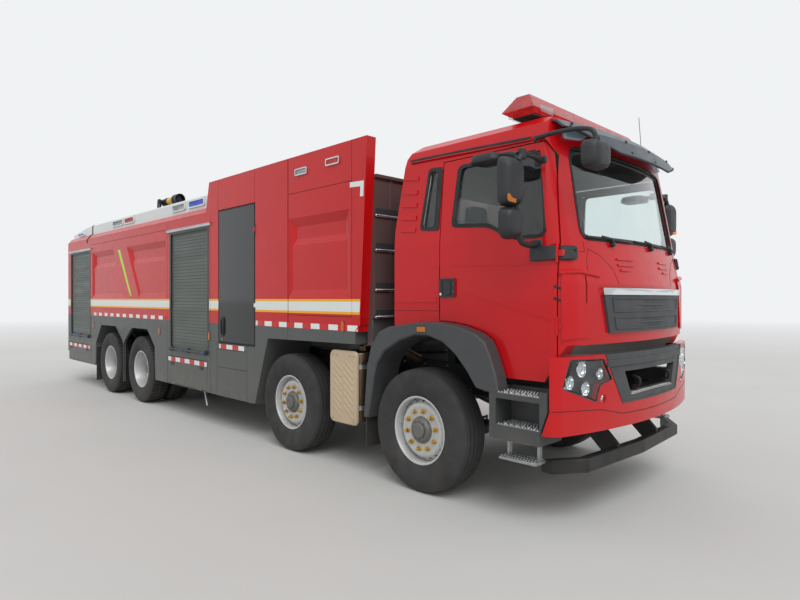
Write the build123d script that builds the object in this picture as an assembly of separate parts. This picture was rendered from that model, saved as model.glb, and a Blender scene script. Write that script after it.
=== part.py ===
"""Foam fire truck, eight wheels by four driven, with a tilt-type cab and a body of lockers.

Millimetres, Z up from the ground, the front faces -Y and the truck's right side is -X.
All sizes below are given with y counted rearwards from axle 1. ORIGIN_Y moves each finished
piece so that the origin is on the ground, under the middle of the truck.
"""
from build123d import *
import math
import os

# Overall sizes
HALF_WIDTH = 1250.0  # body side, flares and bumper corners
FLARE_OUT = 130.0  # how far the flares stand out from the cab
CAB_HALF = HALF_WIDTH - FLARE_OUT  # cab side at the waist
FRONT_Y = -1535.0  # foremost point of the bumper
BODY_REAR = 10035.0  # rear wall of the body
REAR_Y = 10095.0  # rearmost point of the rear step
ORIGIN_Y = -(FRONT_Y + REAR_Y) / 2
SEAT = 0.3  # gap between pieces that rest on each other
REVEAL = 9.0  # gap round a door

# Axles: name, y, steered or not
AXLES = (("1", 0.0, True), ("2", 1950.0, True), ("3", 6200.0, False), ("4", 7600.0, False))
WHEEL_R = 536.0  # tyre radius, which is the axle height
TYRE_W = 300.0
TYRE_OUT = 1245.0  # outer sidewall
RIM_R = 286.0
RIM_WALL = 10.0
RIM_HALF = 114.0  # half the bead seat
FLANGE_T = 12.0
FLANGE_GAP = 5.0  # bead seat to flange
FLANGE_R = 298.0
DUAL_PITCH = 350.0
DISC_T = 12.0
HUB_R = 95.0
HUB_CAP_R = 70.0
DRUM_R = 205.0
DRUM_W = 110.0
KINGPIN_X = 900.0
KINGPIN_R = 45.0

# Chassis
RAIL_OUT = 425.0
RAIL_FLANGE = 80.0
RAIL_T = 8.0
RAIL_LOW, RAIL_TOP = 760.0, 1040.0
RAIL_FRONT, RAIL_REAR = -1180.0, 9960.0
CROSS_Y = (-1100.0, 1420.0, 3350.0, 4700.0, 6900.0, 8500.0, 9850.0)
CROSS_T = 70.0
CROSS_LOW, CROSS_HIGH = 925.0, 1000.0
TOW_BORE_R = 20.0
TOW_EYE_R = 25.0
TOW_HALF = 70.0
TOW_PLATE = 60.0

# Cab
CAB_WALL = 45.0
CAB_REAR = 400.0
CAB_FRONT = -1500.0  # middle of the front panel
CAB_CURVE = 4000.0  # plan radius of the front
CAB_CORNER = 170.0
CAB_WAIST = 2150.0
BROW_IN = 60.0  # how far the side leans in up to the brow
BROW_HALF = CAB_HALF - BROW_IN
CAB_TOP = 3100.0
CAB_BROW = CAB_TOP - 220.0
SCREEN_LEAN = 0.1854  # rearward per unit of height
LEAN_START = 1790.0
SILL = 1065.0
DOOR_T = 35.0
DOOR_FRONT, DOOR_BACK = -1272.0, -160.0
DOOR_TOP = CAB_TOP - 250.0
DOOR_HINGES = (1480.0, 2010.0)
DOOR_HINGE_X = CAB_HALF - 12.0
DOOR_LEAF = 80.0  # how far the hinges reach in to the curved pillar
GLASS_T = 6.0
ARCH_LIFT, ARCH_AHEAD = 12.0, 8.0  # door edge above and ahead of the flare

# Body
MODULE_FRONT, MODULE_REAR = 640.0, 3700.0
MODULE_TOP = 3215.0
MODULE_SEAM = 1955.0  # the module's two sections meet here
PARAPET_T = 115.0
MODULE_DECK = 2870.0
RED_LOW = 1360.0
SKIRT_LOW = 430.0
SKIRT_IN = 620.0
SKIRT_ARCH = 1222.0
BODY_CANT = 2820.0
BODY_DECK = 2908.0
DECK_HALF = 1180.0
FLOOR_LOW = RAIL_TOP + SEAT
LOCKER_DEPTH = 60.0
SHUTTER_T = 40.0
COAMING_TOP = 3110.0
COAMING_HALF = 1150.0
COAMING_W = 210.0

# Tinted door of the pump bay
BAY_DOOR = (2643.0, 3533.0, 1120.0, 2810.0)  # y front, y rear, z low, z high
BAY_DEPTH = 620.0
BAY_DOOR_T = 40.0
BAY_HINGES = (1600.0, 2500.0)

# Lockers: y front, y rear, z low, z high of each shutter
LOCKERS = ((3806.0, 5017.0, 920.0, 2640.0), (8619.0, 9849.0, 920.0, 2600.0))

# Fold-down step flaps in the skirt: name, y front, y rear, z low, z high
FLAPS = (("mid", 3855.0, 5088.0, 445.0, 838.0), ("rear", 8655.0, 9970.0, 445.0, 785.0))
FLAP_T = 30.0
FLAP_GAP = 7.0

# Foam monitor
MONITOR_Y = 8150.0
MONITOR_AXIS_Z = 3600.0
RISER_R = 95.0
BARREL_R = 75.0
NOZZLE_R = 100.0
BARREL_LONG = 560.0

SIDES = (("r", -1), ("l", 1))


def block(x0, x1, y0, y1, z0, z1):
    """Box between two x, two y and two z values."""
    size = (abs(x1 - x0), abs(y1 - y0), abs(z1 - z0))
    return Pos((x0 + x1) / 2, (y0 + y1) / 2, (z0 + z1) / 2) * Box(*size)


def side_prism(outline, x0, x1):
    """Outline of (y, z) points carried from x0 to x1."""
    face = Plane.YZ * make_face(Polyline(*outline, close=True))
    return Pos(min(x0, x1), 0, 0) * extrude(face, abs(x1 - x0))


def front_prism(outline, y0, y1):
    """Outline of (x, z) points carried from y0 to y1."""
    face = Plane.XZ * make_face(Polyline(*outline, close=True))
    return Pos(0, min(y0, y1), 0) * extrude(face, -abs(y1 - y0))


def plan_prism(outline, z0, z1):
    """Outline of (x, y) points carried from z0 to z1."""
    face = make_face(Polyline(*outline, close=True))
    return Pos(0, 0, min(z0, z1)) * extrude(face, abs(z1 - z0))


def rounded_side(outline, radius, x0, x1):
    """Outline of (y, z) points with rounded corners, carried from x0 to x1."""
    face = Plane.YZ * make_face(FilletPolyline(*outline, radius=radius, close=True))
    return Pos(min(x0, x1), 0, 0) * extrude(face, abs(x1 - x0))


def rounded_front(outline, radius, y0, y1):
    """Outline of (x, z) points with rounded corners, carried from y0 to y1."""
    face = Plane.XZ * make_face(FilletPolyline(*outline, radius=radius, close=True))
    return Pos(0, min(y0, y1), 0) * extrude(face, -abs(y1 - y0))


def bar_x(radius, x0, x1, y, z):
    """Round bar along X."""
    return Pos((x0 + x1) / 2, y, z) * Rot(0, 90, 0) * Cylinder(radius, abs(x1 - x0))


def bar_y(radius, y0, y1, x, z):
    """Round bar along Y."""
    return Pos(x, (y0 + y1) / 2, z) * Rot(90, 0, 0) * Cylinder(radius, abs(y1 - y0))


def bar_z(radius, z0, z1, x, y):
    """Round bar along Z."""
    return Pos(x, y, (z0 + z1) / 2) * Cylinder(radius, abs(z1 - z0))


def turned(profile):
    """Ring or disc from (u, r) points, turned round the X axis."""
    return revolve(make_face(Polyline(*profile, close=True)), Axis.X)


def mirrored(shape):
    """The same shape on the truck's other side."""
    return mirror(shape, about=Plane.YZ)


def on_side(shape, side):
    """A shape drawn on the left, put on the side asked for."""
    return shape if side > 0 else mirrored(shape)


def both(shape):
    """A shape drawn on the left, and its twin on the right."""
    return [shape, mirrored(shape)]


def parted(shape, at):
    """A shape in two pieces that meet at a y, with a seat gap between them."""
    wide, high = 2 * HALF_WIDTH, 2 * MODULE_TOP
    fore = shape & block(-wide, wide, 2 * FRONT_Y, at, 0, high)
    aft = shape & block(-wide, wide, at + SEAT, 2 * REAR_Y, 0, high)
    return [fore, aft]


HINGE_R = 12.0
HINGE_LEAF = 45.0  # length of each of the three barrels of a hinge


def hinge_barrels(middle):
    """The three barrel spans of one hinge: those of the door, and the one of the frame."""
    half = HINGE_LEAF / 2
    frame = (middle - half, middle + half)
    door = ((frame[0] - SEAT - HINGE_LEAF, frame[0] - SEAT), (frame[1] + SEAT, frame[1] + SEAT + HINGE_LEAF))
    return door, frame


def upright_hinge(door, frame, x, y, middles, leaf=0.0):
    """Door and frame with barrels on the upright hinge line at (x, y), each cut back for the other's.

    Where the skin curves away from the line, leaves of the given depth reach in to it.
    """
    side = math.copysign(1.0, x)
    for middle in middles:
        spans, own = hinge_barrels(middle)
        for low, high in spans:
            frame -= bar_z(HINGE_R + SEAT, low - SEAT, high + SEAT, x, y)
            door += bar_z(HINGE_R, low, high, x, y)
            if leaf:
                door += block(x, x - side * leaf * 0.5, y, y + HINGE_LEAF, low, high)
        door -= bar_z(HINGE_R + SEAT, own[0] - SEAT, own[1] + SEAT, x, y)
        frame += bar_z(HINGE_R, *own, x, y)
        if leaf:
            frame += block(x, x - side * leaf, y - HINGE_LEAF, y, *own)
    return door, frame


def level_hinge(door, frame, x, z, middles):
    """The same on a level hinge line along Y at (x, z)."""
    for middle in middles:
        spans, own = hinge_barrels(middle)
        for low, high in spans:
            frame -= bar_y(HINGE_R + SEAT, low - SEAT, high + SEAT, x, z)
            door += bar_y(HINGE_R, low, high, x, z)
        door -= bar_y(HINGE_R + SEAT, own[0] - SEAT, own[1] + SEAT, x, z)
        frame += bar_y(HINGE_R, *own, x, z)
    return door, frame


def tyre():
    """One tyre about the origin, its outer side at +X."""
    half = TYRE_W / 2
    wall = (
        (RIM_HALF, RIM_R + SEAT),
        (half - 4, 370.0),
        (half, 420.0),
        (RIM_HALF + 8, 520.0),
        (RIM_HALF - 14, WHEEL_R),
    )
    other = tuple((-u, r) for u, r in reversed(wall))
    return turned(wall + other)


def rim():
    """Rim with its two flanges, about the origin."""
    inner = RIM_R - RIM_WALL
    seat = RIM_HALF + FLANGE_GAP
    edge = RIM_HALF + FLANGE_T
    profile = (
        (-edge, inner),
        (edge, inner),
        (edge, FLANGE_R),
        (seat, FLANGE_R),
        (seat, RIM_R),
        (-seat, RIM_R),
        (-seat, FLANGE_R),
        (-edge, FLANGE_R),
    )
    return turned(profile)


HAND_HOLES = 20
HAND_HOLE_R = 11.0
HAND_HOLE_AT = 252.0  # radius of their ring


def hand_holes(x0, x1):
    """Ring of round bars that pierce a disc between two x values."""
    bar = bar_x(HAND_HOLE_R, x0, x1, 0, HAND_HOLE_AT)
    return [Rot(360.0 * place / HAND_HOLES, 0, 0) * bar for place in range(HAND_HOLES)]


STEER_FACE = 86.0  # nut face of a front disc, outwards from the tyre's middle
CAP_OUT = 140.0


def front_wheel():
    """Rim, outward-dished disc, hub and brake drum of a steered wheel."""
    inner = RIM_R - RIM_WALL + 1
    disc = turned(
        (
            (20.0, inner),
            (20.0 + DISC_T, inner),
            (STEER_FACE, 225.0),
            (STEER_FACE, 0.0),
            (STEER_FACE - DISC_T, 0.0),
            (STEER_FACE - DISC_T, 215.0),
        )
    )
    disc -= hand_holes(0.0, STEER_FACE + DISC_T)
    hub = bar_x(HUB_R, -20.0, STEER_FACE + 20.0, 0, 0) + bar_x(HUB_CAP_R, 0, CAP_OUT, 0, 0)
    drum = bar_x(DRUM_R, -20.0 - DRUM_W, -20.0 + SEAT, 0, 0)
    return rim() + disc + hub + drum


def dual_disc():
    """Deep disc of the outer twin wheel, its nut face on the mid plane between the tyres."""
    inner = RIM_R - RIM_WALL + 1
    face = DUAL_PITCH / 2
    disc = turned(
        (
            (-60.0, inner),
            (-60.0 + DISC_T, inner),
            (-face + 2 * DISC_T, 215.0),
            (-face + DISC_T, 190.0),
            (-face + DISC_T, 0.0),
            (-face, 0.0),
            (-face, 200.0),
            (-face + DISC_T, 230.0),
        )
    )
    return disc - hand_holes(-20.0, -face - DISC_T)


def rear_wheel():
    """Two rims back to back, their hub and drum, about the outer tyre's middle."""
    twin = Pos(-DUAL_PITCH, 0, 0)
    disc = dual_disc()
    outer = rim() + disc
    inner = twin * (rim() + mirrored(disc))
    mid = -DUAL_PITCH / 2
    hub = bar_x(HUB_R + 25, mid - 60, mid + 150, 0, 0) + bar_x(HUB_CAP_R + 10, mid, mid + 210, 0, 0)
    drum = bar_x(DRUM_R, mid - 60 - DRUM_W * 1.4, mid - 20, 0, 0)
    return outer + inner + hub + drum


TYRE_MID = TYRE_OUT - TYRE_W / 2
DRUM_BACK_STEER = TYRE_MID - 20.0 - DRUM_W
DRUM_BACK_DUAL = TYRE_MID - DUAL_PITCH / 2 - 60.0 - DRUM_W * 1.4
BEAM_LOW, BEAM_TOP = 370.0, 470.0
BEAM_HALF_Y = 44.0
FORK_OUT = KINGPIN_X - 62.0


def wheel_nodes():
    """Tyre and wheel solids of the eight wheel bodies."""
    nodes = {}
    single, twin = front_wheel(), rear_wheel()
    rubber = tyre()
    for name, y, steered in AXLES:
        for side_name, side in SIDES:
            hub = Pos(TYRE_MID, y, WHEEL_R)
            if steered:
                tyres = hub * rubber
                wheel = hub * single
            else:
                tyres = Compound([hub * rubber, hub * Pos(-DUAL_PITCH, 0, 0) * rubber])
                wheel = hub * twin
            nodes[f"tyre_{name}{side_name}"] = on_side(tyres, side)
            nodes[f"wheel_{name}{side_name}"] = on_side(wheel, side)
    return nodes


def knuckle():
    """Steering knuckle on the left of an axle at y 0: kingpin housing, spindle and back plate."""
    boss = bar_z(KINGPIN_R + 15, WHEEL_R - 60, WHEEL_R + 60, KINGPIN_X, 0)
    pin = bar_z(KINGPIN_R - 15, WHEEL_R - 110, WHEEL_R + 110, KINGPIN_X, 0)
    spindle_end = DRUM_BACK_STEER - SEAT
    spindle = bar_x(58.0, KINGPIN_X, spindle_end, 0, WHEEL_R)
    plate = bar_x(DRUM_R - 15, spindle_end - 14, spindle_end, 0, WHEEL_R)
    arm = block(KINGPIN_X - 20, KINGPIN_X + 20, 0, 190.0, WHEEL_R - 55, WHEEL_R - 30)
    return boss + pin + spindle + plate + arm


def steer_beam():
    """Dropped beam of a steered axle at y 0, with a fork round each kingpin."""
    half = BEAM_HALF_Y
    beam = block(-700, 700, -half, half, BEAM_LOW, BEAM_TOP)
    side = front_prism(
        ((640, BEAM_LOW), (700, BEAM_LOW), (FORK_OUT, WHEEL_R - 100), (FORK_OUT, WHEEL_R + 100),
         (FORK_OUT - 70, WHEEL_R + 100), (640, BEAM_TOP)),
        -half, half,
    )
    slot = WHEEL_R - 60 - SEAT, WHEEL_R + 60 + SEAT
    ends = (WHEEL_R - 100, slot[0]), (slot[1], WHEEL_R + 100)
    lower, upper = (
        block(FORK_OUT - 1, KINGPIN_X, -half, half, low, high) + bar_z(half, low, high, KINGPIN_X, 0)
        for low, high in ends
    )
    hole = bar_z(KINGPIN_R - 15 + 0.05, WHEEL_R - 200, WHEEL_R + 200, KINGPIN_X, 0)
    fork = (lower + upper) - hole
    out = beam
    for piece in both(side) + both(fork):
        out += piece
    return out


SPRING_X = RAIL_OUT - RAIL_FLANGE / 2
SPRING_W = 80.0
SPRING_T = 50.0
SPRING_REACH = 780.0


def drive_axle():
    """Driven axle at y 0: differential, tubes and brake carriers."""
    ball = Pos(0, 0, WHEEL_R) * Sphere(225.0)
    nose = bar_y(110.0, -330.0, 0, 0, WHEEL_R)
    end = DRUM_BACK_DUAL - SEAT
    tube = bar_x(75.0, -end, end, 0, WHEEL_R)
    return ball + nose + tube


def leaf_spring(seat_z, end_z, reach):
    """One leaf pack on the left at y 0: an arc between its two ends, seated in the middle."""
    line = ThreePointArc((-reach, end_z), (0, seat_z), (reach, end_z))
    upper = ThreePointArc((reach, end_z + SPRING_T * 0.4), (0, seat_z + SPRING_T), (-reach, end_z + SPRING_T * 0.4))
    edge = [line, Line(line @ 1, upper @ 0), upper, Line(upper @ 1, line @ 0)]
    face = Plane.YZ * make_face(edge)
    return Pos(SPRING_X - SPRING_W / 2, 0, 0) * extrude(face, SPRING_W)


def axles_node():
    """Axle beams, leaf springs, their seats and their hangers."""
    pieces = []
    for _, y, steered in AXLES:
        if steered:
            pieces.append(Pos(0, y, 0) * steer_beam())
            seat_z = BEAM_TOP + SEAT
            spring = leaf_spring(seat_z, RAIL_LOW - 110, SPRING_REACH)
            hanger_z = RAIL_LOW - 110
            for end in (-1, 1):
                low = hanger_z
                y_end = end * (SPRING_REACH - 45)
                spring += block(
                    SPRING_X - 30, SPRING_X + 30, y_end - 35, y_end + 35, low, RAIL_LOW - SEAT
                )
            pieces += [Pos(0, y, 0) * piece for piece in both(spring)]
        else:
            pieces.append(Pos(0, y, 0) * drive_axle())
    bogie_y = (AXLES[2][1] + AXLES[3][1]) / 2
    reach = (AXLES[3][1] - AXLES[2][1]) / 2
    low = WHEEL_R + 75.0 + SEAT
    pack = side_prism(
        ((-reach - 80, low), (reach + 80, low), (reach + 80, low + 35), (250, low + 105),
         (-250, low + 105), (-reach - 80, low + 35)),
        SPRING_X - SPRING_W / 2, SPRING_X + SPRING_W / 2,
    )
    pack += block(SPRING_X - 70, SPRING_X + 50, -140, 140, low + 105, RAIL_LOW - SEAT)
    pieces += [Pos(0, bogie_y, 0) * piece for piece in both(pack)]
    return pieces


def chassis_node():
    """Two channel rails, cross members, front underrun bar, tow jaws and rear step."""
    rail = block(RAIL_OUT - RAIL_FLANGE, RAIL_OUT, RAIL_FRONT, RAIL_REAR, RAIL_LOW, RAIL_TOP)
    rail -= block(
        RAIL_OUT - RAIL_FLANGE - 1, RAIL_OUT - RAIL_T, RAIL_FRONT - 1, RAIL_REAR + 1,
        RAIL_LOW + RAIL_T, RAIL_TOP - RAIL_T,
    )
    frame = rail + mirrored(rail)
    web = RAIL_OUT - RAIL_T
    for y in CROSS_Y:
        frame += block(-web, web, y - CROSS_T / 2, y + CROSS_T / 2, CROSS_LOW, CROSS_HIGH)
    frame += underrun_bar() + front_tow() + rear_end()
    for pad in both(cab_mounts()):
        frame += pad
    return frame


def cab_mounts():
    """Front and rear cab mounts on the left rail."""
    inner = RAIL_OUT - RAIL_FLANGE
    front = block(inner, RAIL_OUT, -1150.0, -1060.0, RAIL_TOP - 1, SILL - SEAT)
    (y0, z0), (y1, z1) = FLARE_OUTER[7:9]
    rear = side_prism(
        ((y0 + 250.0, RAIL_TOP - 1), (y1, RAIL_TOP - 1), (y1, z1 - SEAT),
         (y0 + 250.0, z0 + (z1 - z0) * 250.0 / (y1 - y0) - SEAT)), inner, RAIL_OUT,
    )
    return front + rear


UNDERRUN_LOW, UNDERRUN_TOP = 390.0, 495.0
UNDERRUN_DEPTH = 90.0
UNDERRUN_EDGE = 12.0
UNDERRUN_HOLES = (90.0, 270.0, 450.0, 630.0)
UNDERRUN_HOLE_R = 11.0
UNDERRUN_LEAN = 50.0 / 860.0  # the bar's plan slants back by this much
UNDERRUN_PLAN = ((1105.0, -1235.0), (860.0, -1400.0), (0.0, -1450.0))


def underrun_bar():
    """Front bar with its ends swept back, on two drop brackets from the rails."""
    front = list(UNDERRUN_PLAN) + [(-x, y) for x, y in reversed(UNDERRUN_PLAN[:-1])]
    back = [(x, y + UNDERRUN_DEPTH) for x, y in reversed(front)]
    bar = plan_prism(front + back, UNDERRUN_LOW, UNDERRUN_TOP)
    bar = chamfer(bar.faces().sort_by(Axis.Z)[-1].edges() + bar.faces().sort_by(Axis.Z)[0].edges(), UNDERRUN_EDGE)
    middle = UNDERRUN_PLAN[-1][1] + UNDERRUN_DEPTH / 2
    for x in UNDERRUN_HOLES:
        hole = bar_z(UNDERRUN_HOLE_R, UNDERRUN_LOW - 1, UNDERRUN_TOP + 1, x, middle + x * UNDERRUN_LEAN)
        bar = bar - hole - mirrored(hole)
    bracket = side_prism(
        ((RAIL_FRONT + 10, RAIL_LOW), (RAIL_FRONT + 230, RAIL_LOW), (-1300.0, UNDERRUN_LOW + 20),
         (-1400.0, UNDERRUN_LOW + 20), (-1400.0, UNDERRUN_TOP + 30)),
        RAIL_OUT - 60, RAIL_OUT - 30,
    )
    tie = side_prism(
        ((RAIL_FRONT + 10, RAIL_LOW - 1), (RAIL_FRONT + 230, RAIL_LOW - 1),
         (RAIL_FRONT + 230, RAIL_LOW + 60), (RAIL_FRONT + 10, RAIL_LOW + 60)),
        RAIL_OUT - 60, RAIL_OUT - 2,
    )
    return bar + bracket + mirrored(bracket) + tie + mirrored(tie)


TOW_Y = -1340.0
TOW_Z = 700.0


def front_tow():
    """Cross beam at the frame's front with an eye for a tow pin."""
    beam = block(-RAIL_OUT, RAIL_OUT, -1290.0, RAIL_FRONT + 20, 640.0, 800.0)
    eye = block(-TOW_HALF, TOW_HALF, TOW_Y - 60, -1285.0, TOW_Z - TOW_PLATE / 2, TOW_Z + TOW_PLATE / 2)
    return (beam + eye) - bar_z(TOW_BORE_R, TOW_Z - TOW_PLATE, TOW_Z + TOW_PLATE, 0, TOW_Y)


REAR_BEAM_LOW, REAR_BEAM_TOP = 450.0, 570.0
REAR_TOW_Y = 10020.0
REAR_TOW_Z = 700.0
REAR_STEP = (110.0, HALF_WIDTH - 100.0)  # x of each half, with room for a tow pin between them


def rear_end():
    """Rear cross beam, rear underrun step and tow eye."""
    beam = block(-RAIL_OUT, RAIL_OUT, RAIL_REAR - 60, RAIL_REAR, 640.0, RAIL_LOW + 30)
    eye = block(
        -TOW_HALF, TOW_HALF, RAIL_REAR - 30, REAR_Y, REAR_TOW_Z - TOW_PLATE / 2, REAR_TOW_Z + TOW_PLATE / 2
    )
    eye -= bar_z(TOW_EYE_R, REAR_TOW_Z - TOW_PLATE, REAR_TOW_Z + TOW_PLATE, 0, REAR_TOW_Y)
    step = block(*REAR_STEP, REAR_Y - 110, REAR_Y, REAR_BEAM_LOW, REAR_BEAM_TOP)
    drop = block(RAIL_OUT - 50, RAIL_OUT, RAIL_REAR - 60, REAR_Y - 50, REAR_BEAM_LOW + 20, RAIL_LOW + 40)
    return beam + eye + step + mirrored(step) + drop + mirrored(drop)


ENGINE = (330.0, -860.0, 440.0, 720.0, 1400.0)  # half width, y front, y rear, z low, z high
GEARBOX = (210.0, 1250.0, 700.0, 1080.0)  # half width, y rear, z low, z high
SHAFT_R = 55.0
SHAFT_Z = 840.0


def driveline_node():
    """Engine as one plain block, gearbox and the prop shafts to both driven axles."""
    half, front, rear, low, high = ENGINE
    engine = block(-half, half, front, rear, low, high)
    mount = block(half - 1, RAIL_OUT - RAIL_T - SEAT, -120.0, 20.0, RAIL_LOW + 60, RAIL_LOW + 160)
    box_half, box_rear, box_low, box_high = GEARBOX
    unit = engine + mount + mirrored(mount) + block(-box_half, box_half, rear - 1, box_rear, box_low, box_high)
    nose = AXLES[2][1] - 330.0 - SEAT
    hanger = CROSS_Y[3] - CROSS_T / 2 - 120.0
    fore = bar_y(SHAFT_R, box_rear - 1, hanger, 0, SHAFT_Z)
    drop = math.degrees(math.atan2(SHAFT_Z - WHEEL_R, nose - hanger))
    length = math.hypot(SHAFT_Z - WHEEL_R, nose - hanger)
    aft = Pos(0, (hanger + nose) / 2, (SHAFT_Z + WHEEL_R) / 2) * Rot(90 - drop, 0, 0) * Cylinder(
        SHAFT_R, length - 60
    )
    joints = Pos(0, hanger, SHAFT_Z) * Sphere(SHAFT_R + 25)
    tail = bar_y(SHAFT_R + 20, nose - 60, nose, 0, WHEEL_R)
    link = bar_y(SHAFT_R, AXLES[2][1] + 226, AXLES[3][1] - 330 - SEAT, 0, WHEEL_R)
    return [unit + fore + joints + aft + tail, link]


def cab_form(inset, top=CAB_TOP):
    """Whole outer form of the cab, every face moved in by inset."""
    half = CAB_HALF - inset
    brow = BROW_HALF - inset
    front = CAB_FRONT + inset
    lean = math.hypot(1.0, SCREEN_LEAN)
    radius = CAB_CURVE - inset
    edge_y = front + radius - math.sqrt(radius**2 - half**2)
    far = 2500.0
    arc = ThreePointArc((-half, edge_y), (0, front), (half, edge_y))
    sides = Polyline((half, edge_y), (half, far), (-half, far), (-half, edge_y))
    plan = make_face([arc, sides])
    corner = max(CAB_CORNER - inset, 20.0)
    front_corners = plan.vertices().sort_by(Axis.Y)[:2]
    plan = fillet(front_corners, corner)
    low, high = 900.0, 3300.0
    upright = Pos(0, 0, low) * extrude(plan, high - low)
    shift = (low - LEAN_START) * SCREEN_LEAN + inset * (lean - 1)
    leaning = Pos(0, shift, low) * extrude(plan, (high - low) * lean, dir=(0, SCREEN_LEAN, 1))
    rear = CAB_REAR - inset
    roof = top - inset
    profile = (
        (-1800.0, SILL + inset), (rear, SILL + inset), (rear, CAB_WAIST + 150.0), (rear - 90.0, CAB_TOP - 140.0),
        (rear - 190.0, roof - 25.0), (rear - 330.0, roof), (-900.0, roof), (-1180.0, roof - 50.0),
        (-1330.0, roof - 190.0), (-1800.0, roof - 190.0),
    )
    section = (
        (-half, SILL + inset), (half, SILL + inset), (half, CAB_WAIST), (brow, CAB_BROW),
        (brow - 35.0, roof - 90.0), (brow - 130.0, roof - 22.0), (brow - 300.0, roof),
        (-brow + 300.0, roof), (-brow + 130.0, roof - 22.0), (-brow + 35.0, roof - 90.0),
        (-brow, CAB_BROW), (-half, CAB_WAIST),
    )
    form = upright & leaning
    form = form & side_prism(profile, -1300.0, 1300.0)
    return form & front_prism(section, -1900.0, 1000.0)


# Wheel arch of the cab and outer line of the flare, as (y, z)
FLARE_OUTER = (
    (-860.0, 960.0), (-835.0, 1088.0), (-773.0, 1249.0), (-724.0, 1343.0), (-637.0, 1399.0),
    (-456.0, 1452.0), (-236.0, 1479.0), (0.0, 1472.0), (351.0, 1425.0), (486.0, 1372.0),
    (590.0, 1240.0), (645.0, 1050.0), (690.0, 560.0),
)
FLARE_INNER = (
    (-735.0, 960.0), (-638.0, 979.0), (-549.0, 1101.0), (-430.0, 1225.0), (-292.0, 1320.0),
    (-120.0, 1365.0), (29.0, 1363.0), (218.0, 1304.0), (417.0, 1194.0), (520.0, 1060.0),
    (630.0, 560.0),
)
DOOR_EDGE = tuple((y - ARCH_AHEAD, z + ARCH_LIFT) for y, z in FLARE_OUTER[2:7])

DOOR_OUTLINE = (
    (DOOR_FRONT, 1215.0), (DOOR_FRONT, 2100.0), (DOOR_FRONT + 78.0, DOOR_TOP - 90.0), (DOOR_FRONT + 125.0, DOOR_TOP),
    (DOOR_BACK, DOOR_TOP), (DOOR_BACK, FLARE_OUTER[6][1] + ARCH_LIFT),
) + tuple(reversed(DOOR_EDGE)) + ((-858.0, SILL), (-1180.0, SILL))

WINDOW_TOP = DOOR_TOP - 60.0
WINDOW_OUTLINE = (
    (-1190.0, 2170.0), (-1110.0, WINDOW_TOP), (-330.0, WINDOW_TOP), (-285.0, 2285.0), (-655.0, 2260.0),
    (-889.0, 2142.0), (-1150.0, 2137.0),
)
QUARTER_OUTLINE = ((0.0, WINDOW_TOP + 10.0), (-95.0, WINDOW_TOP + 10.0), (-85.0, 2290.0), (70.0, 2300.0))


DRAWN_HALF = 1250.0  # half width of the truck at which the outlines on its front are drawn


def across(outline):
    """Outline of (x, z) points on the front, spread as wide as the truck is."""
    return tuple((x * HALF_WIDTH / DRAWN_HALF, z) for x, z in outline)


def grown(outline, by):
    """Face of an outline of (y, z) points, moved outwards by a distance."""
    face = make_face(Polyline(*outline, close=True))
    return offset(face, amount=by, kind=Kind.INTERSECTION)


def grown_side(outline, by, x0, x1):
    """Grown outline carried from x0 to x1."""
    return Pos(min(x0, x1), 0, 0) * extrude(Plane.YZ * grown(outline, by), abs(x1 - x0))


SCREEN_TOP = CAB_TOP - 265.0
SCREEN_OUTLINE = across(((-880.0, 2125.0), (880.0, 2125.0), (850.0, SCREEN_TOP), (-850.0, SCREEN_TOP)))
REAR_WINDOW = (600.0, 2250.0, CAB_TOP - 400.0)  # half width, z low, z high
SCREEN_R = 90.0
CAB_FLOOR_IN = 1330.0  # foot wells
CAB_FLOOR_BACK = 1530.0  # over the wheel arches
FOOTWELL_REAR = -840.0
TUNNEL_HALF, TUNNEL_FRONT, TUNNEL_TOP = 420.0, -1000.0, 1540.0
ENGINE_TOP_GAP = 40.0


def cab_arch():
    """What the front wheels take out of the cab from below."""
    outer = [(y, z) for y, z in FLARE_OUTER[1:10]]
    outline = [(-845.0, 900.0)] + outer + [(700.0, 1300.0), (700.0, 900.0)]
    return side_prism(outline, -1400.0, 1400.0)


def cab_floor():
    """What lies under the cab's inside: foot wells in front, a raised floor over the arches."""
    outline = (
        (-1900.0, 800.0), (700.0, 800.0), (700.0, CAB_FLOOR_BACK), (FOOTWELL_REAR + 80.0, CAB_FLOOR_BACK),
        (FOOTWELL_REAR, CAB_FLOOR_IN), (-1900.0, CAB_FLOOR_IN),
    )
    return side_prism(outline, -1300.0, 1300.0)


# Pressed lines of the doors, as two (y, z) ends
CREASES = (((-275.0, 1960.0), (-1232.0, 1936.0)), ((-401.0, 1731.0), (-1232.0, 1522.0)))
CREASE_W, CREASE_PROUD = 14.0, 4.0
# Stamped ribs behind the quarter window: z at their front and at their rear end
RIBS = ((2759.0, 2785.0), (2633.0, 2656.0), (2517.0, 2537.0), (2401.0, 2418.0), (2293.0, 2308.0))
RIB_Y = (137.0, 322.0)
RIB_W, RIB_PROUD = 40.0, 9.0
DRIP_LINE = ((246.0, 2926.0), (-1030.0, 2891.0))
DRIP_W, DRIP_PROUD = 26.0, 18.0
# Louvres on the front: x of both ends, z
LOUVRES = ((254.0, 500.0, 1986.0), (254.0, 494.0, 1940.0), (326.0, 468.0, 1900.0))
LOUVRE_H, LOUVRE_PROUD = 14.0, 10.0
# Air deflector at each front corner, as (x, z), and its upright slot
DEFLECTOR = across((
    (1105.0, 1880.0), (960.0, 1886.0), (770.0, 1852.0), (815.0, 1700.0), (900.0, 1400.0), (1105.0, 1380.0),
))
DEFLECTOR_PROUD = 14.0
DEFLECTOR_SLOT = across(((914.0, 1649.0), (930.0, 1649.0), (930.0, 1845.0), (914.0, 1845.0)))


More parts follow.
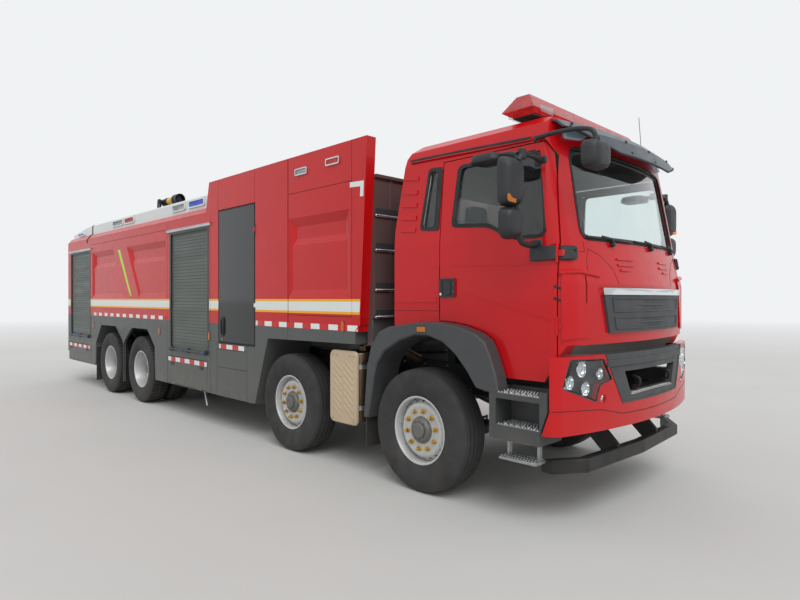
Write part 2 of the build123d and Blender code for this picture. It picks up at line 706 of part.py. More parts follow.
def line_outline(ends, width):
    """Outline of a straight line between two places, with a width upwards."""
    (u0, v0), (u1, v1) = ends
    half = width / 2
    return ((u0, v0 - half), (u1, v1 - half), (u1, v1 + half), (u0, v0 + half))


def pressed_lines(lines, width, proud):
    """Raised lines on the cab's left side, bent with its skin."""
    reach = CAB_HALF - 250.0, HALF_WIDTH
    bars = [side_prism(line_outline(ends, width), *reach) for ends in lines]
    return (cab_form(-proud) - cab_form(2.0)) & Compound(bars)


def cab_pressings():
    """Everything that stands proud of the shell's left side and of the left half of its front."""
    ribs = [((RIB_Y[0], fore), (RIB_Y[1], aft)) for fore, aft in RIBS]
    out = [*pressed_lines(ribs, RIB_W, RIB_PROUD).solids(), *pressed_lines([DRIP_LINE], DRIP_W, DRIP_PROUD).solids()]
    bars = [
        front_prism(across(line_outline(((x0, z), (x1, z)), LOUVRE_H)), CUT_FRONT, -1200.0) for x0, x1, z in LOUVRES
    ]
    out += ((cab_form(-LOUVRE_PROUD) - cab_form(2.0)) & Compound(bars)).solids()
    deflector = front_prism(DEFLECTOR, CUT_FRONT, DOOR_FRONT - REVEAL - 2 * HINGE_R)
    deflector -= front_prism(DEFLECTOR_SLOT, CUT_FRONT, -1200.0)
    out += ((cab_form(-DEFLECTOR_PROUD) - cab_form(2.0)) & deflector).solids()
    return out


def cab_nodes():
    """Cab shell, its doors and all its glass."""
    outer = cab_form(0)
    inner = cab_form(CAB_WALL) - cab_floor()
    inner -= block(-TUNNEL_HALF, TUNNEL_HALF, TUNNEL_FRONT, 700.0, 800.0, TUNNEL_TOP)
    toe = side_prism(
        ((-1335.0, 1339.0), (-1173.0, SILL), (-1173.0, 900.0), (-1800.0, 900.0), (-1800.0, 1339.0)),
        -1400.0, 1400.0,
    )
    arch = cab_arch()
    rear_notch = side_prism(
        ((500.0, 1600.0), (395.0, 1440.0), (395.0, 900.0), (500.0, 900.0)), -1400.0, 1400.0
    )
    shell = outer - inner
    bay_half = TUNNEL_HALF - CAB_WALL
    clear_engine = block(
        -bay_half, bay_half, TUNNEL_FRONT + CAB_WALL, 700.0, 900.0, ENGINE[4] + ENGINE_TOP_GAP
    )
    shell = shell - arch - toe - clear_engine - rear_notch
    skin = outer - cab_form(DOOR_T) - block(0, CAB_HALF - DOOR_T, -1800.0, 600.0, 900.0, 1300.0)
    outline_low = side_prism(DOOR_OUTLINE, 1000.0, 1400.0)
    opening = grown_side(DOOR_OUTLINE, REVEAL, 900.0, 1400.0)
    shell = shell - opening - mirrored(opening)
    screen = rounded_front(SCREEN_OUTLINE, SCREEN_R, CAB_FRONT - 300.0, -1000.0)
    shell -= screen
    quarter = side_prism(QUARTER_OUTLINE, 900.0, 1400.0)
    shell = shell - quarter - mirrored(quarter)
    half, low, high = REAR_WINDOW
    shell -= block(-half, half, 0.0, 600.0, low, high)
    band = cab_form(18.0) - cab_form(18.0 + GLASS_T)
    screen_glass = band & rounded_front(
        tuple((x * 0.9995, z + (SEAT if z < 2500 else -SEAT)) for x, z in SCREEN_OUTLINE),
        SCREEN_R, CAB_FRONT - 300.0, -1000.0,
    )
    quarter_glass = band & grown_side(QUARTER_OUTLINE, -SEAT, 900.0, 1400.0)
    rear_glass = band & block(-half + SEAT, half - SEAT, 0.0, 600.0, low + SEAT, high - SEAT)
    door = (skin & outline_low) - side_prism(WINDOW_OUTLINE, 900.0, 1400.0)
    handle = block(CAB_HALF - 1, CAB_HALF + 12.0, -335.0, -165.0, 1690.0, 1850.0)
    door += [handle, *pressed_lines(CREASES, CREASE_W, CREASE_PROUD).solids()]
    for pressing in cab_pressings():
        shell += both(pressing)
    hinge_line = DOOR_FRONT, DOOR_HINGES, DOOR_LEAF
    door, shell = upright_hinge(door, shell, DOOR_HINGE_X, *hinge_line)
    _, shell = upright_hinge(mirrored(door), shell, -DOOR_HINGE_X, *hinge_line)
    nodes = {
        "cab_shell": shell,
        "cab_glass": [screen_glass, *both(quarter_glass), rear_glass],
    }
    glass = (cab_form(12.0) - cab_form(12.0 + GLASS_T)) & grown_side(WINDOW_OUTLINE, -SEAT, 900.0, 1400.0)
    for name, side in SIDES:
        nodes[f"cab_door_{name}"] = on_side(door, side)
        nodes[f"cab_door_glass_{name}"] = on_side(glass, side)
        nodes[f"mirror_{name}"] = on_side(mirror_unit(), side)
    return nodes


def side_x(z):
    """Half width of the cab at a height above its waist."""
    return CAB_HALF - (CAB_HALF - BROW_HALF) * (z - CAB_WAIST) / (CAB_BROW - CAB_WAIST)


MIRROR_X = (HALF_WIDTH + 60.0, HALF_WIDTH + 300.0)
MIRROR_TOP = CAB_TOP - 420.0  # main mirror's upper edge
MIRROR_Y = (-1160.0, -1060.0)


MIRROR_ROUND, MIRROR_EDGE = 45.0, 30.0


def mirror_shell(x0, x1, z0, z1):
    """Mirror housing with rounded corners and a softened front."""
    outline = ((x0, z0), (x1, z0), (x1, z1), (x0, z1))
    shell = rounded_front(outline, MIRROR_ROUND, *MIRROR_Y)
    return fillet(shell.faces().sort_by(Axis.Y)[0].edges(), MIRROR_EDGE)


def mirror_unit():
    """Main, wide-angle and kerb mirrors on two arms from the left door."""
    x0, x1 = MIRROR_X
    y0, y1 = MIRROR_Y
    main = mirror_shell(x0, x1, MIRROR_TOP - 350.0, MIRROR_TOP)
    wide = mirror_shell(x0 + 10, x1 - 10, MIRROR_TOP - 580.0, MIRROR_TOP - 349.0)
    arm_y = (y0 + y1) / 2
    foot, high_foot = MIRROR_TOP - 620.0, MIRROR_TOP - 5.0
    low = block(CAB_HALF + SEAT, x0 + 60, arm_y - 35, arm_y + 20, foot, foot + 45.0)
    high_in = side_x(high_foot) + SEAT
    high = block(high_in, x0 + 60, arm_y - 35, arm_y + 20, high_foot, high_foot + 60.0)
    spine = block(x0 + 40, x0 + 75, arm_y - 20, arm_y + 20, foot, high_foot + 60.0)
    kerb = block(x0 - 130.0, x0 + 90.0, -930.0, -680.0, high_foot + 25.0, high_foot + 95.0)
    strut = block(x0 + 20, x0 + 60, -1120.0, -900.0, high_foot + 15.0, high_foot + 60.0)
    return main + wide + low + high + spine + kerb + strut


def seat(x, y):
    """One seat: cushion, backrest and headrest on a pedestal."""
    base = block(x - 170, x + 170, y - 180, y + 200, CAB_FLOOR_BACK + SEAT, 1591.0)
    cushion = block(x - 245, x + 245, y - 260, y + 250, 1590.0, 1710.0)
    back = side_prism(
        ((y + 130, 1680.0), (y + 250, 1680.0), (y + 330, 2350.0), (y + 230, 2350.0)), x - 235, x + 235
    )
    head = block(x - 130, x + 130, y + 235, y + 320, 2349.0, 2520.0)
    return base + cushion + back + head


DASH_HALF = DOOR_HINGE_X - DOOR_LEAF - 8.0  # clear of the hinge leaves


def interior_node():
    """Seats, dashboard and steering wheel, as seen through the glass."""
    dash = side_prism(
        ((-1350.0, 1720.0), (-1130.0, 1640.0), (-1090.0, 1980.0), (-1180.0, 2070.0), (-1330.0, 2040.0)),
        -DASH_HALF, DASH_HALF,
    )
    leg = block(-60.0, 60.0, -1300.0, -1180.0, CAB_FLOOR_IN, 1700.0)
    dash = (dash + leg) & (cab_form(CAB_WALL + SEAT) - block(-1300, 1300, -1900, 700, 800, CAB_FLOOR_IN + SEAT))
    pieces = [seat(-600.0, -420.0), seat(600.0, -420.0)]
    tilt = Pos(600.0, -900.0, 2050.0) * Rot(-28, 0, 0)
    wheel = tilt * Torus(215.0, 16.0)
    spoke = tilt * Box(420.0, 36.0, 14.0) + tilt * Cylinder(55.0, 30.0)
    column = Pos(600.0, -985.0, 1930.0) * Rot(-28, 0, 0) * Cylinder(32.0, 260.0)
    cowl = side_prism(((-1130.0, 1700.0), (-1010.0, 1790.0), (-960.0, 1900.0), (-1110.0, 1960.0)), 540.0, 660.0)
    pieces.append(dash + cowl + column + spoke + wheel)
    return pieces


GRILLE_OUTLINE = across(((-745.0, 1762.0), (745.0, 1762.0), (666.0, 1420.0), (-666.0, 1420.0)))
GRILLE_PROUD = 22.0
CENTRE_OUTLINE = across((
    (-738.0, 1265.0), (738.0, 1265.0), (630.0, 1062.0), (528.0, 880.0), (-528.0, 880.0), (-630.0, 1062.0),
))
STEP_OPENING = across(((-495.0, 1120.0), (495.0, 1120.0), (401.0, 930.0), (-401.0, 930.0)))
LAMP_OUTLINE = across((
    (1105.0, 1240.0), (1178.0, 1040.0), (840.0, 915.0), (797.0, 1040.0), (655.0, 1070.0), (757.0, 1232.0),
))
BUMPER_SEAM = across(((1260.0, 880.0), (1120.0, 876.0), (800.0, 858.0), (528.0, 800.0), (-1.0, 790.0)))
SEAM_W, SEAM_DEEP = 6.0, 5.0
FOG_LAMP = (HALF_WIDTH - 485.0, 933.0, 32.0)  # x, z, radius
CUT_FRONT = FRONT_Y - 165.0  # ahead of everything on the front
BUMPER_LOW, BUMPER_TOP = 700.0, 1263.0
BUMPER_SIDE = 109.7  # length of the straight side behind the curved front
BUMPER_BACK = FRONT_Y + CAB_CURVE - math.sqrt(CAB_CURVE**2 - HALF_WIDTH**2) + BUMPER_SIDE
BUMPER_T = 60.0


def bumper_form(inset, depth):
    """Bumper as a curved band: its plan moved in by inset, with a given depth."""
    half = HALF_WIDTH - inset
    front = FRONT_Y + inset
    radius = CAB_CURVE - inset
    edge_y = front + radius - math.sqrt(radius**2 - half**2)
    arc = ThreePointArc((-half, edge_y), (0, front), (half, edge_y))
    rear = Polyline((half, edge_y), (half, BUMPER_BACK), (-half, BUMPER_BACK), (-half, edge_y))
    plan = make_face([arc, rear])
    plan = fillet(plan.vertices().sort_by(Axis.Y)[:2], max(110.0 - inset, 30.0))
    return Pos(0, 0, BUMPER_LOW) * extrude(plan, depth)


def front_nodes():
    """Grille, bumper and lamps on the cab's front."""
    height = BUMPER_TOP - BUMPER_LOW
    outer = bumper_form(0, height)
    hollow = bumper_form(BUMPER_T, height)
    band = outer - hollow
    chamfer_low = side_prism(
        ((-1180.0, 600.0), (-1235.0, BUMPER_LOW), (-1292.0, 870.0), (-1292.0, 1300.0), (-1100.0, 1300.0),
         (-1100.0, 600.0)), -HALF_WIDTH - 50.0, HALF_WIDTH + 50.0,
    )
    band -= chamfer_low
    centre = front_prism(CENTRE_OUTLINE, CUT_FRONT, -1200.0)
    lamp_cut = front_prism(LAMP_OUTLINE, CUT_FRONT, -1000.0)
    fog_x, fog_z, fog_r = FOG_LAMP
    fog = bar_y(fog_r, CUT_FRONT, -1300.0, fog_x, fog_z)
    bumper = band - centre - lamp_cut - mirrored(lamp_cut) - fog - mirrored(fog)
    seam_low = [(x, z - SEAM_W / 2) for x, z in BUMPER_SEAM]
    seam_high = [(x, z + SEAM_W / 2) for x, z in reversed(BUMPER_SEAM)]
    seam = (outer - bumper_form(SEAM_DEEP, height)) & front_prism(seam_low + seam_high, CUT_FRONT, -1200.0)
    bumper = bumper - seam - mirrored(seam)
    stay = block(RAIL_OUT - 60, RAIL_OUT - 5, -1500.0, RAIL_FRONT - SEAT, 820.0, 870.0)
    stay = stay & (bumper_form(5.0, height) + block(-900, 900, -1420, 0, 600, 1400))
    bumper = bumper + stay + mirrored(stay)
    inner_band = bumper_form(3.0, height) - hollow
    centre_panel = (inner_band & centre) - front_prism(STEP_OPENING, CUT_FRONT, -1200.0)
    centre_panel = panel_inset(centre_panel)
    grille = (cab_form(-GRILLE_PROUD) - cab_form(-SEAT)) & front_prism(GRILLE_OUTLINE, CUT_FRONT, -1200.0)
    for low, high in ((1580.0, 1680.0), (1450.0, 1535.0)):
        slot = across(((-600.0, high), (600.0, high), (575.0, low), (-575.0, low)))
        grille -= front_prism(slot, CAB_FRONT - GRILLE_PROUD / 2, CUT_FRONT)
    lamp = (bumper_form(4.0, height) - hollow) & grown_front(LAMP_OUTLINE, -SEAT, CUT_FRONT, -1000.0)
    fog_lamp = bar_y(fog_r - SEAT, CUT_FRONT, -1400.0, fog_x, fog_z) & (bumper_form(6.0, height) - hollow)
    return {
        "front_grille": [grille, centre_panel],
        "bumper": bumper,
        "lamps": [*both(lamp), *both(fog_lamp), *marker_lamps()],
    }


def panel_inset(shape):
    """The centre panel with a seat gap to the bumper round it."""
    keep = grown_front(CENTRE_OUTLINE, -SEAT, CUT_FRONT, -1200.0)
    return shape & keep


def grown_front(outline, by, y0, y1):
    """Grown outline of (x, z) points carried from y0 to y1."""
    face = Plane.XZ * grown(outline, by)
    return Pos(0, min(y0, y1), 0) * extrude(face, -abs(y1 - y0))


# Lamps on the body: y middle, z middle, length, height
SIDE_LAMPS = ((1690.0, MODULE_TOP - 180.0, 220.0, 75.0), (1150.0, MODULE_TOP - 160.0, 220.0, 75.0))
LAMP_PROUD = 18.0


def marker_lamps():
    """Warning lamps on the body sides and the rear lamp blocks."""
    out = []
    for y, z, length, height in SIDE_LAMPS:
        lamp = block(
            HALF_WIDTH + SEAT, HALF_WIDTH + LAMP_PROUD, y - length / 2, y + length / 2,
            z - height / 2, z + height / 2,
        )
        out += both(lamp)
    rear = block(HALF_WIDTH - 165.0, HALF_WIDTH - 45.0, BODY_REAR + SEAT, BODY_REAR + 45.0, 650.0, 950.0)
    return out + both(rear)


STEP_BOX = (-1276.0, -775.0, 615.0, 1005.0)  # y front, y rear, z low, z high
STEP_IN = HALF_WIDTH - 310.0  # inner wall of the step boxes
STEP_WELL = HALF_WIDTH - 210.0  # how far in the treads reach
HANGER_X = (HALF_WIDTH - 120.0, HALF_WIDTH - 85.0)
TREAD_Z = (966.0, 725.0)


FLARE_EDGE = 12.0


def flares_node():
    """Charcoal wheel flares, wheel liners, mudflaps and the two-tread step boxes."""
    ring = FLARE_OUTER + tuple(reversed(FLARE_INNER))
    flare = side_prism(ring, CAB_HALF + SEAT, HALF_WIDTH)
    flare = chamfer(flare.faces().sort_by(Axis.X)[-1].edges(), FLARE_EDGE)
    lift = 12.0
    line = FLARE_INNER[1:-1]
    liner_outline = line + tuple((y, z + lift) for y, z in reversed(line))
    liner = side_prism(liner_outline, STEP_IN - 10.0, CAB_HALF + SEAT + 1)
    flap = block(STEP_IN, HALF_WIDTH - 15.0, 662.0, 672.0, 280.0, 600.0)
    guard = side_prism(((505.0, 1080.0), (638.0, 1080.0), (688.0, 560.0), (658.0, 560.0)), STEP_IN - 5.0, HALF_WIDTH - 5)
    y0, y1, z0, z1 = STEP_BOX
    step = block(STEP_IN, HALF_WIDTH, y0, y1, z0, z1)
    step = step - block(STEP_WELL, HALF_WIDTH + 1, y0 + 60, y1 - 60, TREAD_Z[1], TREAD_Z[0] - 40)
    step -= block(STEP_WELL, HALF_WIDTH + 1, y0 + 60, y1 - 60, TREAD_Z[0], z1 + 1)
    step -= side_prism(
        ((y0 - 60, 1100.0), (-1276.0, 1100.0), (-1276.0, 868.0), (-1216.0, 698.0), (-1216.0, 600.0),
         (y0 - 60, 600.0)), STEP_IN - 40.0, HALF_WIDTH + 1,
    )
    hang = block(*HANGER_X, y0 + 110, y0 + 130, 470.0, z0 + 1) + block(
        *HANGER_X, y1 - 130, y1 - 110, 470.0, z0 + 1
    )
    plate = block(HANGER_X[0] - 18.0, HALF_WIDTH, y0 + 90, y1 - 90, 470.0, 492.0)
    stay = block(RAIL_OUT + SEAT, STEP_IN + 1, -1100.0, -1040.0, 800.0, 860.0)
    tie = block(RAIL_OUT + SEAT, STEP_IN + 1, 664.0, 690.0, 800.0, 850.0)
    left = flare + liner + guard + flap + step + hang + plate + stay + tie
    return both(left)


VISOR_SWEEP = across(((480.0, 2806.0), (784.0, 2881.0), (1002.0, 2950.0), (1200.0, 2960.0), (1200.0, 2700.0), (480.0, 2700.0)))


def visor_node():
    """Sun visor across the top of the windscreen."""
    axis_y = CAB_FRONT + CAB_CURVE
    heights = (
        (-1215.0, -50.0), (-1330.0, -80.0), (-1440.0, -170.0), (-1490.0, -290.0), (-1478.0, -294.0),
        (-1425.0, -180.0), (-1322.0, -94.0), (-1215.0, -64.0),
    )
    profile = [(y, CAB_TOP + height) for y, height in heights]
    face = Plane.YZ * make_face(Polyline(*profile, close=True))
    spread = 30.0
    turn = Axis((0, axis_y, 0), (0, 0, 1))
    band = revolve(face, turn, spread / 2) + revolve(face, turn, -spread / 2)
    sweep_up = front_prism([(x, z + CAB_TOP - 3100.0) for x, z in VISOR_SWEEP], CUT_FRONT, -1000.0)
    return band - cab_form(-SEAT) - sweep_up - mirrored(sweep_up)


FRONT_MIRROR_X = (-1180.0, -925.0)
FRONT_MIRROR_Y = (-1615.0, -1490.0)
FRONT_MIRROR_Z = (CAB_TOP - 515.0, CAB_TOP - 320.0)


def front_mirror_node():
    """Front mirror over the right corner of the windscreen, on an arm from the pillar."""
    x0, x1 = FRONT_MIRROR_X
    y0, y1 = FRONT_MIRROR_Y
    z0, z1 = FRONT_MIRROR_Z
    head = block(x0, x1, y0, y1, z0, z1)
    head = fillet(head.edges().filter_by(Axis.X), 45.0)
    foot_low, foot_high = CAB_TOP - 235.0, CAB_TOP - 195.0
    root = -side_x(foot_low) - SEAT
    arm_z = (foot_low + foot_high) / 2
    arm = bar_y(16.0, -1560.0, -1060.0, root - 16.0, arm_z)
    drop = bar_z(16.0, z1 - 20.0, arm_z, root - 16.0, -1550.0)
    foot = block(root - 16.0, root, -1120.0, -1050.0, foot_low, foot_high)
    return head + arm + drop + foot


LIGHT_BAR_Y = (-1000.0, -700.0)


def light_bar_node():
    """Warning light bar with pointed ends, on two feet."""
    y0, y1 = LIGHT_BAR_Y
    low, wide, high = CAB_TOP + 35.0, CAB_TOP + 70.0, CAB_TOP + 200.0
    half = BROW_HALF - 75.0
    section = ((y0, wide), (y0 + 60, low), (y1 - 60, low), (y1, wide), (y1 - 90, high), (y0 + 90, high))
    edge = ((half - 85, low), (half, wide), (half - 80, high))
    face = edge + tuple((-x, z) for x, z in reversed(edge))
    lens = side_prism(section, -half - 15, half + 15) & front_prism(face, y0 - 50, y1 + 50)
    foot = block(520.0, 620.0, -900.0, -800.0, CAB_TOP + SEAT, low + 1)
    return lens + foot + mirrored(foot)


BAND_Z = (1500.0, 1759.0, 2142.0, 2475.0, 2840.0)
WALL_Y = (655.0, 760.0)


def front_wall_node():
    """Dark front wall of the body: four horizontal bands with grooves between, and a cap."""
    front, rear = WALL_Y
    groove = 14.0
    points = [(rear, 1230.0), (front + 40, 1230.0), (front + 40, BAND_Z[0] - 20)]
    for low, high in zip(BAND_Z[:-1], BAND_Z[1:]):
        points += [(front, low), (front, high - groove * 2), (front + groove, high - groove * 2), (front + groove, high)]
    points += [(front - 20, BAND_Z[-1]), (front - 20, MODULE_DECK), (rear, MODULE_DECK)]
    half = HALF_WIDTH - PARAPET_T - SEAT
    return side_prism(points, -half, half)


# Seams in the side panels, as y, z low, z high or as z, y front, y rear
MODULE_UPRIGHT = ((861.0, 1501.0, MODULE_TOP), (2643.0, 2819.0, MODULE_TOP), (3538.0, RED_LOW, MODULE_TOP))
MODULE_LEVEL = ((BODY_CANT, 861.0, MODULE_SEAM), (1501.0, 861.0, MODULE_SEAM))
BODY_UPRIGHT = ((3755.0, RED_LOW, BODY_CANT), (5110.0, RED_LOW, BODY_CANT), (8520.0, RED_LOW, BODY_CANT),
                (9950.0, RED_LOW, BODY_CANT))
BODY_LEVEL = ((2700.0, 5110.0, 8520.0), (1501.0, 5110.0, 8520.0))
SKIRT_UPRIGHT = ((1955.0, 1190.0, RED_LOW), (2820.0, SKIRT_LOW, 1104.0), (3579.0, SKIRT_LOW, 1104.0),
                 (3755.0, SKIRT_LOW, RED_LOW), (5110.0, SKIRT_LOW, RED_LOW), (8560.0, SKIRT_LOW, RED_LOW))
SKIRT_LEVEL = ((1104.0, 2640.0, 3579.0), (1030.0, 2820.0, 3579.0), (800.0, 2820.0, 3579.0))
WIDE_SEAM = 14.0


def seams(upright, level):
    """Shallow grooves in the left side wall."""
    deep, out, half = HALF_WIDTH - SEAM_DEEP, HALF_WIDTH + 1, SEAM_W / 2
    cuts = [block(deep, out, y - half, y + half, low, high) for y, low, high in upright]
    return cuts + [block(deep, out, front, rear, z - half, z + half) for z, front, rear in level]


EMBOSS_DEEP, EMBOSS_MID = 45.0, 22.0
EMBOSS_Z = (2552.0, 2457.0, 2325.0, 2255.0, 1772.0, 1680.0)


def emboss(fore, aft, taper):
    """Stepped recess pressed into the left side skin.

    fore and aft give the y of each end at the foot and at the top, so that an end may slant. The
    end walls slope in by taper over the depth.
    """
    face = HALF_WIDTH
    z = EMBOSS_Z
    deep, mid = face - EMBOSS_DEEP, face - EMBOSS_MID
    section = (
        (face + 1, z[0]), (deep, z[1]), (deep, z[2]), (mid, z[3]), (mid, z[4]), (face + 1, z[5]), (face + 30, z[5]),
        (face + 30, z[0]),
    )
    long_cut = front_prism(section, min(fore) - 1, max(aft) + 1)
    low, high = z[5], z[0]
    sheets = []
    for x, inset in ((face + 2, 0.0), (deep - 2, taper)):
        ends = (
            (fore[0] + inset, low), (aft[0] - inset, low), (aft[1] - inset, high), (fore[1] + inset, high),
        )
        sheets.append(Pos(x, 0, 0) * (Plane.YZ * make_face(Polyline(*ends, close=True))))
    return long_cut & loft(sheets, ruled=True)


def module_nodes():
    """Red front module: core, parapet panels above it, and a pump bay behind a tinted door on each side."""
    rear = MODULE_REAR
    inner = HALF_WIDTH - PARAPET_T
    core = block(-HALF_WIDTH, HALF_WIDTH, WALL_Y[1] + SEAT, rear, RED_LOW, MODULE_DECK)
    fin = side_prism(
        ((MODULE_FRONT, MODULE_TOP), (745.0, 1430.0), (810.0, RED_LOW), (rear, RED_LOW),
         (rear, MODULE_TOP)), inner, HALF_WIDTH,
    )
    parapet = fin & block(inner, HALF_WIDTH, MODULE_FRONT - 1, rear + 1, BODY_CANT + SEAT, MODULE_TOP)
    rebate = block(inner - SEAT, HALF_WIDTH + 1, MODULE_FRONT - 1, rear + 1, BODY_CANT, MODULE_TOP + 1)
    out = core + fin + mirrored(fin) - rebate - mirrored(rebate)
    y0, y1, z0, z1 = BAY_DOOR
    hole = block(HALF_WIDTH - BAY_DEPTH, HALF_WIDTH + 1, y0 - REVEAL, y1 + REVEAL, z0, z1 + REVEAL)
    panel = emboss((893.0, 893.0), (1940.0, 1940.0), EMBOSS_TAPER)
    wide_seam = block(HALF_WIDTH - WIDE_SEAM, HALF_WIDTH + 1, MODULE_SEAM - WIDE_SEAM, MODULE_SEAM, RED_LOW, MODULE_TOP)
    for cut in (hole, panel, wide_seam, *seams(MODULE_UPRIGHT, MODULE_LEVEL)):
        out -= both(cut)
        parapet -= cut
    door = block(HALF_WIDTH - BAY_DOOR_T, HALF_WIDTH, y0, y1, z0, z1)
    door += block(HALF_WIDTH - 1, HALF_WIDTH + 20, y1 - 115, y1 - 65, 1210.0, 1440.0)
    fore, aft = parted(out, MODULE_SEAM)
    post, aft = parted(aft, y0 - REVEAL)
    bay, end = parted(aft, y1 + REVEAL)
    door, post = upright_hinge(door, post, HALF_WIDTH, y0, BAY_HINGES)
    _, post = upright_hinge(mirrored(door), post, -HALF_WIDTH, y0, BAY_HINGES)
    nodes = {f"bay_door_{name}": on_side(door, side) for name, side in SIDES}
    parapets = [piece for panel in both(parapet) for piece in parted(panel, MODULE_SEAM)]
    nodes["front_module"] = [fore, post, bay, end, *parapets]
    return nodes


EMBOSS_TAPER = 110.0
# Long panels' recesses, with the slanting band between them: y at the foot and at the top of each end
LONG_PANELS = (((5160.0, 5160.0), (6195.0, 6748.0)), ((6853.0, 7382.0), (8500.0, 8500.0)))


GUSSET_Y = (3887.0, 3790.0)  # its rear edge at the foot and at the top


def body_node():
    """Red main body with canted top edge, locker recesses and embossed long panels."""
    low, front = RED_LOW, MODULE_REAR + SEAT
    section = (
        (-HALF_WIDTH, low), (HALF_WIDTH, low), (HALF_WIDTH, BODY_CANT), (DECK_HALF, BODY_DECK),
        (-DECK_HALF, BODY_DECK), (-HALF_WIDTH, BODY_CANT),
    )
    out = front_prism(section, front, BODY_REAR)
    for y0, y1, z0, z1 in LOCKERS:
        cut = block(HALF_WIDTH - LOCKER_DEPTH, HALF_WIDTH + 1, y0, y1, z0, z1)
        out = out - cut - mirrored(cut)
    for fore, aft in LONG_PANELS:
        cut = emboss(fore, aft, EMBOSS_TAPER)
        out = out - cut - mirrored(cut)
    for cut in seams(BODY_UPRIGHT, BODY_LEVEL):
        out -= both(cut)
    pump = block(-700.0, 700.0, BODY_REAR - LOCKER_DEPTH, BODY_REAR + 1, 1400.0, 2600.0)
    foot, tip = GUSSET_Y
    gusset = side_prism(
        ((front, BODY_CANT), (foot, BODY_CANT), (tip, MODULE_TOP), (front, MODULE_TOP)),
        HALF_WIDTH - PARAPET_T, HALF_WIDTH,
    )
    gusset -= Pos(0, 0, SEAT) * front_prism(section, front - 1, BODY_REAR)
    return [out - pump, gusset, mirrored(gusset)]


SKIRT_OUTLINE = (
    (2357.0, SKIRT_ARCH), (2642.0, SKIRT_LOW), (5552.0, SKIRT_LOW), (5579.0, 941.0), (5866.0, 1196.0),
    (8002.0, 1196.0), (8297.0, 860.0), (8330.0, SKIRT_LOW), (9975.0, SKIRT_LOW), (9975.0, 600.0),
    (BODY_REAR, 600.0),
    (BODY_REAR, RED_LOW - SEAT), (810.0, RED_LOW - SEAT), (810.0, 1240.0),
)


def skirts_nodes():
    """Grey lower body with its arches, recesses and floor beams, and the fold-down step flaps."""
    nodes = {}
    left = side_prism(SKIRT_OUTLINE, SKIRT_IN, HALF_WIDTH)
    y0, y1, z0, _ = BAY_DOOR
    left -= block(HALF_WIDTH - BAY_DEPTH, HALF_WIDTH + 1, y0 - REVEAL, y1 + REVEAL, z0 - REVEAL, RED_LOW + 1)
    for front, rear, low, high in LOCKERS:
        left -= block(HALF_WIDTH - LOCKER_DEPTH, HALF_WIDTH + 1, front, rear, low, high)
    for _, front, rear, low, high in FLAPS:
        left -= block(
            HALF_WIDTH - FLAP_T - FLAP_GAP, HALF_WIDTH + 1, front - FLAP_GAP, rear + FLAP_GAP,
            low - FLAP_GAP, high + FLAP_GAP,
        )
    left -= seams(SKIRT_UPRIGHT, SKIRT_LEVEL)
    for name, front, rear, low, high in FLAPS:
        slab = block(HALF_WIDTH - FLAP_T, HALF_WIDTH, front, rear, low, high)
        slab, left = level_hinge(slab, left, HALF_WIDTH, low, (front + 200.0, rear - 200.0))
        for side_name, side in SIDES:
            nodes[f"step_flap_{name}_{side_name}"] = on_side(slab, side)
    floor = block(SEAT - SKIRT_IN, SKIRT_IN - SEAT, 900.0, BODY_REAR - 60, FLOOR_LOW + 60, RED_LOW - SEAT)
    sub = block(RAIL_OUT - 90, RAIL_OUT, 1420.0, BODY_REAR - 100, FLOOR_LOW, FLOOR_LOW + 61)
    flap = block(700.0, 1235.0, 8305.0, 8315.0, 150.0, 900.0)
    clip = block(700.0, 1235.0, 8304.0, 8345.0, 700.0, 900.0)
    left = left + flap + clip + divider_bracket()
    nodes["skirts"] = [*parted(left, MODULE_REAR), *parted(mirrored(left), MODULE_REAR), floor + sub + mirrored(sub)]
    return nodes


def divider_bracket():
    """Y-shaped bracket between the two rear wheels, hung from the arch."""
    mid = (AXLES[2][1] + AXLES[3][1]) / 2
    outline = (
        (mid - 390, 1197.0), (mid + 390, 1197.0), (mid + 60, 960.0), (mid + 22, 900.0), (mid + 22, 270.0),
        (mid - 22, 270.0), (mid - 22, 900.0), (mid - 60, 960.0),
    )
    return side_prism(outline, HALF_WIDTH - 30, HALF_WIDTH - 4)


SLAT = 45.0  # height of a shutter's slat
SLAT_GROOVE = 5.0


def slatted(z0, z1, back):
    """Section of a shutter as (depth, z): its face steps back at every joint of two slats."""
    face = back + SHUTTER_T
    joint = face - SLAT_GROOVE
    points = [(back, z0), (face, z0)]
    z = z0 + SLAT
    while z < z1 - SLAT / 2:
        points += [(face, z - SLAT_GROOVE), (joint, z), (face, z)]
        z += SLAT
    return points + [(face, z1), (back, z1)]


def shutters_node():
    """Roller shutters of the side lockers and of the rear pump bay, closed."""
    out = []
    for y0, y1, z0, z1 in LOCKERS:
        back = HALF_WIDTH - LOCKER_DEPTH + SEAT
        slab = front_prism(slatted(z0 + SEAT, z1 - SEAT, back), y0 + SEAT, y1 - SEAT)
        bar = block(back + SHUTTER_T - 1, back + SHUTTER_T + 14, y0 + 20, y1 - 20, z0 + 12, z0 + 62)
        out += both(slab + bar)
    back = BODY_REAR - LOCKER_DEPTH + SEAT
    rear = side_prism(slatted(1400.0 + SEAT, 2600.0 - SEAT, back), -700 + SEAT, 700 - SEAT)
    return out + [rear]


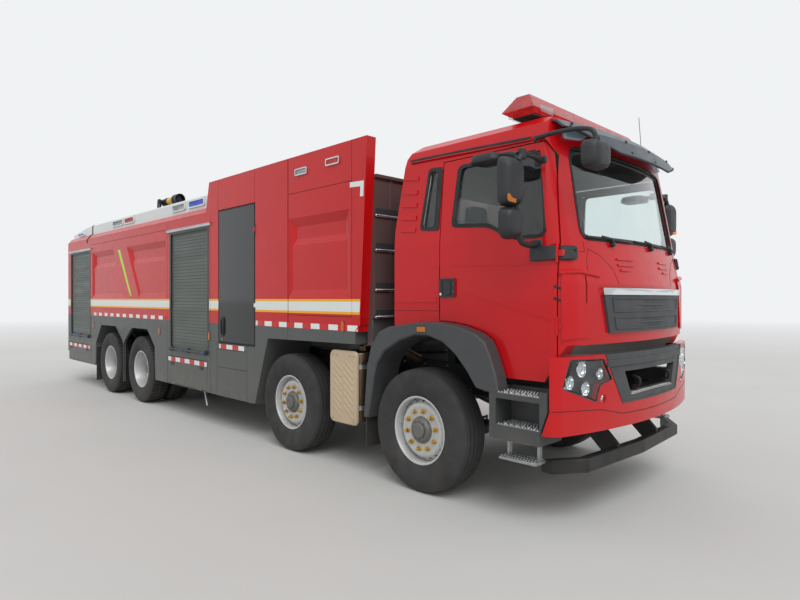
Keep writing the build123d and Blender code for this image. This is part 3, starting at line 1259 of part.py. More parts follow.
# Warning lamps in the coaming: y front, y rear
COAMING_LAMPS = ((4100.0, 4600.0), (4700.0, 5150.0), (6650.0, 7100.0), (7150.0, 7680.0))
COAMING_LAMP_Z = (2960.0, 3080.0)
COAMING_RECESS = 12.0
COAMING_EDGE = 25.0
COAMING_FRONT, COAMING_SLOPE, COAMING_REAR = 3895.0, 8850.0, 9980.0
COAMING_END = 2990.0  # top at the rear end
CROSS_PIECES = (4400.0, 6200.0, 7200.0, 9300.0)
CROSS_HALF, CROSS_H = 60.0, 60.0
HATCH = (350.0, 4900.0, 5700.0, 90.0)  # half width, y front, y rear, height


def coaming_node():
    """White roof coaming on both edges, sloping down at the rear, and the deck hatches."""
    outer, inner = COAMING_HALF, COAMING_HALF - COAMING_W
    low = BODY_DECK + SEAT
    outline = (
        (COAMING_FRONT, low), (COAMING_FRONT, COAMING_TOP), (COAMING_SLOPE, COAMING_TOP),
        (COAMING_REAR, COAMING_END), (COAMING_REAR, low),
    )
    side = side_prism(outline, inner, outer)
    side = chamfer(side.edges().filter_by(Axis.Y).group_by(Axis.Z)[-1], COAMING_EDGE)
    side -= [
        block(outer - COAMING_RECESS, outer + 1, front, rear, *COAMING_LAMP_Z) for front, rear in COAMING_LAMPS
    ]
    out = side + mirrored(side)
    for y in CROSS_PIECES:
        out += block(-inner - 1, inner + 1, y - CROSS_HALF, y + CROSS_HALF, low, low + CROSS_H)
    half, front, rear, high = HATCH
    lid = block(-half, half, front, rear, low, low + high)
    hatches = [chamfer(lid.faces().sort_by(Axis.Z)[-1].edges(), COAMING_EDGE)]
    hatches.append(bar_z(RISER_R + 110, low, low + 40, 0, MONITOR_Y))
    return [out] + hatches


LADDER_X = (730.0, 1040.0)


def rear_node():
    """Ladder on the rear wall, hand rails and the roof rail at its top."""
    pieces = []
    for x in LADDER_X:
        rail = bar_z(18.0, 640.0, 3000.0, x, BODY_REAR + 45)
        pieces.append(rail)
    ladder = pieces[0] + pieces[1]
    z = 700.0
    while z < 2950.0:
        ladder += bar_x(14.0, *LADDER_X, BODY_REAR + 45, z)
        z += 280.0
    for x in LADDER_X:
        for z in (760.0, 2700.0):
            ladder += block(x - 15, x + 15, BODY_REAR + SEAT, BODY_REAR + 46, z - 15, z + 15)
    return ladder


SHIELD_FACE = 1222.0
SHIELD_RIBS, SHIELD_RIB_PITCH = 7, 68.0


def exhaust_node():
    """Silencer box behind the right front wheel with its ribbed side shield."""
    y0, y1, z0, z1 = 818.0, 1241.0, 440.0, 1165.0
    can = block(720.0, 1180.0, y0 + 20, y1 - 20, z0 + 15, z1 - 15)
    can = fillet(can.edges().filter_by(Axis.Z), 150.0)
    shield = rounded_side(((y0, z0), (y1, z0), (y1, z1), (y0, z1)), 60.0, 1200.0, SHIELD_FACE)
    ribs = []
    for place in range(SHIELD_RIBS):
        z = z0 + 95.0 + place * SHIELD_RIB_PITCH
        outline = ((y0 + 80, z + 110.0), (y0 + 92, z + 118.0), (y1 - 80, z + 8.0), (y1 - 92, z))
        ribs.append(side_prism(outline, SHIELD_FACE - 1, SHIELD_FACE + 6))
    shield += ribs
    pad = block(1179.0, 1201.0, y0 + 60, y1 - 60, z0 + 80, z1 - 80)
    hanger = block(RAIL_OUT + SEAT, 721.0, 900.0, 1150.0, 800.0, 1000.0)
    return mirrored(can + shield + pad + hanger)


def tank_node():
    """Fuel tank behind the left front wheel, with two straps and its bracket."""
    y0, y1, z0, z1 = 818.0, 1241.0, 470.0, 1150.0
    tank = rounded_side(((y0, z0), (y1, z0), (y1, z1), (y0, z1)), 90.0, 640.0, 1215.0)
    hanger = block(RAIL_OUT + SEAT, 641.0, 900.0, 1150.0, 800.0, 1000.0)
    cap = bar_z(45.0, z1 - 1, z1 + 35, 1120.0, 1030.0)
    return tank + hanger + cap


def monitor_nodes():
    """Foam monitor: a riser that turns and a barrel that tilts."""
    y, z = MONITOR_Y, MONITOR_AXIS_Z
    base = BODY_DECK + SEAT + 40 + SEAT
    riser = bar_z(RISER_R, base, z - 130, 0, y)
    flange = bar_z(RISER_R + 60, base, base + 30, 0, y)
    yoke = block(-RISER_R - 45, RISER_R + 45, y - 90, y + 90, z - 160, z - 110)
    cheek = block(RISER_R + 15, RISER_R + 45, y - 80, y + 80, z - 111, z + 60)
    turret = riser + flange + yoke + cheek + mirrored(cheek)
    pivot = bar_x(50.0, -RISER_R - 14.7, RISER_R + 14.7, y, z)
    tube = bar_y(BARREL_R, y - BARREL_LONG, y + 60, 0, z)
    nozzle = bar_y(NOZZLE_R, y - BARREL_LONG - 130, y - BARREL_LONG + 90, 0, z)
    nozzle -= bar_y(NOZZLE_R - 14, y - BARREL_LONG - 131, y - BARREL_LONG - 20, 0, z)
    return {"monitor_turret": turret, "monitor_barrel": pivot + tube + nozzle}


def all_nodes():
    """Every node of the truck, by name."""
    nodes = {
        "chassis_frame": chassis_node(),
        "driveline": driveline_node(),
        "axles": axles_node(),
        "exhaust_box": exhaust_node(),
        "fuel_tank": tank_node(),
        "cab_interior": interior_node(),
        "flares_and_steps": flares_node(),
        "sun_visor": visor_node(),
        "front_mirror": front_mirror_node(),
        "light_bar": light_bar_node(),
        "body_front_wall": front_wall_node(),
        "main_body": body_node(),
        "roll_shutters": shutters_node(),
        "roof_coaming": coaming_node(),
        "rear_ladder": rear_node(),
    }
    nodes.update(cab_nodes())
    nodes.update(front_nodes())
    nodes.update(wheel_nodes())
    nodes.update(module_nodes())
    nodes.update(skirts_nodes())
    nodes.update(monitor_nodes())
    for name, y, steered in AXLES:
        if steered:
            for side_name, side in SIDES:
                nodes[f"knuckle_{name}{side_name}"] = on_side(Pos(0, y, 0) * knuckle(), side)
    return nodes


def main():
    """Write one STEP file a node, with the origin under the truck's middle."""
    os.makedirs("parts", exist_ok=True)
    for name, shape in all_nodes().items():
        solids = []
        for piece in shape if isinstance(shape, list) else [shape]:
            solids += piece.solids()
        placed = [Pos(0, ORIGIN_Y, 0) * solid for solid in solids]
        whole = placed[0] if len(placed) == 1 else Compound(placed)
        export_step(whole, f"parts/{name}.step")
        print(name, len(placed))


main()
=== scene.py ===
"""Foam fire truck, eight wheels: its finishes, its fine pieces and the studio round it.

Metres, Z up from the ground, the front faces -Y and the truck's right side is -X. As on a maker's
drawing, y in every size below is counted rearwards from axle 1, and make() carries each finished
piece to the model's own origin under the truck's middle.
"""

import logging
import math
from dataclasses import dataclass, field
from enum import Enum

import bmesh
import bpy
import numpy as np
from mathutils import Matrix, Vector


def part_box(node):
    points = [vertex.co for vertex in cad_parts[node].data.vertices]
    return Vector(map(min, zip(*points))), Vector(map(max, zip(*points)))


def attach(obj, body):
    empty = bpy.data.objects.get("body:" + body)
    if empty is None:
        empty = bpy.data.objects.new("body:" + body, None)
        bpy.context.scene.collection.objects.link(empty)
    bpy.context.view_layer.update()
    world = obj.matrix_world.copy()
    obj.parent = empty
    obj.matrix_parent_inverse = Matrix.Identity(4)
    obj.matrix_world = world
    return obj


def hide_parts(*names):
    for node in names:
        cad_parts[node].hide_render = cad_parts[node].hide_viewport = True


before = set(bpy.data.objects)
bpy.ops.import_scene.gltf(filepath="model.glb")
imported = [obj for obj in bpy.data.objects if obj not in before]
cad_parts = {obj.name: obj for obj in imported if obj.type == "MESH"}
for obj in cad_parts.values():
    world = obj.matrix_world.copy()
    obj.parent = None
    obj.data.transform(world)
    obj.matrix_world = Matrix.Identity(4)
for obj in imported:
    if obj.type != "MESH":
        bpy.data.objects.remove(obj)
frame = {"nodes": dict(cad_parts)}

LOG = logging.getLogger("fire_truck")
Array = np.ndarray
Socket = bpy.types.NodeSocket
Pair = tuple[float, float]
Triple = tuple[float, float, float]
Places = tuple[float, ...]
Colour = Triple

AXLE_1_Y = sum(corner.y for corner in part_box("tyre_1r")) / 2
X, Y, Z = 0, 1, 2
ORIGIN = (0.0, 0.0, 0.0)
LEFTWARDS, REARWARDS, UP = (1.0, 0.0, 0.0), (0.0, 1.0, 0.0), (0.0, 0.0, 1.0)


def paint_colour(red: float, green: float, blue: float) -> Colour:
    """Linear colour of a paint chip given in the usual 0 to 255 display values.

    Args:
        red: red of the chip.
        green: green of the chip.
        blue: blue of the chip.
    Returns:
        The three linear parts, by the display's own curve: a straight foot and a power of 2.4.
    """
    chip = np.array((red, green, blue)) / 255.0
    linear = np.where(chip <= 0.04045, chip / 12.92, ((chip + 0.055) / 1.055) ** 2.4)
    return tuple(float(part) for part in linear)


class Side(Enum):
    """The truck's two sides, each with its letter."""

    RIGHT = "r"
    LEFT = "l"

    @property
    def letter(self) -> str:
        """Letter that ends the names of this side's pieces."""
        return self.value


# Shapes

@dataclass
class Shape:
    """Points and faces of a mesh in the making; each face array holds one face a row."""

    points: Array
    faces: list[Array]

    def moved(self, x: float = 0.0, y: float = 0.0, z: float = 0.0) -> "Shape":
        """The shape carried along the three axes."""
        return Shape(self.points + np.array((x, y, z)), self.faces)

    def mirrored(self) -> "Shape":
        """The shape on the truck's other side, its faces turned back the right way."""
        return Shape(self.points * np.array((-1.0, 1.0, 1.0)), [rows[:, ::-1] for rows in self.faces])

    def on(self, side: Side) -> "Shape":
        """A shape drawn on the left, on the side asked for."""
        return self if side is Side.LEFT else self.mirrored()

    def both(self) -> "Shape":
        """A shape drawn on the left, with its twin on the right."""
        return joined(self, self.mirrored())

    def copies(self, offsets: Array) -> "Shape":
        """One copy of the shape at each offset.

        Args:
            offsets: one x, y, z a row.
        Returns:
            All copies as one shape: every point plus every offset.
        """
        offsets = np.atleast_2d(offsets)
        points = (self.points[None] + offsets[:, None]).reshape(-1, 3)
        return Shape(points, tiled(self.faces, len(offsets), len(self.points)))

    def along(self, axis: int, places: Array) -> "Shape":
        """One copy of the shape at each place along an axis."""
        return self.copies(np.asarray(places, float)[:, None] * np.eye(3)[axis])

    def spun(self, axis: int, degrees: Array, about: Array = ORIGIN) -> "Shape":
        """Copies of the shape turned about an axis.

        Args:
            axis: X, Y or Z.
            degrees: angle of each copy.
            about: point that the axis passes through.
        Returns:
            All copies as one shape: each point's two other coordinates times the turn's cosine and sine.
        """
        angle = np.radians(np.atleast_1d(degrees))
        first, second = [(Y, Z), (Z, X), (X, Y)][axis]
        local = self.points - np.asarray(about)
        points = np.repeat(local[None], len(angle), axis=0)
        cos, sin = np.cos(angle)[:, None], np.sin(angle)[:, None]
        points[..., first] = cos * local[:, first] - sin * local[:, second]
        points[..., second] = sin * local[:, first] + cos * local[:, second]
        return Shape((points + np.asarray(about)).reshape(-1, 3), tiled(self.faces, len(angle), len(local)))


def tiled(faces: list[Array], count: int, size: int) -> list[Array]:
    """Face arrays repeated for count copies of a mesh of size points."""
    shift = (np.arange(count) * size)[:, None, None]
    return [(rows[None] + shift).reshape(-1, rows.shape[1]) for rows in faces]


def joined(*shapes: Shape) -> Shape:
    """Several shapes as one, each one's corner numbers moved past those before it."""
    start = np.cumsum([0] + [len(shape.points) for shape in shapes[:-1]])
    faces = [rows + begin for shape, begin in zip(shapes, start) for rows in shape.faces]
    return Shape(np.concatenate([shape.points for shape in shapes]), faces)


def grid(points: Array, ring: bool = False, loop: bool = False, capped: bool = False) -> Shape:
    """Surface through a grid of points.

    Args:
        points: rows by columns by 3.
        ring: each row closes on itself.
        loop: the last row joins the first.
        capped: the first and last rows are closed by one face each.
    Returns:
        One quadrilateral between each two rows and each two columns.
    """
    rows, columns = points.shape[:2]
    index = np.arange(rows * columns).reshape(rows, columns)
    if ring:
        index = np.concatenate((index, index[:, :1]), axis=1)
    if loop:
        index = np.concatenate((index, index[:1]), axis=0)
    quads = np.stack((index[:-1, :-1], index[:-1, 1:], index[1:, 1:], index[1:, :-1]), axis=-1)
    faces = [quads.reshape(-1, 4)]
    if capped:
        faces += [index[:1, :columns][:, ::-1], index[rows - 1:rows, :columns]]
    return Shape(points.reshape(-1, 3), faces)


def lathe(profile: Array, centre: Array, axis: int = X, segments: int = 48, loop: bool = False) -> Shape:
    """Profile turned about an axis.

    Args:
        profile: distance along the axis and radius, one a row.
        centre: point on the axis where the distance is 0.
        axis: X, Y or Z.
        segments: number of steps round.
        loop: the profile closes on itself, for a ring.
    Returns:
        The turned surface: radius times the cosine and sine of each step.
    """
    profile = np.asarray(profile, float)
    angle = np.linspace(0.0, 2 * math.pi, segments, endpoint=False)
    first, second = [(Y, Z), (Z, X), (X, Y)][axis]
    points = np.zeros((len(profile), segments, 3))
    points[..., axis] = profile[:, :1]
    points[..., first] = profile[:, 1:] * np.cos(angle)
    points[..., second] = profile[:, 1:] * np.sin(angle)
    return grid(points + np.asarray(centre), ring=True, loop=loop)


CORNERS = np.array([(x, y, z) for x in (0, 1) for y in (0, 1) for z in (0, 1)])


def chamfer_faces() -> list[Array]:
    """Faces of a box whose 8 corners hold 3 points each, point 3c + a on the face across axis a."""
    number = {tuple(corner): 3 * place for place, corner in enumerate(CORNERS)}
    flats, edges = [], []
    for axis in (X, Y, Z):
        u, v = [a for a in (X, Y, Z) if a != axis]
        for end in (0, 1):
            ring = []
            for a, b in ((0, 0), (1, 0), (1, 1), (0, 1)):
                corner = [0, 0, 0]
                corner[axis], corner[u], corner[v] = end, a, b
                ring.append(number[tuple(corner)] + axis)
            flats.append(ring)
        for a in (0, 1):
            for b in (0, 1):
                low, high = [0, 0, 0], [0, 0, 0]
                low[axis], high[axis] = 0, 1
                low[u] = high[u] = a
                low[v] = high[v] = b
                start, end = number[tuple(low)], number[tuple(high)]
                edges.append([start + u, end + u, end + v, start + v])
    corners = np.arange(24).reshape(8, 3)
    return [np.array(flats + edges), corners]


CHAMFER = chamfer_faces()


def boxes(rows: Array, chamfer: float = 0.003) -> Shape:
    """Boxes with chamfered edges.

    Args:
        rows: low x, high x, low y, high y, low z, high z of each box.
        chamfer: width that each edge loses on both of its faces.
    Returns:
        All boxes as one shape: each corner's three points stand in by the chamfer on two axes.
    """
    rows = np.atleast_2d(np.asarray(rows, float)).reshape(-1, 3, 2)
    rows = np.sort(rows, axis=2)
    cut = np.minimum(chamfer, (rows[..., 1] - rows[..., 0]) * 0.45)
    place = np.take_along_axis(
        np.broadcast_to(rows[:, None], (len(rows), 8, 3, 2)),
        np.broadcast_to(CORNERS[None, :, :, None], (len(rows), 8, 3, 1)), axis=3,
    )[..., 0]
    inward = (1 - 2 * CORNERS)[None] * cut[:, None]
    points = np.repeat((place + inward)[:, :, None], 3, axis=2)
    flat = np.arange(3)
    points[:, :, flat, flat] = place[:, :, flat]
    return Shape(points.reshape(-1, 3), tiled(CHAMFER, len(rows), 24))


def box(x0: float, x1: float, y0: float, y1: float, z0: float, z1: float, chamfer: float = 0.003) -> Shape:
    """One box with chamfered edges, between two places on each axis."""
    return boxes((x0, x1, y0, y1, z0, z1), chamfer)


def rectangle(low: Array, high: Array) -> Array:
    """The four corners of a rectangle between two opposite ones, in turn."""
    (u0, v0), (u1, v1) = low, high
    return np.array(((u0, v0), (u1, v0), (u1, v1), (u0, v1)))


def prism(outline: Array, axis: int, start: float, end: float) -> Shape:
    """Outline carried along an axis, closed at both ends.

    Args:
        outline: the two other coordinates, in the order x, y, z, one point a row.
        axis: X, Y or Z.
        start: where it begins on the axis.
        end: where it ends.
    Returns:
        The closed prism.
    """
    outline = np.asarray(outline, float)
    u, v = [a for a in (X, Y, Z) if a != axis]
    points = np.zeros((2, len(outline), 3))
    points[..., u], points[..., v] = outline[:, 0], outline[:, 1]
    points[0, :, axis], points[1, :, axis] = start, end
    return grid(points, ring=True, capped=True)


def rounded(outline: Array, radius: float, steps: int = 5) -> Array:
    """Closed outline with its corners rounded.

    Args:
        outline: corner points, two or three coordinates a row.
        radius: length of each side that the round takes, at most 0.45 of it.
        steps: points on each round.
    Returns:
        Each corner as a curve a(1-t)^2 + 2ct(1-t) + bt^2 from the side before to the side after.
    """
    corner = np.asarray(outline, float)
    before, after = np.roll(corner, 1, axis=0) - corner, np.roll(corner, -1, axis=0) - corner
    ends = []
    for way in (before, after):
        length = np.linalg.norm(way, axis=1, keepdims=True)
        ends.append(corner + way / length * np.minimum(radius, length * 0.45))
    t = np.linspace(0.0, 1.0, steps)[None, :, None]
    curve = ends[0][:, None] * (1 - t) ** 2 + 2 * corner[:, None] * t * (1 - t) + ends[1][:, None] * t**2
    return curve.reshape(-1, corner.shape[1])


def smooth_path(points: Array, steps: int = 8) -> Array:
    """Open path through a few points, by the Catmull and Rom cubic between each two of them."""
    points = np.asarray(points, float)
    ends = np.concatenate((2 * points[:1] - points[1:2], points, 2 * points[-1:] - points[-2:-1]))
    t = np.linspace(0.0, 1.0, steps, endpoint=False)[None, :, None]
    a, b, c, d = (ends[k:len(ends) - 3 + k, None] for k in range(4))
    curve = 0.5 * (2 * b + (c - a) * t + (2 * a - 5 * b + 4 * c - d) * t**2 + (3 * b - a - 3 * c + d) * t**3)
    return np.concatenate((curve.reshape(-1, 3), points[-1:]))


def sweep(path: Array, profile: Array, normal: Array, closed: bool = False) -> Shape:
    """Closed profile carried along a path.

    Args:
        path: points of the path.
        profile: sideways and outward place of each profile point.
        normal: outward direction, one for all or one a path point.
        closed: the path joins up.
    Returns:
        Each path point plus the profile along its sideways direction, which is widened by the
        inverse cosine of half the turn so that corners are mitred, and along the normal.
    """
    path, profile = np.asarray(path, float), np.asarray(profile, float)
    ahead = np.roll(path, -1, axis=0) - path
    if not closed:
        ahead[-1] = ahead[-2]
    ahead /= np.linalg.norm(ahead, axis=1, keepdims=True)
    behind = np.roll(ahead, 1, axis=0)
    if not closed:
        behind[0] = ahead[0]
    middle = ahead + behind
    middle /= np.linalg.norm(middle, axis=1, keepdims=True)
    mitre = 1.0 / np.maximum((middle * ahead).sum(axis=1), 0.5)
    out = np.broadcast_to(np.asarray(normal, float), path.shape)
    out = out - (out * middle).sum(axis=1, keepdims=True) * middle
    out /= np.linalg.norm(out, axis=1, keepdims=True)
    aside = np.cross(middle, out) * mitre[:, None]
    points = path[:, None] + aside[:, None] * profile[None, :, :1] + out[:, None] * profile[None, :, 1:]
    return grid(points, ring=True, loop=closed, capped=not closed)


def ringed(outline: Array, axis: int, rings: Array) -> Shape:
    """Closed surface through rings that are one outline, drawn in towards its middle.

    Args:
        outline: the two other coordinates, in the order x, y, z, one point a row.
        axis: X, Y or Z, the way that the rings are stacked.
        rings: share of the outline's reach, and place on the axis, one ring a row.
    Returns:
        The middle plus a share of each point's way from it, on every ring.
    """
    middle = outline.mean(axis=0)
    rows = [np.insert(middle + (outline - middle) * share, axis, place, axis=1) for share, place in rings]
    return grid(np.stack(rows), ring=True)


def circle(radius: float, sides: int = 12) -> Array:
    """Round profile for sweep()."""
    angle = np.linspace(0.0, 2 * math.pi, sides, endpoint=False)
    return radius * np.stack((np.cos(angle), np.sin(angle)), axis=1)


def tube(path: Array, radius: float, normal: Array = UP, sides: int = 12) -> Shape:
    """Round bar along an open path."""
    return sweep(path, circle(radius, sides), normal)


def pipe(points: Array, radius: float, steps: int = 6, normal: Array = UP, sides: int = 12) -> Shape:
    """Round bar along a smooth path through a few points."""
    return tube(smooth_path(points, steps), radius, normal, sides)


def strip(width: float, height: float, sunk: float = 0.002, chamfer: float = 0.0) -> Array:
    """Flat profile for sweep(): a band that stands proud by height, with its two top edges cut."""
    half = width / 2
    cut = chamfer if chamfer else min(height * 0.4, half * 0.4)
    return np.array((
        (-half, -sunk), (half, -sunk), (half, height - cut), (half - cut, height),
        (cut - half, height), (-half, height - cut),
    ))


def bolt(radius: float, height: float, sides: int = 6) -> Shape:
    """Bolt head along +X from the origin: a flat with a turned chamfer."""
    rim = radius * 0.82
    profile = ((-0.002, radius), (height * 0.7, radius), (height, rim), (height, 0.0))
    return lathe(profile, ORIGIN, X, sides)


# Finishes

class Graph:
    """The nodes of one material, built from plain calls; a value may be a number or a socket."""

    def __init__(self, name: str) -> None:
        """Starts a material with one shader, whose places are read from Object coordinates.

        Args:
            name: name of the material.
        """
        self.material = bpy.data.materials.new(name)
        self.material.use_nodes = True
        self.tree = self.material.node_tree
        self.tree.nodes.clear()
        self.shader = self.add("ShaderNodeBsdfPrincipled")
        output = self.add("ShaderNodeOutputMaterial")
        self.tree.links.new(self.shader.outputs["BSDF"], output.inputs["Surface"])
        self.place = self.add("ShaderNodeTexCoord").outputs["Object"]

    def add(self, kind: str, **settings: object) -> bpy.types.Node:
        """A new node with its settings."""
        node = self.tree.nodes.new(kind)
        for key, value in settings.items():
            setattr(node, key, value)
        return node

    def put(self, socket: Socket, value: object) -> None:
        """Links or writes a value to an input."""
        if isinstance(value, Socket):
            self.tree.links.new(value, socket)
        elif isinstance(value, tuple) and len(value) == 3 and len(socket.default_value) == 4:
            socket.default_value = (*value, 1.0)
        else:
            socket.default_value = value

    def surface(self, values: dict[str, object]) -> None:
        """Links or writes values to the shader's inputs, by their names."""
        for name, value in values.items():
            self.put(self.shader.inputs[name], value)

    def axis(self, which: int) -> Socket:
        """One of the three Object coordinates."""
        split = self.add("ShaderNodeSeparateXYZ")
        self.put(split.inputs[0], self.place)
        return split.outputs[which]

    def scaled(self, factors: Triple) -> Socket:
        """Object coordinates times one factor an axis, for a grain that runs one way."""
        mapping = self.add("ShaderNodeMapping")
        self.put(mapping.inputs["Vector"], self.place)
        mapping.inputs["Scale"].default_value = factors
        return mapping.outputs[0]

    def noise(self, scale: float, detail: float = 3.0, stretch: Triple | None = None) -> Socket:
        """Cloudy noise, its scale in features a metre."""
        node = self.add("ShaderNodeTexNoise")
        self.put(node.inputs["Vector"], self.scaled(stretch) if stretch else self.place)
        node.inputs["Scale"].default_value = scale
        node.inputs["Detail"].default_value = detail
        return node.outputs["Fac"]

    def cells(self, scale: float) -> Socket:
        """Distance to the nearest of scattered points."""
        node = self.add("ShaderNodeTexVoronoi", feature="F1")
        self.put(node.inputs["Vector"], self.place)
        node.inputs["Scale"].default_value = scale
        return node.outputs["Distance"]

    def math(self, operation: str, first: object, second: object = 0.0) -> Socket:
        """One step of arithmetic."""
        node = self.add("ShaderNodeMath", operation=operation)
        self.put(node.inputs[0], first)
        self.put(node.inputs[1], second)
        return node.outputs[0]

    def span(self, value: object, low: float, high: float, to_low: float = 0.0,
             to_high: float = 1.0) -> Socket:
        """A value's way from low to high, carried to a new span and held at its ends."""
        node = self.add("ShaderNodeMapRange")
        for place, number in enumerate((value, low, high, to_low, to_high)):
            self.put(node.inputs[place], number)
        return node.outputs[0]

    def curve(self, value: object, knots: tuple) -> object:
        """A line of straight pieces through (place, height) knots: its first height plus one span a piece."""
        total = knots[0][1]
        for (low, before), (high, after) in zip(knots, knots[1:]):
            total = self.math("ADD", total, self.span(value, low, high, 0.0, float(after - before)))
        return total

    def between(self, value: object, low: float, high: float) -> Socket:
        """1 where a value lies between low and high, else 0."""
        above = self.math("GREATER_THAN", value, low)
        return self.math("MULTIPLY", above, self.math("LESS_THAN", value, high))

    def mix(self, factor: object, low: object, high: object) -> Socket:
        """A colour between two others."""
        node = self.add("ShaderNodeMix", data_type="RGBA")
        self.put(node.inputs[0], factor)
        self.put(node.inputs[6], low)
        self.put(node.inputs[7], high)
        return node.outputs[2]

    def bump(self, height: object, depth: float, before: object = None) -> Socket:
        """A bumped normal; depth is the height in metres of a step from 0 to 1."""
        node = self.add("ShaderNodeBump")
        node.inputs["Distance"].default_value = depth
        self.put(node.inputs["Height"], height)
        if before is not None:
            self.put(node.inputs["Normal"], before)
        return node.outputs[0]


DUST = paint_colour(158, 146, 126)


@dataclass(frozen=True)
class Finish:
    """A surface of the truck: its colour, its shine, its grain and the dust on its lower parts."""

    name: str
    slot: str
    colour: Colour
    roughness: float = 0.45
    uneven: float = 0.10  # how far the roughness wanders
    metallic: float = 0.0
    coat: float = 0.0
    coat_roughness: float = 0.07
    specular: float = 0.5
    tone: float = 0.08  # how far the colour wanders
    grain: float = 700.0  # bumps a metre
    relief: float = 0.0001  # their height
    dust: float = 0.25  # most dust, at the ground
    dust_top: float = 1.5  # height where the dust ends
    stretch: Triple | None = None  # grain that runs one way

    def material(self) -> bpy.types.Material:
        """The finish as a material, made once, under a name that no solid's own material has."""
        title = f"finish_{self.name}"
        made = bpy.data.materials.get(title)
        return made if made else self.build(title)

    def build(self, title: str) -> bpy.types.Material:
        """Makes the material.

        Args:
            title: its name.
        Returns:
            A material whose colour, roughness and bump vary over the surface.
        """
        graph = Graph(title)
        smooth, dull = max(self.roughness - self.uneven, 0.02), self.roughness + self.uneven
        graph.surface({
            "Base Color": self.dusted(graph, self.tinted(graph)),
            "Roughness": graph.span(graph.noise(9.0, 5.0, self.stretch), 0.3, 0.7, smooth, dull),
            "Normal": self.relief_normal(graph),
            "Metallic": self.metallic,
            "Specular IOR Level": self.specular,
            "Coat Weight": self.coat,
            "Coat Roughness": self.coat_roughness,
        })
        self.complete(graph)
        return graph.material

    def tinted(self, graph: Graph) -> object:
        """The colour with its slow changes: a darker and a paler tone by a cloudy noise."""
        step_shade = tuple(part * (1 - self.tone) for part in self.colour)
        pale = tuple(min(part * (1 + self.tone) + self.tone * 0.01, 1.0) for part in self.colour)
        return graph.mix(graph.span(graph.noise(2.2, 5.0), 0.32, 0.68), step_shade, pale)

    def dusted(self, graph: Graph, colour: object) -> object:
        """The colour under road dust, which thickens downwards and lies in patches."""
        height = graph.span(graph.axis(Z), 0.25, self.dust_top, 1.0, 0.0)
        patches = graph.span(graph.noise(5.0, 6.0), 0.35, 0.75, 0.15, 1.0)
        share = graph.math("MULTIPLY", graph.math("MULTIPLY", height, height), patches)
        return graph.mix(graph.math("MULTIPLY", share, self.dust), colour, DUST)

    def relief_normal(self, graph: Graph) -> Socket:
        """Normal of the fine grain."""
        return graph.bump(graph.noise(self.grain, 2.0, self.stretch), self.relief)

    def complete(self, graph: Graph) -> None:
        """A place for a finish to add what only it has."""


@dataclass(frozen=True)
class Paint(Finish):
    """Sprayed and baked paint: a clear coat over a fine orange peel."""

    roughness: float = 0.34
    uneven: float = 0.06
    coat: float = 0.42
    specular: float = 0.2
    tone: float = 0.035
    grain: float = 260.0
    relief: float = 0.00005
    dust: float = 0.22
    dust_top: float = 1.3


@dataclass(frozen=True)
class StripedPaint(Paint):
    """Paint with the reflecting band along the body: white between two yellow lines."""

    band: Pair = (1.524, 1.674)  # low and high edge
    line: float = 0.025  # height of each yellow line
    white: Colour = paint_colour(226, 232, 228)
    yellow: Colour = paint_colour(246, 172, 10)
    skin: float = 1.245  # the band lies outside this half width
    sheet_cells: float = 420.0  # a metre, in the reflecting sheet

    def tinted(self, graph: Graph) -> object:
        """Paint, with the band where the height lies in it and the surface is the body side."""
        base = super().tinted(graph)
        height = graph.axis(Z)
        low, high = self.band
        outside = graph.math("GREATER_THAN", graph.math("ABSOLUTE", graph.axis(X)), self.skin)
        comb = graph.span(graph.cells(self.sheet_cells), 0.0, 0.6, 0.86, 1.0)
        white = graph.mix(comb, (0.0, 0.0, 0.0), self.white)
        in_band = graph.math("MULTIPLY", outside, graph.between(height, low, high))
        in_white = graph.math("MULTIPLY", outside, graph.between(height, low + self.line, high - self.line))
        return graph.mix(in_white, graph.mix(in_band, base, self.yellow), white)


@dataclass(frozen=True)
class LinedPaint(Paint):
    """Cab paint, with grey trim on all that faces the room inside."""

    trim: Colour = paint_colour(132, 130, 125)
    wall: float = 0.014  # depth under the outer form where the room begins
    roof: tuple = ((-1.33, 2.91), (-1.18, 3.05), (-0.90, 3.10), (0.07, 3.10), (0.21, 3.075),
                   (0.31, 2.96))  # y, z
    rear: tuple = ((2.30, 0.400), (2.96, 0.310))  # z, y
    above: float = 3.2  # a height over the whole cab

    def tinted(self, graph: Graph) -> object:
        """Trim where a point lies deeper than the wall inside the cab's form.

        Args:
            graph: the material's nodes.
        Returns:
            Paint or trim, by the product of five tests: the sides as they draw in, the leaning and
            bowed front, its round corners, the rear wall and the roof.
        """
        base = super().tinted(graph)
        height, across = graph.axis(Z), graph.math("ABSOLUTE", graph.axis(X))
        along = graph.math("SUBTRACT", graph.axis(Y), AXLE_1_Y)
        leant = graph.curve(height, ((CAB.lean_from, 0.0), (self.above, CAB.setback(self.above))))
        upright = graph.math("SUBTRACT", along, leant)
        bow = graph.math("DIVIDE", graph.math("MULTIPLY", across, across), 2 * CAB.plan.curve)
        corner_x, corner_y, _ = CAB.plan.corner_start()
        upright_side = graph.math("ADD", across, graph.curve(height, CAB.drawn))
        tests = (
            ("LESS_THAN", upright_side, CAB.plan.half - self.wall),
            ("GREATER_THAN", graph.math("SUBTRACT", upright, bow), CAB.plan.front + self.wall),
            ("LESS_THAN", along, graph.math("SUBTRACT", graph.curve(height, self.rear), self.wall)),
            ("LESS_THAN", height, graph.math("SUBTRACT", graph.curve(along, self.roof), self.wall)),
        )
        room = graph.math("MAXIMUM", graph.math("LESS_THAN", across, corner_x),
                          graph.math("GREATER_THAN", upright, corner_y))
        for kind, value, limit in tests:
            room = graph.math("MULTIPLY", room, graph.math(kind, value, limit))
        return graph.mix(room, base, self.trim)


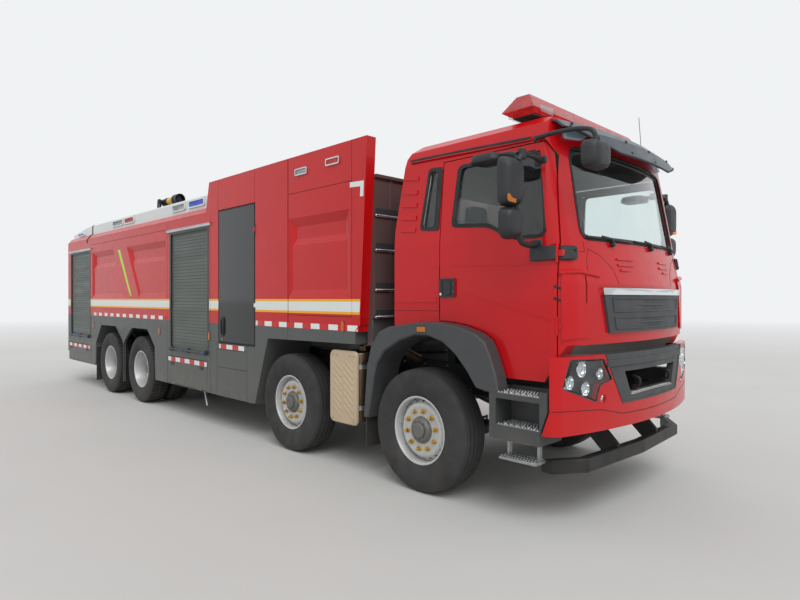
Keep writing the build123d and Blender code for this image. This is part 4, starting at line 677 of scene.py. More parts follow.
@dataclass(frozen=True)
class BlockStrip(Finish):
    """Reflecting tape of red and white blocks in turn along the truck."""

    colour: Colour = paint_colour(232, 236, 234)
    red: Colour = paint_colour(206, 26, 28)
    pitch: float = 0.30  # one white and one red block
    start: float = 0.0  # where a white block begins
    sheet_cells: float = 380.0  # a metre, in the reflecting sheet
    cell_wall: Colour = (0.05, 0.04, 0.04)
    roughness: float = 0.28

    def tinted(self, graph: Graph) -> object:
        """White or red by the remainder of the length along the truck over the pitch."""
        along = graph.math("SUBTRACT", graph.axis(Y), AXLE_1_Y + self.start)
        share = graph.math("FRACT", graph.math("DIVIDE", along, self.pitch))
        blocks = graph.mix(graph.math("GREATER_THAN", share, 0.5), self.colour, self.red)
        comb = graph.span(graph.cells(self.sheet_cells), 0.0, 0.6, 0.82, 1.0)
        return graph.mix(comb, self.cell_wall, blocks)


@dataclass(frozen=True)
class Glazing(Finish):
    """Clear or tinted sheet that lets light through, with a thin film of dust at its foot."""

    colour: Colour = (0.86, 0.93, 0.92)
    roughness: float = 0.03
    uneven: float = 0.01
    passes: float = 1.0
    ior: float = 1.45
    tone: float = 0.02
    relief: float = 0.000004
    grain: float = 6.0
    dust: float = 0.05
    dust_top: float = 2.6

    def complete(self, graph: Graph) -> None:
        """Opens the sheet to light."""
        graph.surface({"Transmission Weight": self.passes, "IOR": self.ior})


@dataclass(frozen=True)
class Lens(Glazing):
    """Moulded lamp lens with small prisms on its inner face."""

    passes: float = 0.75
    roughness: float = 0.12
    prisms: float = 90.0  # prisms a metre
    prism_depth: float = 0.0012
    glow: float = 0.0

    def relief_normal(self, graph: Graph) -> Socket:
        """Square prisms: the sum of a wave along each of the two upright directions."""
        waves = []
        for which in (Y, Z):
            turns = graph.math("MULTIPLY", graph.axis(which), self.prisms * 2 * math.pi)
            waves.append(graph.math("SINE", turns))
        return graph.bump(graph.math("ADD", *waves), self.prism_depth)

    def complete(self, graph: Graph) -> None:
        """Opens the lens and lets its colour shine a little."""
        super().complete(graph)
        graph.surface({"Emission Color": self.colour, "Emission Strength": self.glow})


@dataclass(frozen=True)
class Moulded(Finish):
    """Grained moulded plastic."""

    roughness: float = 0.58
    uneven: float = 0.08
    grain: float = 1100.0
    relief: float = 0.00022
    tone: float = 0.07
    dust: float = 0.30

    def relief_normal(self, graph: Graph) -> Socket:
        """Leather-like grain: cells pressed in over a slower waviness."""
        cells = graph.bump(graph.cells(self.grain), self.relief)
        return graph.bump(graph.noise(35.0, 3.0), 0.0004, cells)


@dataclass(frozen=True)
class Rubber(Finish):
    """Tyre and flap rubber, dull, with dust rubbed into it."""

    roughness: float = 0.78
    uneven: float = 0.12
    grain: float = 420.0
    relief: float = 0.0004
    tone: float = 0.22
    dust: float = 0.16
    dust_top: float = 1.4


@dataclass(frozen=True)
class Metal(Finish):
    """Bare metal with a grain that runs one way, and a duller bloom in patches."""

    metallic: float = 1.0
    roughness: float = 0.34
    uneven: float = 0.14
    tone: float = 0.12
    grain: float = 160.0
    relief: float = 0.00006
    dust: float = 0.20


@dataclass(frozen=True)
class Galvanised(Metal):
    """Zinc with its frosted flakes."""

    def tinted(self, graph: Graph) -> object:
        """Paler and darker flakes by scattered cells."""
        flake = graph.span(graph.cells(55.0), 0.0, 0.7)
        step_shade = tuple(part * 0.72 for part in self.colour)
        return graph.mix(flake, step_shade, self.colour)


@dataclass(frozen=True)
class Chequer(Metal):
    """Tread sheet with small raised lozenges."""

    pitch: float = 0.052
    lozenge_h: float = 0.0015

    def relief_normal(self, graph: Graph) -> Socket:
        """Lozenges where the product of two waves, one along each diagonal, is high."""
        waves = []
        for sign in ("ADD", "SUBTRACT"):
            along = graph.math(sign, graph.axis(X), graph.axis(Y))
            waves.append(graph.math("SINE", graph.math("MULTIPLY", along, 2 * math.pi / self.pitch)))
        raised = graph.span(graph.math("MULTIPLY", *waves), 0.45, 0.65)
        return graph.bump(raised, self.lozenge_h)


@dataclass(frozen=True)
class Cloth(Finish):
    """Woven seat cover."""

    roughness: float = 0.92
    uneven: float = 0.04
    threads: float = 420.0  # a metre
    thread_h: float = 0.0006
    dust: float = 0.0

    def relief_normal(self, graph: Graph) -> Socket:
        """Weave: the product of two waves, one along the truck's width and one upwards."""
        across = graph.math("SINE", graph.math("MULTIPLY", graph.axis(X), self.threads * 2 * math.pi))
        upward = graph.math("ADD", graph.axis(Y), graph.axis(Z))
        upward = graph.math("SINE", graph.math("MULTIPLY", upward, self.threads * 2 * math.pi))
        return graph.bump(graph.math("MULTIPLY", across, upward), self.thread_h)


class Coats:
    """Every finish on the truck."""

    cab_red = Paint("cab_red", "red_paint", paint_colour(198, 8, 18), dust=0.12)
    cab_lined = LinedPaint("cab_red_lined", "red_paint", paint_colour(198, 8, 18), dust=0.12)
    body_red = StripedPaint("body_red", "red_paint", paint_colour(196, 14, 18), dust=0.12)
    plain_red = Paint("body_red_plain", "red_paint", paint_colour(196, 14, 18), dust=0.12)
    white = Paint("coaming_white", "white_paint", paint_colour(216, 220, 220), dust=0.1, dust_top=3.4)
    skirt = Paint("skirt_grey", "skirt_grey", paint_colour(88, 91, 89), roughness=0.42, coat=0.2, dust=0.25)
    wall = Paint("wall_brown", "wall_brown", paint_colour(92, 76, 74), roughness=0.4, coat=0.4,
                 stretch=(0.2, 1.0, 4.0))
    charcoal = Moulded("charcoal_plastic", "charcoal_plastic", paint_colour(66, 68, 70))
    black = Moulded("black_plastic", "black_plastic", paint_colour(38, 41, 44), roughness=0.5)
    visor = Moulded("visor_grey", "black_plastic", paint_colour(62, 72, 80), roughness=0.36, relief=0.00006)
    seal = Rubber("window_seal", "black_plastic", paint_colour(22, 23, 25), roughness=0.55, dust=0.1)
    seam = Rubber("panel_seam", "black_plastic", paint_colour(52, 22, 22), roughness=0.7, dust=0.1)
    frame = Paint("frame_paint", "frame_paint", paint_colour(36, 37, 39), roughness=0.5, coat=0.1, dust=0.14)
    iron = Finish("axle_iron", "axle_iron", paint_colour(46, 46, 47), roughness=0.62, relief=0.0006,
                  grain=240.0, dust=0.3, tone=0.2)
    engine = Finish("engine_iron", "engine_iron", paint_colour(86, 88, 88), roughness=0.55, relief=0.0006,
                    grain=200.0, tone=0.15)
    wheel = Paint("wheel_silver", "wheel_silver", paint_colour(196, 198, 198), metallic=0.25, roughness=0.4,
                  coat=0.4, tone=0.07, dust=0.35)
    hub = Finish("hub_grey", "wheel_silver", paint_colour(112, 112, 110), roughness=0.5, metallic=0.5,
                 relief=0.0004, grain=260.0)
    nut = Metal("wheel_nut_gold", "wheel_silver", paint_colour(205, 170, 92), roughness=0.36)
    tyre = Rubber("tyre_rubber", "tyre_rubber", paint_colour(44, 44, 46), dust=0.09)
    flap = Rubber("mudflap_rubber", "tyre_rubber", paint_colour(34, 35, 37), relief=0.0002)
    glass = Glazing("clear_glass", "clear_glass")
    tint = Paint("tinted_panel", "tinted_panel", paint_colour(16, 20, 25), roughness=0.08, uneven=0.03,
                 coat=0.7, dust=0.06, relief=0.00001)
    red_lens = Lens("red_lens", "red_lens", (0.72, 0.03, 0.03), glow=0.10)
    amber_lens = Lens("amber_lens", "red_lens", (0.95, 0.30, 0.02), glow=0.22)
    blue_lens = Lens("blue_lens", "clear_lens", (0.03, 0.12, 0.75), glow=0.15)
    clear_lens = Lens("clear_lens", "clear_lens", (0.90, 0.94, 0.95), passes=0.9, roughness=0.05)
    cover = Glazing("lamp_glass", "clear_lens", (0.93, 0.96, 0.97), dust=0.0)
    chrome = Metal("bright_chrome", "aluminium", paint_colour(222, 226, 228), roughness=0.10, uneven=0.05,
                   tone=0.03, relief=0.0)
    aluminium = Metal("aluminium", "aluminium", paint_colour(200, 203, 204), stretch=(1.0, 0.05, 1.0))
    zinc = Galvanised("galvanised", "aluminium", paint_colour(178, 182, 182), roughness=0.45)
    shutter = Metal("shutter_silver", "shutter_silver", paint_colour(100, 106, 102), metallic=0.3,
                    roughness=0.5, specular=0.3, stretch=(1.0, 0.06, 1.0), tone=0.06)
    shutter_frame = Paint("shutter_frame", "shutter_silver", paint_colour(58, 62, 64), roughness=0.45,
                          coat=0.3)
    shield = Paint("shield_beige", "shield_beige", paint_colour(196, 176, 148), roughness=0.5, coat=0.1,
                   dust=0.3)
    hot_metal = Metal("silencer_metal", "tank_metal", paint_colour(122, 104, 86), roughness=0.42, tone=0.3,
                      dust=0.35)
    tank = Metal("tank_metal", "tank_metal", paint_colour(150, 152, 152), roughness=0.45, dust=0.35)
    cloth = Cloth("seat_cloth", "seat_cloth", paint_colour(58, 60, 66))
    inside = Moulded("cab_inside", "charcoal_plastic", paint_colour(88, 88, 86), dust=0.0)
    monitor = Finish("monitor_black", "monitor_black", paint_colour(34, 35, 38), roughness=0.42, metallic=0.3,
                     relief=0.0003, grain=300.0, dust=0.0)
    yellow = Paint("monitor_yellow", "monitor_black", paint_colour(214, 176, 52), dust=0.0)
    tape = BlockStrip("block_tape", "white_paint", start=0.175, dust=0.15)
    bezel = Moulded("lamp_bezel", "clear_lens", paint_colour(50, 52, 56), roughness=0.35)
    # painted reflection: the pale sky blue on these aluminium panes stands for the sky reflected in them
    pane = Paint("visor_pane_painted_sky", "aluminium", paint_colour(168, 196, 214), roughness=0.2, dust=0.0)
    latch = Moulded("latch_blue", "shutter_silver", paint_colour(34, 72, 148), dust=0.1)
    chequer = Chequer("chequer_plate", "aluminium", paint_colour(186, 190, 191))
    lime = Paint("lime_line", "white_paint", paint_colour(176, 220, 30), coat=0.3)
    tape_white = Paint("tape_white", "white_paint", paint_colour(228, 232, 230), coat=0.3)


WELD = 2e-5  # points nearer than this are one
BEVEL_FROM = math.radians(35.0)  # edges that turn by more get rounded
CRISP = math.radians(38.0)  # edges that turn by more look sharp


def make(name: str, shape: Shape, finish: Finish, body: str = "truck", *, bevel: float = 0.0,
         wall: float = 0.0, replaces: tuple[str, ...] = ()) -> bpy.types.Object:
    """Makes a piece of the truck from a shape.

    Args:
        name: name of the piece.
        shape: its points and faces, y counted from axle 1.
        finish: its surface.
        body: the body that it moves with.
        bevel: width of its rounded edges, if any.
        wall: thickness that an open surface gets, if any.
        replaces: solids that it stands for.
    Returns:
        The piece, with its place in its mesh.
    """
    points = shape.points + np.array((0.0, AXLE_1_Y, 0.0))
    mesh = bpy.data.meshes.new(name)
    mesh.from_pydata(points.tolist(), [], [row for rows in shape.faces for row in rows.tolist()])
    tidy = bmesh.new()
    tidy.from_mesh(mesh)
    bmesh.ops.remove_doubles(tidy, verts=tidy.verts, dist=WELD)
    bmesh.ops.recalc_face_normals(tidy, faces=tidy.faces)
    tidy.to_mesh(mesh)
    tidy.free()
    mesh.polygons.foreach_set("use_smooth", np.ones(len(mesh.polygons), bool))
    mesh.set_sharp_from_angle(angle=CRISP)
    piece = bpy.data.objects.new(name, mesh)
    bpy.context.scene.collection.objects.link(piece)
    mesh.materials.append(finish.material())
    if wall:
        solid = piece.modifiers.new("wall", "SOLIDIFY")
        solid.thickness = wall
        solid.offset = -1.0
    if bevel:
        edges = piece.modifiers.new("edges", "BEVEL")
        edges.width = bevel
        edges.segments = 2
        edges.limit_method = "ANGLE"
        edges.angle_limit = BEVEL_FROM
        edges.harden_normals = True
    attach(piece, body)
    if replaces:
        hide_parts(*replaces)
    LOG.info("%s: %d faces on %s", name, len(mesh.polygons), body)
    return piece


def make_pair(name: str, shape: Shape, finish: Finish, body: str = "truck", bevel: float = 0.0) -> None:
    """Makes a piece on each side of the truck.

    Args:
        name: its name up to the side's letter.
        shape: the left one.
        finish: its surface.
        body: the body that both move with, or the name up to the letter of the two bodies.
        bevel: width of its rounded edges, if any.
    """
    for side in Side:
        own = body if body == "truck" else f"{body}_{side.letter}"
        make(f"{name}.{side.letter}", shape.on(side), finish, own, bevel=bevel)


def dress(finish: Finish, *nodes: str) -> None:
    """Gives solids that stay a finish.

    Args:
        finish: the surface they get.
        nodes: names of the solids.
    """
    for node in nodes:
        for slot in frame["nodes"][node].material_slots:
            slot.material = finish.material()
        LOG.info("%s is finished in %s", node, finish.name)


# Wheels

class Tread(Enum):
    """Tyre patterns."""

    RIBBED = "ribbed"
    BLOCKS = "blocks"


@dataclass
class Tyre:
    """One tyre, drawn about the origin with its outer side at +X."""

    radius: float = 0.536
    pattern: Tread = Tread.RIBBED
    groove: float = 0.014  # depth
    groove_w: float = 0.010
    lugs: int = 54
    rings: Places = (0.318, 0.347, 0.468)  # raised rings on the sidewall
    ring_h: float = 0.0016
    ring_w: float = 0.004
    wall: tuple = ((0.113, 0.2885), (0.121, 0.302), (0.137, 0.336), (0.147, 0.380), (0.150, 0.424),
                   (0.146, 0.468), (0.135, 0.504), (0.1245, 0.5215))  # half width and radius, outwards
    widest: float = 0.150
    shoulder: float = 0.118
    crown_drop: float = 0.0085
    ribs: Places = (-0.074, -0.026, 0.026, 0.074)  # middles of the grooves
    cross: Places = (0.0, 0.62, 0.68, 0.94)  # a block, the way into its cross groove, and the groove
    cross_from: float = 0.028  # cross grooves lie outside this half width
    sweep_back: float = 0.35  # how far blocks lean round, for each metre of width
    steps: int = 144  # round a tyre without blocks

    def side_profile(self) -> Array:
        """Sidewall from the bead out to the shoulder, as width and radius.

        Returns:
            A smooth curve through the wall's few sizes, with each raised ring added as a narrow
            hump (the ring's height times exp(-(distance / its width) squared)) along the width.
        """
        curve = smooth_path([(*size, 0.0) for size in self.wall], 6)[:, :2]
        hump = np.exp(-(((curve[:, 1:] - np.array(self.rings)) / self.ring_w) ** 2)).sum(axis=1)
        curve[:, 0] = np.minimum(curve[:, 0] + self.ring_h * hump, self.widest)
        return curve

    def crown(self, across: Array) -> Array:
        """Radius of the tread at a width: the outer radius less a shallow parabola."""
        return self.radius - self.crown_drop * (across / self.shoulder) ** 2

    def tread_columns(self) -> tuple[Array, Array]:
        """Columns of the tread from the inner shoulder to the outer one.

        Returns:
            The width of each column, and 1 where it lies at the bottom of a groove, else 0.
        """
        half = self.groove_w / 2
        walls = (np.array(self.ribs)[:, None] + np.array((-half, -half * 0.6, half * 0.6, half))).ravel()
        deep = np.tile((0, 1, 1, 0), len(self.ribs))
        across = np.concatenate(((-self.shoulder,), walls, (self.shoulder,)))
        return across, np.concatenate(((0,), deep, (0,)))

    def shape(self) -> Shape:
        """The whole tyre as one grid round the axle.

        Returns:
            Rows are steps round; columns go over one sidewall, the tread and the other sidewall.
            The radius of a tread column is the crown less the groove's depth where the column is
            in a groove or, on a block pattern, the row is in a cross groove of that rib.
        """
        side = self.side_profile()
        across, deep = self.tread_columns()
        if self.pattern is Tread.RIBBED:
            angle = np.linspace(0.0, 2 * math.pi, self.steps, endpoint=False)
            cross = np.zeros((self.steps, len(across)))
            skew = np.zeros_like(cross)
        else:
            pitch = 2 * math.pi / self.lugs
            angle = (np.arange(self.lugs)[:, None] * pitch + np.array(self.cross) * pitch).ravel()
            cut = np.tile((0.0, 0.0, 1.0, 1.0), self.lugs)
            cross = cut[:, None] * (np.abs(across) > self.cross_from)[None]
            skew = np.where(across > 0, 0.5, 0.0)[None] * pitch + self.sweep_back * np.abs(across)[None]
        depth = np.maximum(deep[None], cross) * self.groove
        tread_r = self.crown(across)[None] - depth
        rows = len(angle)
        inner, outer_side = side * (-1, 1), side[::-1]
        width = np.concatenate((inner[:, 0], across, outer_side[:, 0]))
        radius = np.concatenate((
            np.broadcast_to(inner[:, 1], (rows, len(inner))), np.broadcast_to(tread_r, (rows, len(across))),
            np.broadcast_to(outer_side[:, 1], (rows, len(side))),
        ), axis=1)
        turn = np.zeros((rows, len(width)))
        turn[:, len(inner):len(inner) + len(across)] = skew
        around = angle[:, None] + turn
        points = np.stack((np.broadcast_to(width, radius.shape), radius * np.cos(around),
                           radius * np.sin(around)), axis=-1)
        return grid(points, ring=True, loop=True)


@dataclass
class Rim:
    """Steel rim and its disc, drawn about the origin with the outer side at +X."""

    barrel: float = 0.277  # inner radius
    lip: float = 0.2975
    half: float = 0.1255  # half width over the lips
    disc_foot: float = 0.030  # where the disc meets the barrel
    face: float = 0.086  # nut face of the disc
    cone_in: float = 0.226  # radius where the cone meets the face
    holes: int = 20
    hole: Pair = (0.0145, 0.0105)  # half length round and half width
    nuts: int = 10
    nut_circle: float = 0.1675
    bore: float = 0.118
    hub_r: float = 0.106
    hub_out: float = 0.118
    cap_r: float = 0.068
    cap_out: float = 0.140
    flange_bolts: int = 10
    turned: float = 9.0  # degrees from a hand hole to the first nut

    def ring(self) -> Shape:
        """Barrel with rolled lips, as a closed profile turned round the axle."""
        e, b, lip, foot = self.half, self.barrel, self.lip, self.disc_foot
        profile = np.array((
            (-e + 0.004, b - 0.001), (-0.06, b + 0.001), (-0.045, b - 0.014), (foot - 0.03, b - 0.014),
            (foot, b), (e - 0.010, b), (e - 0.004, b + 0.004), (e, b + 0.010), (e, lip - 0.004),
            (e - 0.003, lip), (e - 0.007, lip - 0.003), (e - 0.0085, b + 0.0105), (-e + 0.0085, b + 0.0105),
            (-e + 0.007, lip - 0.003), (-e + 0.003, lip), (-e, lip - 0.004), (-e, b + 0.006),
        ))
        return lathe(profile, ORIGIN, X, 96, loop=True)

    def cone_place(self, radius: Array) -> Array:
        """Width of the disc's cone at a radius: straight between its foot and the nut face."""
        share = (radius - self.cone_in) / (self.barrel - self.cone_in)
        return self.face + (self.disc_foot - self.face) * share

    def pierced_cone(self) -> Shape:
        """The cone with its ring of oval hand holes.

        Returns:
            One patch a hole. In each patch, rows run from the oval out to a rectangle of the
            cone's own angle and radius, and columns run round the oval.
        """
        steps, rows = 32, 4
        turn = np.linspace(0.0, 2 * math.pi, steps, endpoint=False) + math.pi / steps
        middle = (self.barrel + self.cone_in) / 2 + 0.003
        half_angle, half_r = math.pi / self.holes, (self.barrel - self.cone_in) / 2
        oval = np.stack((self.hole[0] / middle * np.cos(turn), self.hole[1] * np.sin(turn)), axis=1)
        reach = 1.0 / np.maximum(np.abs(np.cos(turn)), np.abs(np.sin(turn)))
        square = np.stack((half_angle * np.cos(turn) * reach, half_r * np.sin(turn) * reach), axis=1)
        square[:, 1] -= 0.003
        share = (np.linspace(0.0, 1.0, rows) ** 1.4)[:, None, None]
        patch = oval[None] * (1 - share) + square[None] * share
        radius = middle + patch[..., 1]
        centre = np.arange(self.holes) * 2 * half_angle
        angle = centre[:, None, None] + patch[None, ..., 0]
        radius = np.broadcast_to(radius, angle.shape)
        points = np.stack((self.cone_place(radius), radius * np.cos(angle), radius * np.sin(angle)), axis=-1)
        return joined(*(grid(one, ring=True) for one in points))

    def plate(self) -> Shape:
        """Nut face inside the cone, with a shallow round step down to the bore."""
        f = self.face
        way = 1.0 if self.face > self.disc_foot else -1.0
        profile = ((f, self.cone_in), (f + 0.003 * way, self.cone_in - 0.010), (f + 0.003 * way, 0.200),
                   (f, 0.194), (f, self.bore), (f - 0.012, self.bore))
        return lathe(profile, ORIGIN, X, 96)

    def nut_set(self) -> Shape:
        """Ten wheel nuts on their washers, with the stud ends in them."""
        washer = lathe(((0, 0.024), (0.004, 0.024), (0.006, 0.021), (0.006, 0.0)), ORIGIN, X, 20)
        stud = lathe(((0.026, 0.011), (0.040, 0.011), (0.043, 0.008), (0.043, 0.0)), ORIGIN, X, 12)
        nut = joined(washer, bolt(0.0185, 0.026), stud)
        angles = np.arange(self.nuts) * 360.0 / self.nuts + self.turned
        return nut.moved(self.face + 0.001, 0.0, self.nut_circle).spun(X, angles)

    def hub(self) -> Shape:
        """Hub end with its flange bolts and a round cap."""
        out, face, end = self.hub_out, self.face, self.cap_out
        wide, small = self.hub_r, self.cap_r
        drum = lathe(((face - 0.02, wide + 0.010), (face + 0.010, wide + 0.010), (face + 0.014, wide),
                      (out - 0.006, wide - 0.006), (out, wide - 0.014), (out, small)), ORIGIN, X, 72)
        cap = lathe(((out - 0.001, small), (end - 0.008, small), (end - 0.002, small - 0.006),
                     (end, small - 0.016), (end - 0.002, 0.03), (end - 0.002, 0.0)), ORIGIN, X, 64)
        head = bolt(0.0085, 0.008).moved(out, 0.0, (wide + small) / 2 - 0.004)
        return joined(drum, cap, head.spun(X, np.arange(self.flange_bolts) * 360.0 / self.flange_bolts))

    def valve(self) -> Shape:
        """Bent valve stem that reaches through a hand hole."""
        base = self.cone_place(np.array(0.262))
        way = 1.0 if self.face > self.disc_foot else 0.4
        path = ((base - 0.02, 0.262, 0), (base + 0.01, 0.258, 0), (base + 0.03 * way + 0.012, 0.244, 0))
        return pipe(path, 0.004, 5, UP, 8).spun(X, self.turned)


@dataclass
class RunningGear:
    """The eight wheel bodies: tyres, rims, nuts and hubs, and what shows of the brakes."""

    middle: float = 1.095  # of the outer tyre
    height: float = 0.536
    twin_pitch: float = 0.350
    axles: tuple[tuple[str, bool], ...] = (("1", True), ("2", True), ("3", False), ("4", False))
    steer: Rim = field(default_factory=Rim)
    drive: Rim = field(default_factory=lambda: Rim(
        disc_foot=-0.052, face=-0.163, cone_in=0.214, hub_r=0.118, hub_out=-0.028, cap_r=0.078, cap_out=0.030,
        bore=0.130,
    ))
    inner: Rim = field(default_factory=lambda: Rim(disc_foot=0.052, face=0.163, cone_in=0.214, bore=0.130))

    def build(self) -> None:
        """Makes all eight."""
        ribbed = Tyre().shape()
        blocks = Tyre(pattern=Tread.BLOCKS).shape()
        for name, steered in self.axles:
            for side in Side:
                low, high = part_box(f"tyre_{name}{side.letter}")
                centre = (self.middle, (low.y + high.y) / 2 - AXLE_1_Y, self.height)
                self.wheel(name, side, centre, steered, ribbed if steered else blocks)
        dress(Coats.iron, *(f"knuckle_{axle}{side.letter}" for axle in "12" for side in Side))

    def wheel(self, axle: str, side: Side, centre: Array, steered: bool, tyre: Shape) -> None:
        """One wheel body.

        Args:
            axle: number of the axle.
            side: side of the truck.
            centre: middle of the outer tyre on the left.
            steered: whether it is a single steered wheel.
            tyre: the tyre about the origin.
        """
        mark, body = f"{axle}{side.letter}", f"road_wheel_{axle}{side.letter}"
        rim = self.steer if steered else self.drive
        inward = (-self.twin_pitch, 0.0, 0.0)
        tyres = tyre if steered else tyre.copies(np.array(((0, 0, 0), inward)))
        steel = joined(rim.ring(), rim.plate())
        cone = rim.pierced_cone()
        if not steered:
            steel = joined(steel, self.inner.ring().moved(*inward), self.inner.plate().moved(*inward))
            cone = joined(cone, self.inner.pierced_cone().moved(*inward))
        drum = self.drum(steered)
        parts = (
            ("tyre", tyres, Coats.tyre, (f"tyre_{mark}",), 0.0),
            ("rim", steel, Coats.wheel, (f"wheel_{mark}",), 0.0),
            ("hand_holes", cone, Coats.wheel, (), 0.009),
            ("nuts", rim.nut_set(), Coats.nut, (), 0.0),
            ("hub", rim.hub(), Coats.hub, (), 0.0),
            ("valve", rim.valve(), Coats.chrome, (), 0.0),
            ("drum", drum, Coats.iron, (), 0.0),
        )
        for part, shape, finish, nodes, wall in parts:
            make(f"{part}.{mark}", shape.moved(*centre).on(side), finish, body, wall=wall, replaces=nodes)

    def drum(self, steered: bool) -> Shape:
        """Brake drum behind the disc, with its cooling ribs."""
        start, end = (-0.130, -0.0197) if steered else (-0.4305, -0.195)
        steps = np.linspace(start, end, 9)
        radius = 0.205 - 0.006 * (np.arange(9) % 2)
        profile = [(start, 0.0), *zip(steps, radius), (end, 0.0)]
        return lathe(profile, ORIGIN, X, 72)


# Surfaces that pieces lie on

class Skin:
    """A surface that pieces are drawn on flat, as pairs of a place along it and a height."""

    def base(self, flat: Array) -> Array:
        """Points of the surface under flat places."""
        raise NotImplementedError

    def outward(self, flat: Array) -> Array:
        """Unit normals: the cross product of the two directions that the surface takes there."""
        step = 1e-4
        along = self.base(flat + (step, 0.0)) - self.base(flat - (step, 0.0))
        up = self.base(flat + (0.0, step)) - self.base(flat - (0.0, step))
        normal = np.cross(along, up)
        return normal / np.linalg.norm(normal, axis=1, keepdims=True)

    def place(self, flat: Array, lift: float = 0.0) -> Array:
        """Points that stand proud of the surface by a lift."""
        flat = np.asarray(flat, float)
        return self.base(flat) + self.outward(flat) * lift


@dataclass(frozen=True)
class BodySide(Skin):
    """Left wall of the body: places along it are y."""

    half: float = 1.25

    def base(self, flat: Array) -> Array:
        """A plane at the half width."""
        return np.stack((np.full(len(flat), self.half), flat[:, 0], flat[:, 1]), axis=-1)


@dataclass(frozen=True)
class Facing(Skin):
    """An upright surface that faces the truck's front: places are x and z."""

    depth: float

    def base(self, flat: Array) -> Array:
        """A plane at the depth."""
        return np.stack((flat[:, 0], np.full(len(flat), self.depth), flat[:, 1]), axis=-1)


@dataclass(frozen=True)
class Nose:
    """Plan of a front: an arc across the truck with a rounded corner to each side."""

    half: float
    front: float
    corner: float
    curve: float = 4.0

    def corner_start(self) -> Triple:
        """Middle x and y of the corner's round, and the x where the arc across ends.

        Returns:
            The round touches the side and the arc. Its tangents are corner * tan(turn / 2) long,
            with the turn a right angle less the arc's own slope at the side.
        """
        slope = math.asin(self.half / self.curve)
        reach = self.corner * math.tan((math.pi / 2 - slope) / 2)
        side_y = self.front + self.curve - math.sqrt(self.curve**2 - self.half**2)
        return self.half - self.corner, side_y + reach, self.half - reach * math.cos(slope)

    def y_at(self, x: Array) -> Array:
        """Depth of the front at an x: the arc across, or the corner's round near the side."""
        middle_x, middle_y, end = self.corner_start()
        wide = np.abs(x)
        arc = self.front + self.curve - np.sqrt(self.curve**2 - np.minimum(wide, end) ** 2)
        turn = np.sqrt(np.maximum(self.corner**2 - np.maximum(wide - middle_x, 0.0) ** 2, 0.0))
        return np.where(wide > end, middle_y - turn, arc)

    def x_at(self, y: Array) -> Array:
        """Half width of the side at a depth, drawn in where the corner begins."""
        middle_x, middle_y, _ = self.corner_start()
        ahead = np.minimum(y - middle_y, 0.0)
        return middle_x + np.sqrt(np.maximum(self.corner**2 - ahead**2, 0.0))


@dataclass(frozen=True)
class CabForm:
    """The cab's outer form: its plan, the lean of its front and the way its sides draw in."""

    plan: Nose = Nose(1.12, -1.5, 0.17)
    lean_from: float = 1.79
    lean: float = 0.1854
    drawn: tuple = ((2.15, 0.0), (2.88, 0.06), (3.01, 0.095), (3.078, 0.19), (3.1, 0.36))  # z, how far in

    def setback(self, z: Array) -> Array:
        """How far the front has leaned back at a height."""
        return np.maximum(z - self.lean_from, 0.0) * self.lean

    def draw_in(self, z: Array) -> Array:
        """How far the side has drawn in at a height: slowly above the waist, fast over the brow."""
        return np.interp(z, *zip(*self.drawn))


CAB = CabForm()
BUMPER = Nose(1.25, -1.535, 0.11)


@dataclass(frozen=True)
class CabSide(Skin):
    """Left side of the cab, round into its front corner: places along it are y."""

    def base(self, flat: Array) -> Array:
        """The plan's half width at the depth less the lean, drawn in by height."""
        y, z = flat[:, 0], flat[:, 1]
        return np.stack((CAB.plan.x_at(y - CAB.setback(z)) - CAB.draw_in(z), y, z), axis=-1)


@dataclass(frozen=True)
class CabFront(Skin):
    """Front of the cab: places are x and z."""

    def base(self, flat: Array) -> Array:
        """The plan's depth at the x, leaned back by height."""
        x, z = flat[:, 0], flat[:, 1]
        return np.stack((x, CAB.plan.y_at(x) + CAB.setback(z), z), axis=-1)


@dataclass(frozen=True)
class BumperFront(Skin):
    """Front of the bumper: places are x and z."""

    inset: float = 0.0

    def base(self, flat: Array) -> Array:
        """The plan's depth at the x."""
        return np.stack((flat[:, 0], BUMPER.y_at(flat[:, 0]) + self.inset, flat[:, 1]), axis=-1)


def dense(path: Array, step: float = 0.05, closed: bool = False) -> Array:
    """Path with more points on its long stretches, so that it can follow a curved skin."""
    path = np.asarray(path, float)
    ends = np.roll(path, -1, axis=0) if closed else path[1:]
    out = []
    for start, end in zip(path, ends):
        count = max(int(np.linalg.norm(end - start) / step), 1)
        out.append(start + (end - start) * np.arange(count)[:, None] / count)
    return np.concatenate(out if closed else out + [path[-1:]])


def laid(skin: Skin, path: Array, profile: Array, lift: float = 0.0, closed: bool = False) -> Shape:
    """Profile carried along flat places of a skin, at a lift over it."""
    return sweep(skin.place(path, lift), profile, skin.outward(path), closed)


SUNK = 0.004  # bands and frames reach into their skin by this


def band(skin: Skin, path: Array, width: float, height: float, closed: bool = False) -> Shape:
    """Raised band on a skin.

    Args:
        skin: surface it lies on.
        path: its middle line, as flat places.
        width: its width.
        height: how far it stands proud.
        closed: the line joins up.
    Returns:
        The band, bent with the skin.
    """
    return laid(skin, dense(path, closed=closed), strip(width, height, SUNK), 0.0, closed)


def bands(skin: Skin, paths: Array, width: float, height: float) -> Shape:
    """Several bands alike."""
    return joined(*(band(skin, path, width, height) for path in paths))


